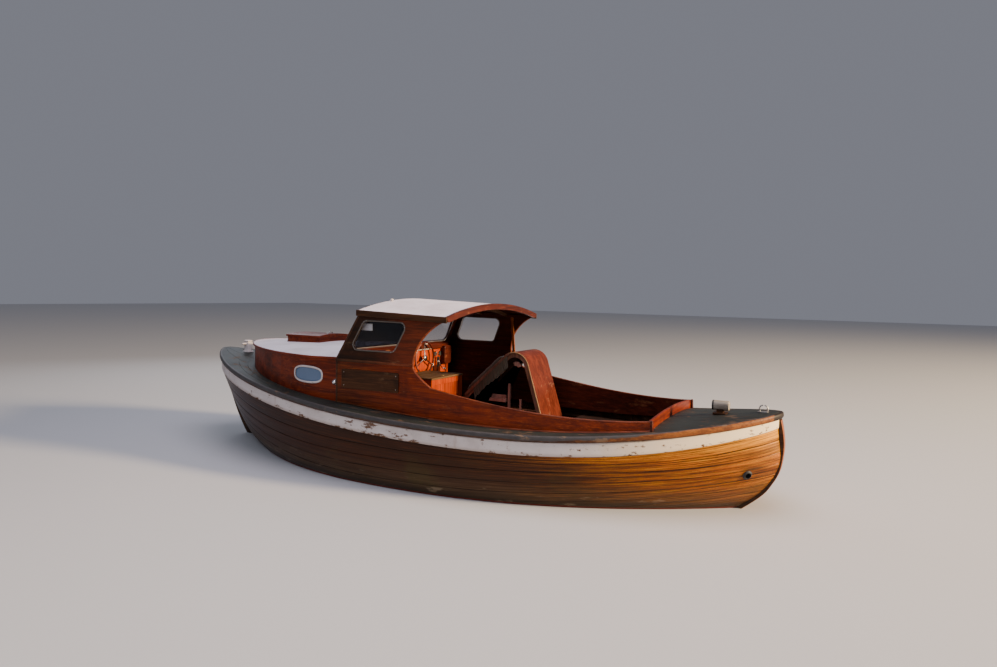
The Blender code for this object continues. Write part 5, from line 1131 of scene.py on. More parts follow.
deckShares = (0.0, 0.34, 0.66, 1.0)
for tag, side in sides:
    xs = np.linspace(coaming["endX"], trunk["front"], 76)
    boards = layBoards(Shape(), xs, lambda x: coamingY(x) + gap, deckEdge, deckShares, side)
    make("sideDeck_" + tag, boards, woods["deckPaint"], gone=["side_deck_" + tag], smooth=40)
aftXs = [x for x in sheerLine[:, 0] if x < coaming["endX"] - 0.01] + [coaming["endX"] - gap]
make("aftDeck", layBoards(Shape(), aftXs, lambda x: -deckEdge(x), deckEdge,
    (0.0, 0.12, 0.24, 0.36, 0.47, 0.53, 0.64, 0.76, 0.88, 1.0)), woods["deckPaint"],
    gone=["deck_aft"], smooth=40)
foreXs = sorted([trunk["front"] + gap] + list(np.linspace(0.70, 2.40, 40))
    + [trunk["end"] - 0.22 * math.cos(math.pi / 2 * i / 14) for i in range(1, 15)]
    + [x for x in sheerLine[:, 0] if x > trunk["end"] + 0.01])
foreDeck = Shape()
for tag, side in sides:
    layBoards(foreDeck, foreXs, lambda x: trunkY(x) + 0.0004, deckEdge, deckShares, side)
make("foreDeck", foreDeck, woods["deckPaint"], gone=["deck_fore"], smooth=40)
print("decks laid")

# cockpit coaming with a rounded cap and corner posts
for tag, side in sides:
    xs = np.linspace(coaming["endX"], coaming["startX"] - gap, 60)
    loops, cap, bead = [], [], []
    for x in xs:
        slope = (coamingY(x + 0.01) - coamingY(x - 0.01)) / 0.02
        lean = math.hypot(1.0, slope)
        y, yi = coamingY(x), coamingY(x) - coaming["wall"] * lean
        foot, top = sheerZ(x) - coaming["carlin"], coamingTop(x) - coaming["cap"]
        loops.append([(x, side * y, foot), (x, side * y, top), (x, side * yi, top), (x, side * yi, foot)])
        cap.append((x, side * (y + yi) / 2, top))
        bead.append((x, side * (y + 0.0004), float(deckHeights(x, y + 0.001))))
    board = make("coamingBoard_" + tag, Shape().loft(loops), woods["sideWood"],
        gone=["coaming_" + tag], smooth=40)
    # painted shade: the inboard faces take the darker mahogany
    lined(board, woods["innerWood"], (0, -side, 0))
    capRound = [(-0.013, 0.0), (0.013, 0.0), (0.0135, 0.003), (0.0115, 0.0065), (0.007, 0.0088),
        (0.0, 0.0093), (-0.007, 0.0088), (-0.0115, 0.0065), (-0.0135, 0.003)]
    make("coamingCap_" + tag, Shape().sweep(cap, capRound), woods["trimWood"], smooth=50)
    cove = [(0.0, 0.0), (0.012, 0.0), (0.0115, 0.004), (0.0085, 0.0085), (0.004, 0.0115), (0.0, 0.012)]
    cove = [(-side * a, b) for a, b in cove]
    make("coamingBead_" + tag, Shape().sweep(bead, cove), woods["trimWood"], smooth=50)

endHalf = coaming["endY"] - coaming["wall"] * 1.042 - gap
endTop = coamingTop(coaming["endX"])
endFoot = sheerZ(coaming["endX"] + coaming["wall"]) - coaming["carlin"]
crest = [(y, endTop + 0.030 * (1 - (y / endHalf) ** 2)) for y in np.linspace(endHalf, -endHalf, 29)]
make("coamingEnd", Shape().plate([(-endHalf, endFoot), (endHalf, endFoot)] + crest, "X", coaming["endX"],
    coaming["endX"] + coaming["wall"]), woods["mahoganyAcross"], gone=["coaming_aft"],
    bevel=0.005, steps=3)
corner = Shape()
for tag, side in sides:
    x, y = coaming["endX"] - 0.006, side * (coaming["endY"] - 0.008)
    base = float(deckHeights(x, y)) - 0.004
    corner.loft([[(*p, z) for p in rect(x - aft, x + fore, y - stbd, y + port)]
        for aft, fore, stbd, port, z in ((0.016, 0.010, 0.020, 0.016, base),
        (0.013, 0.008, 0.018, 0.014, endTop - 0.006), (0.009, 0.004, 0.014, 0.010, endTop + 0.004))])
make("cornerPosts", corner, woods["beamAcross"], bevel=0.004, steps=3)
print("coaming built")

# wheelhouse: boarded sides below the belt, leaning window panels over it
house = {
    "belt": 1.130, "tumble": 0.168, "aft": -0.244, "front": 0.644, "wall": 0.022, "sill": 1.239,
        "head": 1.517,
    "round": 0.055, "foreFoot": 0.104, "foreHead": 0.098, "aftFoot": 0.221, "aftHead": 0.098, "tip": 1.545,
    "screenFoot": 1.145, "screenTopX": 0.416, "screenTop": 1.609, "screenThick": 0.025, "stile": 0.091,
}
roof = {"aft": -0.555, "fore": 0.451, "aftZ": 1.579, "foreZ": 1.614, "half": 0.940, "camber": 0.116,
    "thick": 0.028, "beam": 0.024, "beamDeep": 0.052, "beamTip": 0.042, "beamRound": 0.040, "fascia": 0.0177,
    "reach": 0.015, "room": 0.0256}


def panelY(z):
    return coaming["sideY"] - house["tumble"] * (z - house["belt"])


def screenX(z):
    share = (z - house["screenFoot"]) / (house["screenTop"] - house["screenFoot"])
    return house["front"] + (house["screenTopX"] - house["front"]) * share


def roofEdgeZ(x):
    return roof["aftZ"] + (roof["foreZ"] - roof["aftZ"]) * (x - roof["aft"]) / (roof["fore"] - roof["aft"])


def roofZ(x, y):
    return roofEdgeZ(x) + roof["camber"] * (1.0 - (y / roof["half"]) ** 2)


def sideAft(z):
    drop = max(0.0, min(1.0, (house["belt"] - z) / (house["belt"] - coaming["startZ"])))
    return house["aft"] + (coaming["startX"] - house["aft"]) * drop ** 1.7


def panelAft(z):
    # the hollow aft edge sweeps up and aft to the end of the roof
    rise = max(0.0, min(1.0, (z - house["belt"]) / (house["tip"] - house["belt"])))
    return house["aft"] + (roof["aft"] + roof["reach"] - house["aft"]) * (1.0 - (1.0 - rise ** 2.2) ** 0.8)


def widen(points, amount):
    # moves a closed outline outwards
    result, count = [], len(points)
    middle = Vector((sum(p[0] for p in points) / count, sum(p[1] for p in points) / count))
    for i in range(count):
        aim = (Vector(points[(i + 1) % count]) - Vector(points[i - 1])).normalized()
        normal = Vector((-aim.y, aim.x))
        if normal.dot(Vector(points[i]) - middle) < 0:
            normal = -normal
        result.append(tuple(Vector(points[i]) + normal * amount))
    return result


footZ = sheerZ(0.0) - coaming["carlin"]
seams = (0.800, 0.965)
zRows = sorted([footZ, house["belt"]] + list(np.linspace(0.93, 1.125, 12))
    + [z + d for z in seams for d in (-0.0016, 0.0, 0.0016)])
windowLine = [(screenX(house["head"]) - house["foreHead"], house["head"]),
    (house["aft"] + house["aftHead"], house["head"] - 0.006), (house["aft"] + house["aftFoot"],
    house["sill"]), (screenX(house["sill"]) - house["foreFoot"], house["sill"])]
windowShape = roundCorners(windowLine, house["round"], 9)
headX, screenHead = roof["aft"] + roof["reach"], roofEdgeZ(0.42) - roof["room"]
panelOutline = [(house["aft"], house["belt"] + gap), (house["front"], house["belt"] + gap),
    (house["front"], house["screenFoot"]), (screenX(screenHead), screenHead),
    (headX, roofEdgeZ(headX) - roof["room"])]
for k in range(30):
    z = house["tip"] - (house["tip"] - house["belt"]) * k / 30
    panelOutline.append((panelAft(z), z))
rimScrews, rimAims = [], []
for tag, side in sides:
    outerRows, innerRows = [], []
    for z in zRows:
        xs = [sideAft(z) + (house["front"] - sideAft(z)) * k / 14 for k in range(15)]
        dip = 0.0022 if z in seams else 0.0
        outerRows.append([(x, side * (coaming["sideY"] - dip), z) for x in xs])
        innerRows.append([(x, side * (coaming["sideY"] - house["wall"]), z) for x in xs])
    wall = make("houseSide_" + tag, Shape().shell(outerRows, innerRows), woods["sideBoards"],
        gone=["cabin_side_" + tag], smooth=25)
    # painted shade: the inboard faces take the darker mahogany
    lined(wall, woods["innerWood"], (0, -side, 0))
    panel = Shape()
    holed(panel, panelOutline, [windowShape], 0.0, house["wall"],
        lambda x, z, depth: (x, side * (panelY(z) - depth), z))
    wall = make("windowPanel_" + tag, panel, woods["panelWood"], gone=["window_panel_" + tag],
        bevel=0.0025)
    # painted shade: the inboard faces take the darker mahogany
    lined(wall, woods["innerWood"], (0, -side, 0))
    # aft edge trim, from the coaming up to the roof
    path, ups = [], []
    for k in range(52):
        z = coaming["startZ"] - 0.02 + (house["tip"] - coaming["startZ"] + 0.02) * k / 51
        low = z < house["belt"]
        x = sideAft(z) if low else panelAft(z)
        y = (coaming["sideY"] if low else panelY(z)) - house["wall"] / 2
        path.append((x, side * y, z))
    for k in range(52):
        a, b = Vector(path[max(k - 1, 0)]), Vector(path[min(k + 1, 51)])
        ups.append((a.z - b.z, 0.0, b.x - a.x))
    trim = Shape().sweep(path, halfRound(0.026, 0.009), ups)
    make("aftEdgeTrim_" + tag, trim, woods["trimWood"], smooth=50)
    corner = Shape()
    base = float(deckHeights(house["front"], coaming["sideY"] + 0.004))
    corner.tube([(0.641, side * 1.000, base), (0.641, side * 1.000, house["belt"])], 0.0115, 12,
        up=(1, 0, 0))
    rake = [(screenX(z) - 0.002, side * (panelY(z) - 0.006), z) for z in np.linspace(house["screenFoot"],
        screenHead, 8)]
    corner.tube(rake, 0.0125, 12, up=(0, 1, 0))
    make("frontCorner_" + tag, corner, woods["trimWood"], smooth=60)
    belt = Shape()
    belt.sweep([(x, side * coaming["sideY"], house["belt"]) for x in np.linspace(-0.258, 0.652, 12)],
        halfRound(0.026, 0.011), (0, side, 0))
    belt.sweep([(x, side * (coaming["sideY"] + 0.0005), float(deckHeights(x, 1.006)) + 0.0065)
        for x in np.linspace(coaming["startX"], 0.652, 24)], halfRound(0.013, 0.009), (0, side, 0))
    make("belt_" + tag, belt, woods["trimWood"], smooth=50)
    rim = Shape()
    for out, depth, proud in ((1, -0.0002, 0.0045), (-1, house["wall"] + 0.0002, 0.004)):
        line = [(x, side * (panelY(z) - depth), z) for x, z in widen(windowShape, 0.0030)]
        normal = (0, side * out, out * house["tumble"])
        rim.sweep(line, halfRound(0.013, proud, 6), normal, round=True)
        if out > 0:
            for k in range(0, len(line), 4):
                rimScrews.append(Vector(line[k]) + Vector(normal) * proud * 0.92)
                rimAims.append(normal)
    make("windowRim_" + tag, rim, rimDull, smooth=60)
# blank board fixed on each side of the wheelhouse
nameless = {"x0": -0.100, "x1": 0.575, "z0": 0.862, "z1": 1.048, "thick": 0.009}
for tag, side in sides:
    y = side * (coaming["sideY"] + 0.0002)
    board = Shape().plate(roundedBox(nameless["x0"], nameless["x1"], nameless["z0"], nameless["z1"], 0.018),
        "Y", y, y + side * nameless["thick"])
    make("plainBoard_" + tag, board, woods["darkSideWood"], bevel=0.003, steps=3)
    for x in (nameless["x0"] + 0.03, nameless["x1"] - 0.03):
        for z in (nameless["z0"] + 0.03, nameless["z1"] - 0.03):
            rimScrews.append((x, y + side * (nameless["thick"] + 0.0004), z))
            rimAims.append((0, side, 0))

# raked windscreen in one frame with two panes
rakeLength = math.hypot(house["screenTopX"] - house["front"], house["screenTop"] - house["screenFoot"])
rakeX = (house["screenTopX"] - house["front"]) / rakeLength
rakeZ = (house["screenTop"] - house["screenFoot"]) / rakeLength


def screenPlace(y, s, depth):
    return (house["front"] + rakeX * s - rakeZ * depth, y, house["screenFoot"] + rakeZ * s + rakeX * depth)


def screenHalf(s):
    return panelY(house["screenFoot"] + rakeZ * s) - house["wall"] - gap


def screenTopAt(y):
    s = 0.5
    for _ in range(12):
        x, _, z = screenPlace(y, s, 0.0)
        s += (roofZ(x, y) - 0.0285 - z) / rakeZ
    return s


topHalf = screenHalf(0.5)
screenOutline = [(-screenHalf(0.012), 0.012), (screenHalf(0.012), 0.012)]
screenOutline += [(y, screenTopAt(y)) for y in np.linspace(topHalf, -topHalf, 21)]
paneHead = (house["screenTop"] - house["screenFoot"]) / rakeZ - 0.107
paneLines = []
for tag, side in sides:
    line = [(side * 0.045, 0.105), (side * (screenHalf(0.105) - house["stile"]), 0.105),
        (side * (screenHalf(paneHead) - house["stile"]), paneHead), (side * 0.045, paneHead + 0.025)]
    paneLines.append(roundCorners(line, house["round"], 8))
screen = Shape()
holed(screen, screenOutline, paneLines, 0.0, house["screenThick"], screenPlace)
make("screenFrame", screen, woods["beamAcross"], gone=["windscreen"], bevel=0.0025)
rim = Shape()
for line in paneLines:
    for depth, out, proud in ((-0.0002, 1, 0.004), (house["screenThick"] + 0.0002, -1, 0.0035)):
        rim.sweep([screenPlace(y, s, depth) for y, s in widen(line, 0.004)], halfRound(0.016, proud),
            (rakeZ * out, 0, -rakeX * out), round=True)
make("screenRims", rim, metals["steel"], smooth=60)
sill = Shape().sweep([(house["front"] + 0.0035, y, house["belt"] + 0.006) for y in np.linspace(-0.99, 0.99,
    9)], halfRound(0.028, 0.010), (1, 0, 0.2))
make("screenSill", sill, woods["beamAcross"], smooth=50)

# roof: thin crowned slab with a painted canvas top, edge boards and an arched aft beam
roofYs = np.linspace(-roof["half"], roof["half"], 49)
slab = Shape().loft([[(x, y, roofZ(x, y) - roof["thick"]) for y in roofYs]
    + [(x, y, roofZ(x, y)) for y in reversed(roofYs)] for x in np.linspace(roof["aft"], roof["fore"], 7)])
top = make("roofTop", slab, woods["roofPaint"], gone=["roof"], bevel=0.006, steps=3, smooth=25)
# painted shade: the roof's underside takes the darker mahogany
lined(top, woods["innerWood"], (0, 0, -1))
beamTips = [roof["half"] - roof["beamTip"] * (1.0 - math.sin(k * math.pi / 16)) for k in range(9)]
beamYs = sorted([-y for y in beamTips] + [y for y in roofYs if abs(y) < beamTips[0] - 0.005] + beamTips)


def beamFoot(y):
    over = max(0.0, abs(y) - beamTips[0]) / roof["beamTip"]
    return roof["beamDeep"] - roof["beamRound"] * (1.0 - math.sqrt(max(0.0, 1.0 - over ** 2)))


beam = Shape().loft([[(x, y, roofZ(x, y) - beamFoot(y)) for y in beamYs]
    + [(x, y, roofZ(x, y) + 0.006) for y in reversed(beamYs)] for x in (roof["aft"] - gap - roof["beam"],
    roof["aft"] - gap)])
make("aftBeam", beam, woods["beamAcross"], gone=["roof_beam_aft"], bevel=0.0055, steps=3,
    smooth=25)
for tag, side in sides:
    y = side * (roof["half"] + gap)
    xa, xb = roof["aft"] - roof["beam"], roof["fore"]
    edge = Shape().plate([(xa, roofEdgeZ(xa) - roof["beamDeep"]), (xb, roofEdgeZ(xb) - roof["beamDeep"]),
        (xb, roofEdgeZ(xb) + 0.006), (xa, roofEdgeZ(xa) + 0.006)], "Y", y, y + side * roof["fascia"])
    make("roofEdge_" + tag, edge, woods["darkSideWood"], gone=["roof_fascia_" + tag],
        bevel=0.005, steps=3)
fore = Shape().sweep([(roof["fore"] + gap, y, roofZ(roof["fore"], y) - 0.0155) for y in roofYs],
    halfRound(0.030, 0.006), (1, 0, 0))
make("roofForeEdge", fore, woods["darkSideWood"], smooth=50)
knob = {"x": 0.400, "y": 0.450, "sunk": 0.002}
knobAt = (knob["x"], knob["y"], roofZ(knob["x"], knob["y"]) - knob["sunk"])
knobShape = Shape().lathe(knobAt, (0, 0, 1), [(0, 0.019), (0.004, 0.019), (0.006, 0.009), (0.011, 0.0085),
    (0.015, 0.015), (0.021, 0.018), (0.026, 0.015), (0.0285, 0.008), (0.0295, 0.002)], 28)
make("roofKnob", knobShape, woods["whitePaint"], smooth=50)
innerPost = {"x": -0.290, "low": 1.10, "high": 1.53, "in": 0.008}
inside = Shape()
post = [(innerPost["x"], -(panelY(z) - house["wall"] - innerPost["in"]), z)
    for z in np.linspace(innerPost["low"], innerPost["high"], 6)]
inside.sweep(post, [(-0.006, -0.016), (0.006, -0.016), (0.008, -0.012), (0.008, 0.012), (0.006, 0.016),
    (-0.006, 0.016)], (1, 0, 0))
make("innerPost", inside, woods["mastWood"], smooth=40)
lampAt = (0.676, 0.984, 0.905)
sideLamp = Shape().lathe(lampAt, (0.1, 1, 0), [(0, 0.030), (0.004, 0.030), (0.006, 0.026), (0.018, 0.024),
    (0.030, 0.017), (0.036, 0.008), (0.0375, 0.001)], 28)
make("sideLamp", sideLamp, metals["chrome"], smooth=50)
print("wheelhouse built")

# low cabin: canvas-covered top with a moulding, lights with pale rims, hatch
trunkXs = [trunk["front"] + 2 * gap] + list(np.linspace(0.72, 2.2,
    26)) + [trunk["end"] - 0.40 * math.cos(math.pi / 2 * k / 16) for k in range(1, 17)]
trunkXs = sorted(set(round(x, 5) for x in trunkXs))


def trunkTopZ(x, y):
    rise = trunk["foreZ"] - trunk["aftZ"]
    edge = trunk["aftZ"] + rise * (x - trunk["front"]) / (trunk["end"] - trunk["front"])
    return edge + trunk["camber"] * (1.0 - (y / trunk["half"]) ** 2)


planTop = np.array([(x, trunkY(x)) for x in trunkXs])
planTop = planOffset(planTop[::-1], -trunk["overhang"])[::-1]
planTop[0, 0] = trunkXs[0]
planTop = [(x, abs(y)) for x, y in planTop if x < trunk["end"] + trunk["overhang"] - 0.0005]
planTop.append((trunk["end"] + trunk["overhang"] - 0.0004, 0.02))
across = np.linspace(-1, 1, 33)
lift, under = [], []
for x, y in planTop:
    lift.append([(x, y * a, trunkTopZ(x, y * a) + trunk["thick"]) for a in across])
    under.append([(x, y * a, trunkTopZ(x, y * a) + 0.0002) for a in across])
cover = make("cabinTop", Shape().shell(lift, under), woods["roofPaint"], gone=["trunk_top"],
    smooth=30)
hatch = {"x": 1.800, "half": 0.240, "clear": 0.218, "rise": 0.050, "reach": 0.252}
hatchTop = trunkTopZ(hatch["x"] - hatch["half"], 0.0) + trunk["thick"] + hatch["rise"]


def hatchRect(half):
    return rect(hatch["x"] - half, hatch["x"] + half, -half, half)


cut(cover, Shape().plate(hatchRect(hatch["half"] + gap), "Z", hatchTop - 0.3, hatchTop + 0.3))
cover.data.shade_smooth()
cover.data.set_sharp_from_angle(angle=math.radians(30))
edgeLine = [(x, y, trunkTopZ(x, y) + 0.008) for x, y in planTop] + [(x, -y, trunkTopZ(x, y) + 0.008)
    for x, y in planTop[::-1]]
ups = []
for k in range(len(edgeLine)):
    a, b = Vector(edgeLine[max(k - 1, 0)]), Vector(edgeLine[min(k + 1, len(edgeLine) - 1)])
    ups.append((-(b.y - a.y), b.x - a.x, 0.0))
make("cabinTopEdge", Shape().sweep(edgeLine, halfRound(0.024, 0.008), ups), woods["mahoganyWood"],
    smooth=50)
light = {"x": 1.050, "z": 0.955, "halfX": 0.2035, "halfZ": 0.0785, "square": 0.7}
lightRim = Shape()
for tag, side in sides:
    line, ups = [], []
    for a, b in ringOf(1.0, 64):
        x = light["x"] + light["halfX"] * math.copysign(abs(a) ** light["square"], a)
        z = light["z"] + light["halfZ"] * math.copysign(abs(b) ** light["square"], b)
        line.append((x, side * (trunkY(x) + 0.0004), z))
        ups.append(((trunkY(x - 0.01) - trunkY(x + 0.01)) / 0.02, side, 0.0))
    lightRim.sweep(line, halfRound(0.019, 0.006), ups, round=True)
make("cabinLightRims", lightRim, woods["whitePaint"], smooth=60)
curb = Shape()
holed(curb, hatchRect(hatch["half"]), [hatchRect(hatch["clear"])], hatchTop - 0.125, hatchTop,
    lambda x, y, z: (x, y, z))
make("hatchCurb", curb, woods["mahoganyAcross"], gone=["hatch_curb"], bevel=0.003)
bead = Shape()
ring = hatchRect(hatch["half"] + 0.0008)
for k in range(4):
    (xa, ya), (xb, yb) = ring[k], ring[(k + 1) % 4]
    points = [(xa + (xb - xa) * t, ya + (yb - ya) * t) for t in np.linspace(0, 1, 7)]
    bead.tube([(x, y, trunkTopZ(x, y) + trunk["thick"] + 0.004) for x, y in points], 0.007, 8)
make("hatchBead", bead, woods["mahoganyWood"], smooth=60)
lidRows, lidUnder = [], []
bounds = [k / 5 for k in range(6)]
lidShares, lidDips = [], []
for k in range(5):
    lidShares += [bounds[k] + (0.004 if k else 0.0), bounds[k] + 0.1,
        bounds[k + 1] - 0.004 if k < 4 else 1.0]
    lidDips += [0.0, 0.0, 0.0]
    if k < 4:
        lidShares.append(bounds[k + 1])
        lidDips.append(0.003)
for x in np.linspace(hatch["x"] - hatch["reach"], hatch["x"] + hatch["reach"], 5):
    ys = [hatch["reach"] * (1 - 2 * a) for a in lidShares]
    lidRows.append([(x, y, hatchTop + 0.0203 + 0.018 * (1 - (y / hatch["reach"]) ** 2) - d)
        for y, d in zip(ys, lidDips)])
    lidUnder.append([(x, y, hatchTop + gap) for y in ys])
make("hatchLid", Shape().shell(lidRows, lidUnder), woods["mahoganyWood"], "fore_hatch",
    gone=["fore_hatch"], smooth=30)
pull = Shape()
pull.tube([(hatch["x"] - 0.190, y, hatchTop + 0.040 + 0.018 * math.cos(math.pi * y / 0.09))
    for y in np.linspace(-0.045, 0.045, 13)], 0.005, 10, up=(1, 0, 0))
for y in (-0.048, 0.048):
    pull.lathe((hatch["x"] - 0.190, y, hatchTop + 0.034), (0, 0, 1),
        [(0, 0.011), (0.006, 0.011), (0.008, 0.008)], 16)
make("hatchPull", pull, metals["steel"], "fore_hatch", smooth=60)
hinge = Shape()
for y in (-0.15, 0.15):
    hinge.rod((hatch["x"] + 0.2545, y - 0.03, hatchTop + 0.002),
        (hatch["x"] + 0.2545, y + 0.03, hatchTop + 0.002), 0.0055, 12)
make("hatchHinges", hinge, metals["steel"], smooth=60)
print("low cabin built")

# helm: console with a rail and ledge, gauges, wheel and lever
console = {"x": 0.545, "back": 0.6217, "stbd": -0.880, "port": -0.100, "foot": 0.800, "top": 1.200}
deskX = console["x"]
desk = Shape()
desk.plate([(deskX + 0.012, console["foot"]), (console["back"], console["foot"]), (console["back"], 1.125),
    (0.6067, 1.140), (0.581, console["top"] - 0.004), (deskX + 0.012, console["top"] - 0.004)], "Y",
    console["stbd"] + 0.004, console["port"] - 0.004)
make("consoleBody", desk, woods["orangeWood"], gone=["console"], bevel=0.003)
front = Shape()
holed(front, rect(console["stbd"], console["port"], console["foot"], console["top"]),
    [roundedBox(-0.455, -0.135, 0.850, 1.140, 0.02), roundedBox(-0.845, -0.500, 0.850, 1.140, 0.02)], deskX,
    deskX + 0.014, lambda y, z, depth: (depth, y, z))
make("consoleFrame", front, woods["orangeUp"], bevel=0.003)
topRail = Shape()
topRail.sweep([(deskX + 0.006, y, console["top"] - 0.010) for y in np.linspace(console["stbd"],
    console["port"], 9)], roundedBox(-0.010, 0.010, -0.012, 0.014, 0.006, 3))
topRail.plate(roundedBox(deskX - 0.006, deskX + 0.004, 1.142, 1.193, 0.003, 2), "Y", -0.735,
    console["port"] - 0.004)
endBlock = Shape().plate(roundedBox(-0.868, -0.722, 0.962, 1.176, 0.030, 6), "X", deskX - 0.052,
    deskX + 0.006)
make("consoleEndBlock", endBlock, woods["beamAcross"], bevel=0.010, steps=4)
boards = Shape()
for k in range(9):
    y = -0.128 - 0.0455 * k
    boards.plate(roundedBox(deskX - 0.0075, deskX + 0.002, y - 0.0435, y, 0.0025, 2), "Z",
        console["foot"] + 0.002, 1.140)
make("consoleBoards", boards, woods["orangeUp"], smooth=40)
# the console's recess, in the darker mahogany as painted shade
recess = Shape().box((deskX - 0.012, -0.690, 0.806), (deskX + 0.002, -0.545, 0.952))
make("consoleHatch", recess, woods["innerWood"], bevel=0.004)
dome = Shape().lathe((0.586, -0.452, console["top"] - 0.006), (0, 0, 1),
    [(0, 0.030), (0.008, 0.031), (0.012, 0.027), (0.020, 0.025), (0.030, 0.020), (0.037, 0.011),
    (0.040, 0.002)], 28)
make("compassDome", dome, ivory, smooth=60)
make("consoleRail", topRail, woods["beamAcross"], smooth=50)
endPost = Shape().lathe((deskX + 0.030, console["stbd"] + 0.032, console["foot"] + 0.004), (0, 0, 1),
    [(0, 0.026), (0.004, 0.029), (0.355, 0.029), (0.378, 0.024), (0.390, 0.012), (0.393, 0.002)], 24)
make("consoleEndPost", endPost, woods["mahoganyUp"], smooth=50)
ledge = Shape()
ledge.plate(roundedBox(deskX - 0.030, deskX + 0.002, -0.470, -0.120, 0.008, 3), "Z", 1.148, 1.158)
make("consoleLedge", ledge, woods["greyWood"], bevel=0.002)
dials, faces = Shape(), Shape()
for y, z, r in ((-0.600, 1.085, 0.030), (-0.700, 1.085, 0.030), (-0.775, 1.070, 0.021)):
    at = (deskX + 0.0125, y, z)
    dials.lathe(at, (-1, 0, 0), [(0, r), (0.012, r), (0.016, r - 0.003), (0.016, r - 0.006),
        (0.008, r - 0.007)], 28)
    faces.lathe((deskX + 0.006, y, z), (-1, 0, 0), [(0, r - 0.006), (0.004, r - 0.006)], 24)
    faces.box((deskX + 0.0005, y - 0.0012, z - 0.004), (deskX + 0.002, y + 0.0012, z + r * 0.62))
make("gaugeRims", dials, metals["chrome"], smooth=50)
make("gaugeFaces", faces, rubber, smooth=50)
wheel = {"at": (0.485, -0.290, 1.060), "radius": 0.190, "rim": 0.011, "spokes": 3}
cx, cy, cz = wheel["at"]
ringPath = [(cx, cy + (wheel["radius"] - wheel["rim"]) * math.cos(2 * math.pi * k / 72),
    cz + (wheel["radius"] - wheel["rim"]) * math.sin(2 * math.pi * k / 72)) for k in range(72)]
helm = Shape().sweep(ringPath, [(a * (1.0 + 0.06 * math.cos(3 * k)), b)
    for k, (a, b) in enumerate(ringOf(wheel["rim"], 12))], (1, 0, 0), round=True)
helm.lathe((cx - 0.020, cy, cz), (1, 0, 0), [(-0.002, 0.010), (0.0, 0.026), (0.006, 0.033), (0.034, 0.033),
    (0.044, 0.020), (0.050, 0.0125), (0.104, 0.0120)], 28, look=1)
for k in range(wheel["spokes"]):
    a = math.radians(90 + 120 * k)
    path = [(cx + 0.006 * math.sin(math.pi * t), cy + (0.020 + 0.150 * t) * math.cos(a),
        cz + (0.020 + 0.150 * t) * math.sin(a)) for t in np.linspace(0, 1, 9)]
    helm.sweep(path, [(p[0] * 1.5, p[1]) for p in ringOf(0.0055, 10)], (1, 0, 0), look=1)
make("helmWheel", helm, [woods["wheelRim"], metals["chrome"]], "wheel", gone=["steering_wheel"],
    smooth=60)
throttle = {"y": -0.640, "z": 0.990}
lever, leverY, leverZ = Shape(), throttle["y"], throttle["z"]
lever.plate(roundedBox(leverY - 0.030, leverY + 0.030, 0.930, 1.050, 0.012), "X", deskX - 0.014, deskX - gap)
lever.rod((deskX - 0.014, leverY, leverZ), (deskX - 0.032, leverY, leverZ), 0.017, 20, ease=0.002)
lever.tube([(deskX - 0.024 - 0.078 * t, leverY, leverZ - 0.075 * t - 0.02 * math.sin(math.pi * t))
    for t in np.linspace(0, 1, 8)], 0.0062, 10, up=(0, 1, 0))
lever.lathe((deskX - 0.100, leverY, 0.918), (-0.72, 0, -0.69), [(-0.012, 0.004), (-0.008, 0.011),
    (0, 0.0145), (0.008, 0.012), (0.0125, 0.004)], 20)
make("throttleLever", lever, metals["chrome"], gone=["throttle"], smooth=60)

# low cabin door and bulkhead
recolour("bulkhead_fore", woods["interiorAcross"])
door = {"x0": 0.6017, "x1": 0.6217, "y0": 0.420, "y1": 0.820, "z0": 0.210, "z1": 1.070}
doorFields = ((0.480, 0.760, 0.290, 0.600), (0.480, 0.760, 0.670, 1.000))
leaf = Shape()
holed(leaf, rect(door["y0"], door["y1"], door["z0"], door["z1"]), [rect(*field) for field in doorFields],
    door["x0"], door["x1"], lambda y, z, depth: (depth, y, z))
make("cabinDoorFrame", leaf, woods["orangeUp"], "cabin_door", gone=["cabin_door"], bevel=0.003)
fields = Shape()
for y0, y1, z0, z1 in doorFields:
    fields.loft([[(x, *p) for p in rect(y0 + m, y1 - m, z0 + m, z1 - m)] for x, m in ((0.6075, 0.030),
        (0.6098, -0.006), (0.6140, -0.006), (0.6170, 0.030))])
make("cabinDoorPanels", fields, woods["orangeUp"], "cabin_door", smooth=20)
handle = Shape().lathe((door["x0"], 0.470, 0.660), (-1, 0, 0), [(0, 0.018), (0.003, 0.018), (0.004, 0.007),
    (0.014, 0.007), (0.018, 0.014), (0.024, 0.016), (0.0255, 0.012), (0.026, 0.002)], 24)
make("cabinDoorKnob", handle, metals["bronze"], "cabin_door", smooth=50)

# engine box: panelled case, lid with an edge and a ring, engine inside
box = {"x0": -0.030, "x1": 0.420, "y0": -0.250, "y1": 0.350, "z0": 0.1503, "z1": 0.910, "wall": 0.018,
    "inset": 0.006, "proud": 0.007, "stile": 0.055, "kick": 0.070}
x0, x1, y0, y1, low, high = (box[key] for key in ("x0", "x1", "y0", "y1", "z0", "z1"))
wall, inset, stile = box["wall"], box["inset"], box["stile"]
case = Shape()
case.box((x0 + inset, y0 + inset, low), (x0 + wall, y1 - inset, high))
case.box((x1 - wall, y0 + inset, low), (x1 - 0.001, y1 - inset, high))
case.box((x0 + wall, y0 + inset, low), (x1 - wall, y0 + wall, high))
case.box((x0 + wall, y1 - wall, low), (x1 - wall, y1 - inset, high))
make("boxCase", case, woods["upBoards"], gone=["engine_box"], bevel=0.0015)
frameBoards = Shape()
holed(frameBoards, rect(y0, y1, low, high), [rect(y0 + stile, y1 - stile, low + box["kick"], high - stile)],
    x0, x0 + box["proud"], lambda y, z, depth: (depth, y, z))
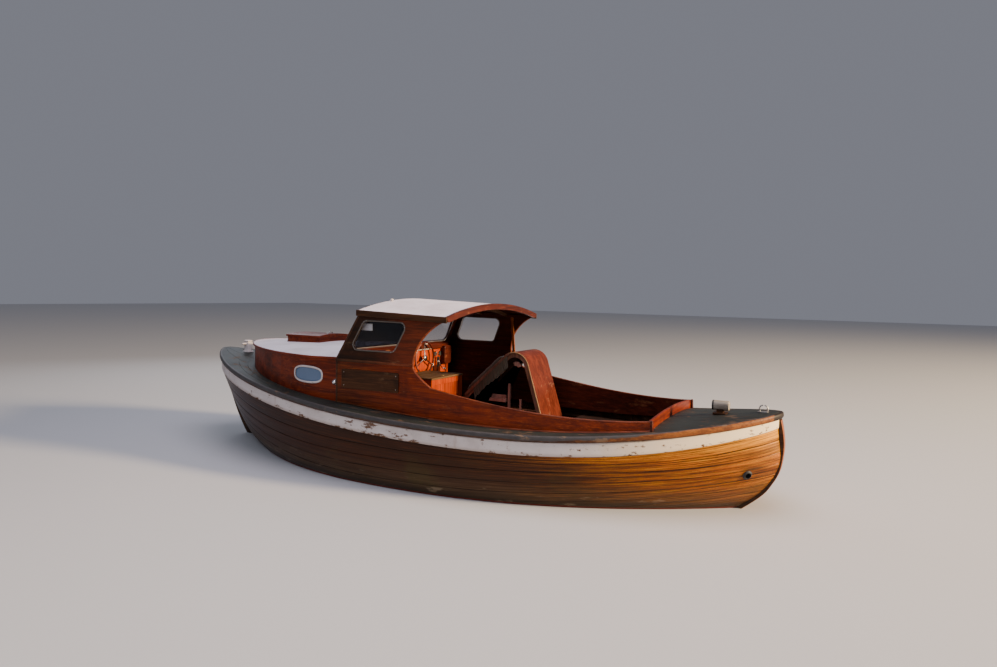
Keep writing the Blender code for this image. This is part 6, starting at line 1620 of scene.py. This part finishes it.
for y, out in ((y0, 1), (y1, -1)):
    holed(frameBoards, rect(x0 + box["proud"], x1 - 0.001, low, high),
        [rect(x0 + stile, x1 - stile, low + box["kick"], high - stile)], y, y + out * box["proud"],
        lambda x, z, depth: (x, depth, z))
make("boxFrame", frameBoards, woods["orangeUp"], bevel=0.002)
lid = Shape().box((x0 - 0.010, y0 - 0.010, high + gap), (x1, y1 + 0.010, high + 0.0203))
make("boxLid", lid, woods["lidWood"], "engine_lid", gone=["engine_lid"], bevel=0.005, steps=3)
ringPull = Shape()
pullX, pullY = x0 + 0.060, 0.050
ringPull.lathe((pullX, pullY, high + 0.0200), (0, 0, 1), [(0, 0.024), (0.0022, 0.024), (0.003, 0.020),
    (0.0012, 0.018)], 28)
ringPull.tube([(pullX + a, pullY + b, high + 0.0225) for a, b in ringOf(0.014, 28)], 0.0018, 8, round=True)
make("lidRing", ringPull, metals["bronze"], "engine_lid", smooth=50)
motor, parts = Shape(), Shape()
for y0, y1, z0, z1, radius, x0, x1 in (
        (-0.105, 0.105, -0.3345, 0.290, 0.02, 0.060, 0.330),
            (-0.075, 0.075, 0.285, 0.430, 0.018, 0.070, 0.320),
        (-0.060, 0.060, 0.425, 0.500, 0.022, 0.080, 0.310),
            (-0.130, -0.075, 0.300, 0.380, 0.02, 0.080, 0.310)):
    motor.plate(roundedBox(y0, y1, z0, z1, radius), "X", x0, x1)
make("engineBlock", motor, metals["engine"], gone=["engine"], bevel=0.006, steps=3)
parts.lathe((0.345, 0, 0.060), (1, 0, 0), [(-0.02, 0.135), (0.0, 0.145), (0.012, 0.145), (0.018, 0.12),
    (0.0195, 0.03)], 40)
parts.lathe((0.040, 0, 0.120), (1, 0, 0), [(-0.012, 0.05), (-0.008, 0.07), (0.0, 0.062), (0.008, 0.07),
    (0.02, 0.03)], 32)
parts.lathe((0.048, 0.110, 0.300), (1, 0, 0), [(-0.012, 0.02), (0.0, 0.032), (0.03, 0.045), (0.11, 0.045),
    (0.13, 0.02)], 28)
parts.tube([(0.300, -0.110, 0.34), (0.200, -0.125, 0.35), (0.100, -0.120, 0.34), (0.050, -0.100, 0.28),
    (0.035, -0.06, 0.18)], 0.022, 14)
for k in range(3):
    parts.lathe((0.120 + 0.075 * k, 0.0, 0.498), (0, 0, 1), [(0, 0.012), (0.012, 0.012), (0.014, 0.006),
        (0.020, 0.006)], 12)
make("engineParts", parts, metals["iron"], smooth=50)
print("helm and engine built")

# seat: one board rolled over the top, ribs under it and a stuffed pad on the slope
seat = {"port": -0.250, "stbd": -0.750, "aft": -1.115, "run": 1.055, "height": 1.185, "corner": 0.370,
    "knee": 0.545, "bend": 0.170, "board": 0.016, "rib": 0.042, "pad": 0.050, "sole": 0.150}


def bentPath(points, radii, steps):
    path = [Vector(points[0])]
    for i in range(1, len(points) - 1):
        p = Vector(points[i])
        a = (Vector(points[i - 1]) - p).normalized()
        b = (Vector(points[i + 1]) - p).normalized()
        angle = a.angle(b)
        start = p + a * (radii[i - 1] / math.tan(angle / 2))
        centre = p + (a + b).normalized() * (radii[i - 1] / math.sin(angle / 2))
        turn = -1.0 if a.cross(b) > 0 else 1.0
        for k in range(steps + 1):
            path.append(centre + Matrix.Rotation(turn * (math.pi - angle) * k / steps, 2) @ (start - centre))
    return path + [Vector(points[-1])]


def beside(path, distance):
    # the line moved square to itself, towards the inside of the bend
    line = []
    for i, p in enumerate(path):
        a = (path[i] - path[i - 1]).normalized() if i > 0 else None
        b = (path[i + 1] - path[i]).normalized() if i < len(path) - 1 else None
        a, b = a or b, b or a
        middle = (a + b).normalized()
        reach = distance / max(0.5, middle.dot(a))
        line.append((p.x + middle.y * reach, p.y - middle.x * reach))
    return line


seatFoot = seat["sole"] + gap
seatCorners = [(seat["aft"], seatFoot), (seat["aft"] + seat["corner"], seat["sole"] + seat["height"]),
    (seat["aft"] + seat["run"] + 0.010, seat["sole"] + seat["knee"]), (seat["aft"] + seat["run"], seatFoot)]
seatPath = bentPath(seatCorners, (seat["bend"], 0.050), 18)
over = 20


def seatBand(path, near, far, low, high):
    outline = [(x, max(z, seatFoot)) for x, z in beside(path, near) + beside(path, far)[::-1]]
    return Shape().plate(outline, "Y", low, high)


lap = (seatPath[over] - seatPath[over - 1]).normalized()
joint = seatPath[over - 1] + lap * 0.004
make("seatBoard", seatBand(seatPath[:over] + [joint], 0.0, seat["board"], seat["stbd"], seat["port"]),
    woods["seatUp"], gone=["seat_back"], bevel=0.003, smooth=25)
make("seatSlope", seatBand([joint + lap * gap] + seatPath[over:], 0.0, seat["board"], seat["stbd"],
    seat["port"]), woods["interiorAcross"], gone=["seat_front"], bevel=0.003, smooth=25)
ribs = Shape()
ribPath = beside(seatPath, seat["board"] + 0.0004)
ribInner = beside(seatPath, seat["board"] + seat["rib"])
outline = [(x, max(z, seatFoot)) for x, z in ribPath + ribInner[::-1]]
for y in (seat["port"] - 0.012, seat["stbd"] + 0.034):
    ribs.plate(outline, "Y", y - 0.022, y)
railZ = seat["sole"] + 0.330
railX = (seat["aft"] + seat["corner"] * (railZ - seat["sole"]) / seat["height"] + 0.034,
    seat["aft"] + seat["run"] - 0.046)
for y in (seat["stbd"] + 0.014, seat["port"] - 0.032):
    ribs.box((railX[0], y, railZ), (railX[1], y + 0.018, railZ + 0.040))
ribs.box((-0.560, seat["stbd"] + 0.030, railZ + 0.006), (-0.540, seat["port"] - 0.030, railZ + 0.034))
ribs.box((-0.585, seat["port"] - 0.034, seatFoot), (-0.550, seat["port"] - 0.014, railZ + 0.002))
make("seatRibs", ribs, woods["ribWood"], gone=["seat_ribs"], bevel=0.003)
edges, slopeEdges = Shape(), Shape()
for y in (seat["port"], seat["stbd"]):
    out = 1 if y > -0.5 else -1
    line = beside(seatPath[:over - 2], seat["board"] / 2)
    path = [(x, y + out * 0.0004, max(z, seatFoot)) for x, z in line]
    edges.sweep(path, halfRound(0.013, 0.004), [(0, out, 0)] * len(path))
    line = beside(seatPath[over - 4:over + 1], seat["board"] / 2 + 0.006)
    path = [(x, y + out * 0.0004, z) for x, z in line]
    slopeEdges.sweep(path, halfRound(0.034, 0.006), [(0, out, 0)] * len(path))
make("seatEdgeTrim", edges, creamTrim, smooth=50)
make("seatSlopeTrim", slopeEdges, woods["ribWood"], smooth=50)
# an inner frame: one bent rib, a shelf board and posts
innerFrame = Shape()
bent = beside(seatPath[:over - 2], 0.105)
bentLow = beside(seatPath[:over - 2], 0.150)
outline = [(x, z) for x, z in bent if z > 0.60] + [(x, z) for x, z in bentLow[::-1] if z > 0.60]
innerFrame.plate(outline, "Y", -0.318, -0.292)
innerFrame.box((-0.560, -0.335, 0.655), (-0.165, -0.275, 0.690))
innerFrame.box((-0.540, -0.330, 0.6905), (-0.190, -0.312, 0.728))
make("seatInnerFrame", innerFrame, woods["frameWood"], bevel=0.004, steps=3, smooth=25)
innerPosts = Shape()
innerPosts.box((-0.606, -0.300, seatFoot), (-0.580, -0.276, 0.856))
innerPosts.box((-0.738, -0.300, seatFoot), (-0.716, -0.276, 0.700))
make("seatPosts", innerPosts, woods["frameWood"], bevel=0.003)

# a ruffled cloth skirt hangs along the slope's port edge
skirt = {"deep": 0.108, "pleat": 0.0065, "wave": 0.037, "thick": 0.0035, "cols": 150, "rows": 14}
skirtTop = [Vector(p) for p in beside([seatPath[over - 2], seatPath[over - 1], seatPath[over]],
    seat["board"] + 0.010)]
skirtLength = (skirtTop[1] - skirtTop[0]).length + (skirtTop[2] - skirtTop[1]).length * 0.80
first, fall = (skirtTop[1] - skirtTop[0]).length, Vector((-0.18, -1.0)).normalized()
front, back = [], []
for i in range(skirt["cols"]):
    run = i / (skirt["cols"] - 1) * skirtLength
    at = skirtTop[0].lerp(skirtTop[1], run / first) if run < first else skirtTop[1].lerp(
        skirtTop[2], (run - first) / (skirtTop[2] - skirtTop[1]).length)
    near, far = [], []
    for j in range(skirt["rows"]):
        v = j / (skirt["rows"] - 1)
        phase = run / skirt["wave"] * 2 * math.pi + 1.1 * math.sin(run * 23.0) + 0.5 * v
        wide = skirt["pleat"] * (0.15 + 0.85 * v ** 0.7) * (0.7 + 0.3 * math.sin(run * 41.0))
        depth = skirt["deep"] * (1.0 + 0.06 * math.sin(phase * 0.5) + 0.10 * math.sin(run * 13.0))
        p = at + fall * depth * v
        y = seat["port"] + 0.0085 + wide * (1.0 + math.sin(phase))
        near.append((p.x, y + skirt["thick"] / 2, p.y))
        far.append((p.x, y - skirt["thick"] / 2, p.y))
    front.append(near)
    back.append(far)
skirtPiece = make("seatSkirt", Shape().shell(front, back), padCloth, smooth=60)

# the pad: a stuffed cloth form, blown up a little and ruffled along its edges
slopeLine = [seatPath[over - 1] + lap * 0.045, seatPath[over] - lap * 0.035]
padSize = {"wide": 0.452, "thick": 0.043, "inset": 0.003, "voxel": 0.0055, "cap": 0.007}
slopeAim = (slopeLine[1] - slopeLine[0]).normalized()
slopeUp = Vector((-slopeAim.y, slopeAim.x))
slopeUp = slopeUp if slopeUp.y > 0 else -slopeUp
length = (slopeLine[1] - slopeLine[0]).length
padVerts, padFaces, index = [], [], {}
nu, nv, nw = 28, 22, 4
padMiddle = (seat["port"] + seat["stbd"]) / 2


def padPoint(i, j, k):
    u, v, w = i / nu, j / nv * 2 - 1, k / nw
    edge = min(1.0, min(u, 1 - u) * 7.0) * min(1.0, (1 - abs(v)) * 5.0)
    thick = padSize["thick"] * (0.45 + 0.55 * math.sqrt(max(0.0, 1.0 - (1.0 - edge) ** 2)))
    along = padSize["inset"] + (length - 2 * padSize["inset"]) * u
    p = slopeLine[0] + slopeAim * along + slopeUp * (0.0022 + (w * thick))
    pull = 1.0 - 0.02 * (1 - abs(2 * u - 1))
    return (p.x, padMiddle + v * padSize["wide"] / 2 * pull, p.y)


for i in range(nu + 1):
    for j in range(nv + 1):
        for k in range(nw + 1):
            if i in (0, nu) or j in (0, nv) or k in (0, nw):
                index[i, j, k] = len(padVerts)
                padVerts.append(padPoint(i, j, k))
for i in range(nu):
    for j in range(nv):
        for k in (0, nw):
            padFaces.append((index[i, j, k], index[i + 1, j, k], index[i + 1, j + 1, k], index[i, j + 1, k]))
for i in range(nu):
    for k in range(nw):
        for j in (0, nv):
            padFaces.append((index[i, j, k], index[i + 1, j, k], index[i + 1, j, k + 1], index[i, j, k + 1]))
for j in range(nv):
    for k in range(nw):
        for i in (0, nu):
            padFaces.append((index[i, j, k], index[i, j + 1, k], index[i, j + 1, k + 1], index[i, j, k + 1]))
padMesh = bpy.data.meshes.new("seatPad")
padMesh.from_pydata(padVerts, [], padFaces)
bm = bmesh.new()
bm.from_mesh(padMesh)
bmesh.ops.recalc_face_normals(bm, faces=bm.faces[:])
bm.to_mesh(padMesh)
bm.free()
pad = shown("seatPad", padMesh)
remesh = pad.modifiers.new("remesh", "REMESH")
remesh.mode, remesh.voxel_size = "VOXEL", padSize["voxel"]
before = np.array([tuple(v.co) for v in applied(pad).vertices])
cloth = pad.modifiers.new("cloth", "CLOTH")
cloth.settings.use_pressure = True
cloth.settings.uniform_pressure_force = 4.0
cloth.settings.effector_weights.gravity = 0.0
cloth.settings.quality = 6
cloth.settings.tension_stiffness = cloth.settings.compression_stiffness = 12.0
cloth.settings.bending_stiffness = 0.4
cloth.point_cache.frame_start, cloth.point_cache.frame_end = 1, 20
for number in range(1, 21):
    bpy.context.scene.frame_set(number)
seen = bpy.context.evaluated_depsgraph_get()
blown = np.array([tuple(v.co) for v in pad.evaluated_get(seen).to_mesh().vertices])
pad.evaluated_get(seen).to_mesh_clear()
pad.modifiers.clear()
bpy.context.scene.frame_set(1)
move = blown - before
size = np.linalg.norm(move, axis=1, keepdims=True)
after = before + move * np.minimum(1.0, padSize["cap"] / np.maximum(size, 1e-9))
# flat where it lies on the slope
base = np.array([slopeLine[0].x, slopeLine[0].y])
height = (after[:, [0, 2]] - base) @ np.array([slopeUp.x, slopeUp.y])
sunk = np.minimum(height - 0.0012, 0.0)[:, None] * np.array([[slopeUp.x, 0.0, slopeUp.y]])
after -= sunk
pad.data.vertices.foreach_set("co", after.ravel())
pad.data.update()
finer = pad.modifiers.new("finer", "SUBSURF")
finer.levels = finer.render_levels = 1
smoothPad = applied(pad)
coords = np.array([tuple(v.co) for v in smoothPad.vertices])
rel = coords[:, [0, 2]] - np.array([slopeLine[0].x, slopeLine[0].y])
u = rel @ np.array([slopeAim.x, slopeAim.y])
h = rel @ np.array([slopeUp.x, slopeUp.y])
v = (coords[:, 1] - padMiddle) / (padSize["wide"] / 2)
rim = np.clip((np.abs(v) - 0.75) / 0.25, 0, 1)
ruffle = 0.0032 * rim * (np.sin(u * 58.0) + 0.6 * np.sin(u * 131.0 + 1.3)) * np.clip(h / 0.03, 0, 1)
sewn = -0.005 * sum(np.exp(-((u - length * s) / 0.006) ** 2) for s in (0.25, 0.5, 0.75)) * np.clip(h / 0.035,
    0, 1)
creases = 0.0012 * np.sin(u * 33.0 + 5.0 * v + np.sin(v * 9.0)) * np.clip(h / 0.03, 0, 1)
shift = (ruffle + sewn + creases)[:, None] * np.array([[slopeUp.x, 0.0, slopeUp.y]])
coords = coords + shift
smoothPad.vertices.foreach_set("co", coords.ravel())
smoothPad.update()
smoothPad.materials.clear()
smoothPad.materials.append(padCloth)
smoothPad.shade_smooth()
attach(pad, "boat")
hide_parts("seat_pad")
print("seat built")

# cockpit: blank card, sole slats, bent frames and stringers; some solids are shown as they are
card = Shape().plate(roundedBox(-0.078, 0.078, -0.033, 0.033, 0.002, 2), "Y", -0.0012, 0.0012)
cardAt = (0.395, 0.868, 1.453)
card.verts = [(cardAt[0] + x, cardAt[1] + y, cardAt[2] + z) for x, y, z in card.verts]
make("blankCard", card, paintFinish("cardPaper", dict(paints["white"], paint=(0.80, 0.78, 0.76),
    chipFrom=0.9, dirt=0.2)))
for name, look in (("sole", "soleBoards"), ("bench_port", "soleBoards"), ("bench_stbd", "soleBoards"),
        ("bulkhead_aft", "interiorAcross"), ("roof_beam_middle", "interiorAcross"),
        ("roof_beam_fore", "interiorAcross"), ("trunk_sides", "mahoganyWood")):
    recolour(name, woods[look])
grow("soleSlats", slats, [(-1.765, -0.378, 0.156)], [], woods["soleBoards"],
    sizes={"Length": 1.190, "Width": 0.098, "Thickness": 0.012, "Room": 0.010, "Count": 8}, smooth=30)


def addLine(points, edges, line, side):
    # one more line for a tree to run along
    start = len(points)
    points += [(x, side * y, z) for x, y, z in line]
    edges += [(start + k, start + k + 1) for k in range(len(line) - 1)]


framePoints, frameLines, stringPoints, stringLines = [], [], [], []
for s in np.concatenate([np.linspace(-0.575, -0.02, 11), np.linspace(0.04, 0.46, 9)]):
    line = hullAt(float(s), np.linspace(3.9 if s < 0 else 3.0, 8.35, 22), hull["plank"] + 0.006)
    for tag, side in sides:
        addLine(framePoints, frameLines, line, side)
grow("bentFrames", beads, framePoints, frameLines, woods["interiorWood"],
    sizes={"Radius": 0.012, "Sides": 8, "Spacing": 0.03}, smooth=50)
line = [hullAt(s, 6.9, hull["plank"] + 0.020)[0] for s in np.linspace(-0.60, 0.5, 50)]
for tag, side in sides:
    addLine(stringPoints, stringLines, line, side)
grow("stringers", beads, stringPoints, stringLines, woods["interiorWood"],
    sizes={"Radius": 0.016, "Sides": 10, "Spacing": 0.04}, smooth=50)
grow("fixingScrews", screws, rimScrews, [], metals["steel"], aims=rimAims,
    sizes={"Radius": 0.0042, "Height": 0.0024, "Sides": 10}, smooth=50)

# deck gear: bitts, stern fairlead, exhaust outlet
bitt = {"x": -2.810, "foot": float(deckHeights(-2.810, 0.0))}


def addBlock(shape, at, half, radius, steps, low, high):
    # a square block with eased corners, on the deck at a bitt
    outline = roundedBox(at["x"] - half, at["x"] + half, -half, half, radius, steps)
    shape.plate(outline, "Z", at["foot"] + low, at["foot"] + high)


log = Shape()
addBlock(log, bitt, 0.058, 0.012, 3, 0.0002, 0.017)
addBlock(log, bitt, 0.030, 0.006, 2, 0.010, 0.062)
make("bittFoot", log, woods["darkSideWood"], gone=["bitt_aft"], bevel=0.003)
barrel = Shape().lathe((bitt["x"] - 0.075, 0, bitt["foot"] + 0.078), (1, 0, 0),
    [(0, 0.034), (0.004, 0.041), (0.020, 0.0435), (0.060, 0.042), (0.1, 0.0432), (0.128, 0.043),
    (0.130, 0.040)], 36)
make("bittLog", barrel, woods["greyWood"], smooth=40)
capEnd = Shape().lathe((bitt["x"] + 0.052, 0, bitt["foot"] + 0.078), (1, 0, 0),
    [(0, 0.0425), (0.014, 0.0435), (0.018, 0.040)], 36)
make("bittEnd", capEnd, rubber, smooth=40)
head = {"x": 2.940, "foot": float(deckHeights(2.940, 0.0))}
samson = Shape()
addBlock(samson, head, 0.048, 0.010, 3, 0.0002, 0.015)
addBlock(samson, head, 0.034, 0.006, 3, 0.010, 0.134)
samson.loft([[(head["x"] + a * r, b * r, head["foot"] + z) for a, b in ((-1, -1), (1, -1), (1, 1), (-1, 1))]
    for z, r in ((0.134, 0.034), (0.138, 0.037), (0.144, 0.037), (0.152, 0.016))])
samson.rod((head["x"], -0.094, head["foot"] + 0.105), (head["x"], 0.094, head["foot"] + 0.105), 0.0115, 20,
    ease=0.003)
make("bowBitt", samson, woods["whitePaint"], gone=["bitt_fore"], bevel=0.0025, smooth=40)
fairlead = Shape()
fx, fz = -3.165, float(deckHeights(-3.165, 0.0))
fairlead.plate(roundedBox(fx - 0.045, fx + 0.045, -0.028, 0.028, 0.012, 3), "Z", fz + 0.0002, fz + 0.006)
for side in (1, -1):
    fairlead.tube([(fx + side * 0.030, 0, fz + 0.004), (fx + side * 0.034, 0, fz + 0.030),
        (fx + side * 0.026, 0, fz + 0.052), (fx + side * 0.006, 0, fz + 0.060)], 0.0065, 12, up=(0, 1, 0))
make("sternFairlead", fairlead, metals["steel"], smooth=50)
outlet = Shape().lathe(exhaustAt - exhaustOut * 0.070, exhaustOut,
    [(0, 0.0295), (0.068, 0.0298), (0.070, 0.040), (0.0755, 0.041), (0.079, 0.0385), (0.0835, 0.031),
    (0.088, 0.0295), (0.088, 0.0262), (0.012, 0.0255)], 40)
make("exhaustPipe", outlet, rubber, gone=["exhaust"], smooth=40)

# under water: propeller, shaft and rudder keep their solids, and so does the glass
for name, finish in (("propeller", metals["bronze"]), ("shaft", metals["steel"]),
        ("rudder", woods["backboneWood"])):
    recolour(name, finish)
for name in cad:
    if name.startswith("cabin_light"):
        # the cabin lights take the blue glass, a painted reflection of the sky
        recolour(name, paintedSkyGlass)
    elif name.startswith("side_glass"):
        recolour(name, windowGlass)
    elif name.startswith("screen_glass"):
        # the port pane takes the near-black glass as painted shade
        recolour(name, shadedPortPane if name.endswith("port") else screenGlass)
print("cockpit and deck gear built")

# floor and light
floor = bpy.data.meshes.new("floor")
floor.from_pydata([(-60, -60, 0), (60, -60, 0), (60, 60, 0), (-60, 60, 0)], [], [(0, 1, 2, 3)])
floor.materials.append(Finish("floorPaint").done((0.56, 0.57, 0.59), 0.9))
floorObject = shown("floor", floor)

world = bpy.data.worlds.new("sky")
bpy.context.scene.world = world
world.use_nodes = True
world.node_tree.nodes["Background"].inputs["Color"].default_value = (0.66, 0.68, 0.80, 1.0)
world.node_tree.nodes["Background"].inputs["Strength"].default_value = 0.30


def lamp(name, at, toward, size, watts, color):
    light = bpy.data.lights.new(name, "AREA")
    light.shape, light.size, light.energy, light.color = "DISK", size, watts, color
    aim = (Vector(toward) - Vector(at)).to_track_quat("-Z", "Y")
    shown(name, light).matrix_world = Matrix.Translation(at) @ aim.to_matrix().to_4x4()


lamp("sun", (-29.0, -4.4, 9.2), (-1.0, 0.0, 0.6), 4.0, 24500, (1.0, 0.74, 0.46))
lamp("skyPort", (-3.0, 10.0, 7.0), (0.0, 0.5, 0.6), 8.0, 300, (0.84, 0.88, 1.0))
lamp("skyTop", (-1.5, 1.0, 8.5), (0.0, 0.0, 0.8), 7.0, 430, (1.0, 0.90, 1.0))
lamp("skyBow", (9.0, -5.0, 6.0), (0.5, 0.0, 0.8), 6.0, 180, (0.85, 0.90, 1.0))

print("dressed")
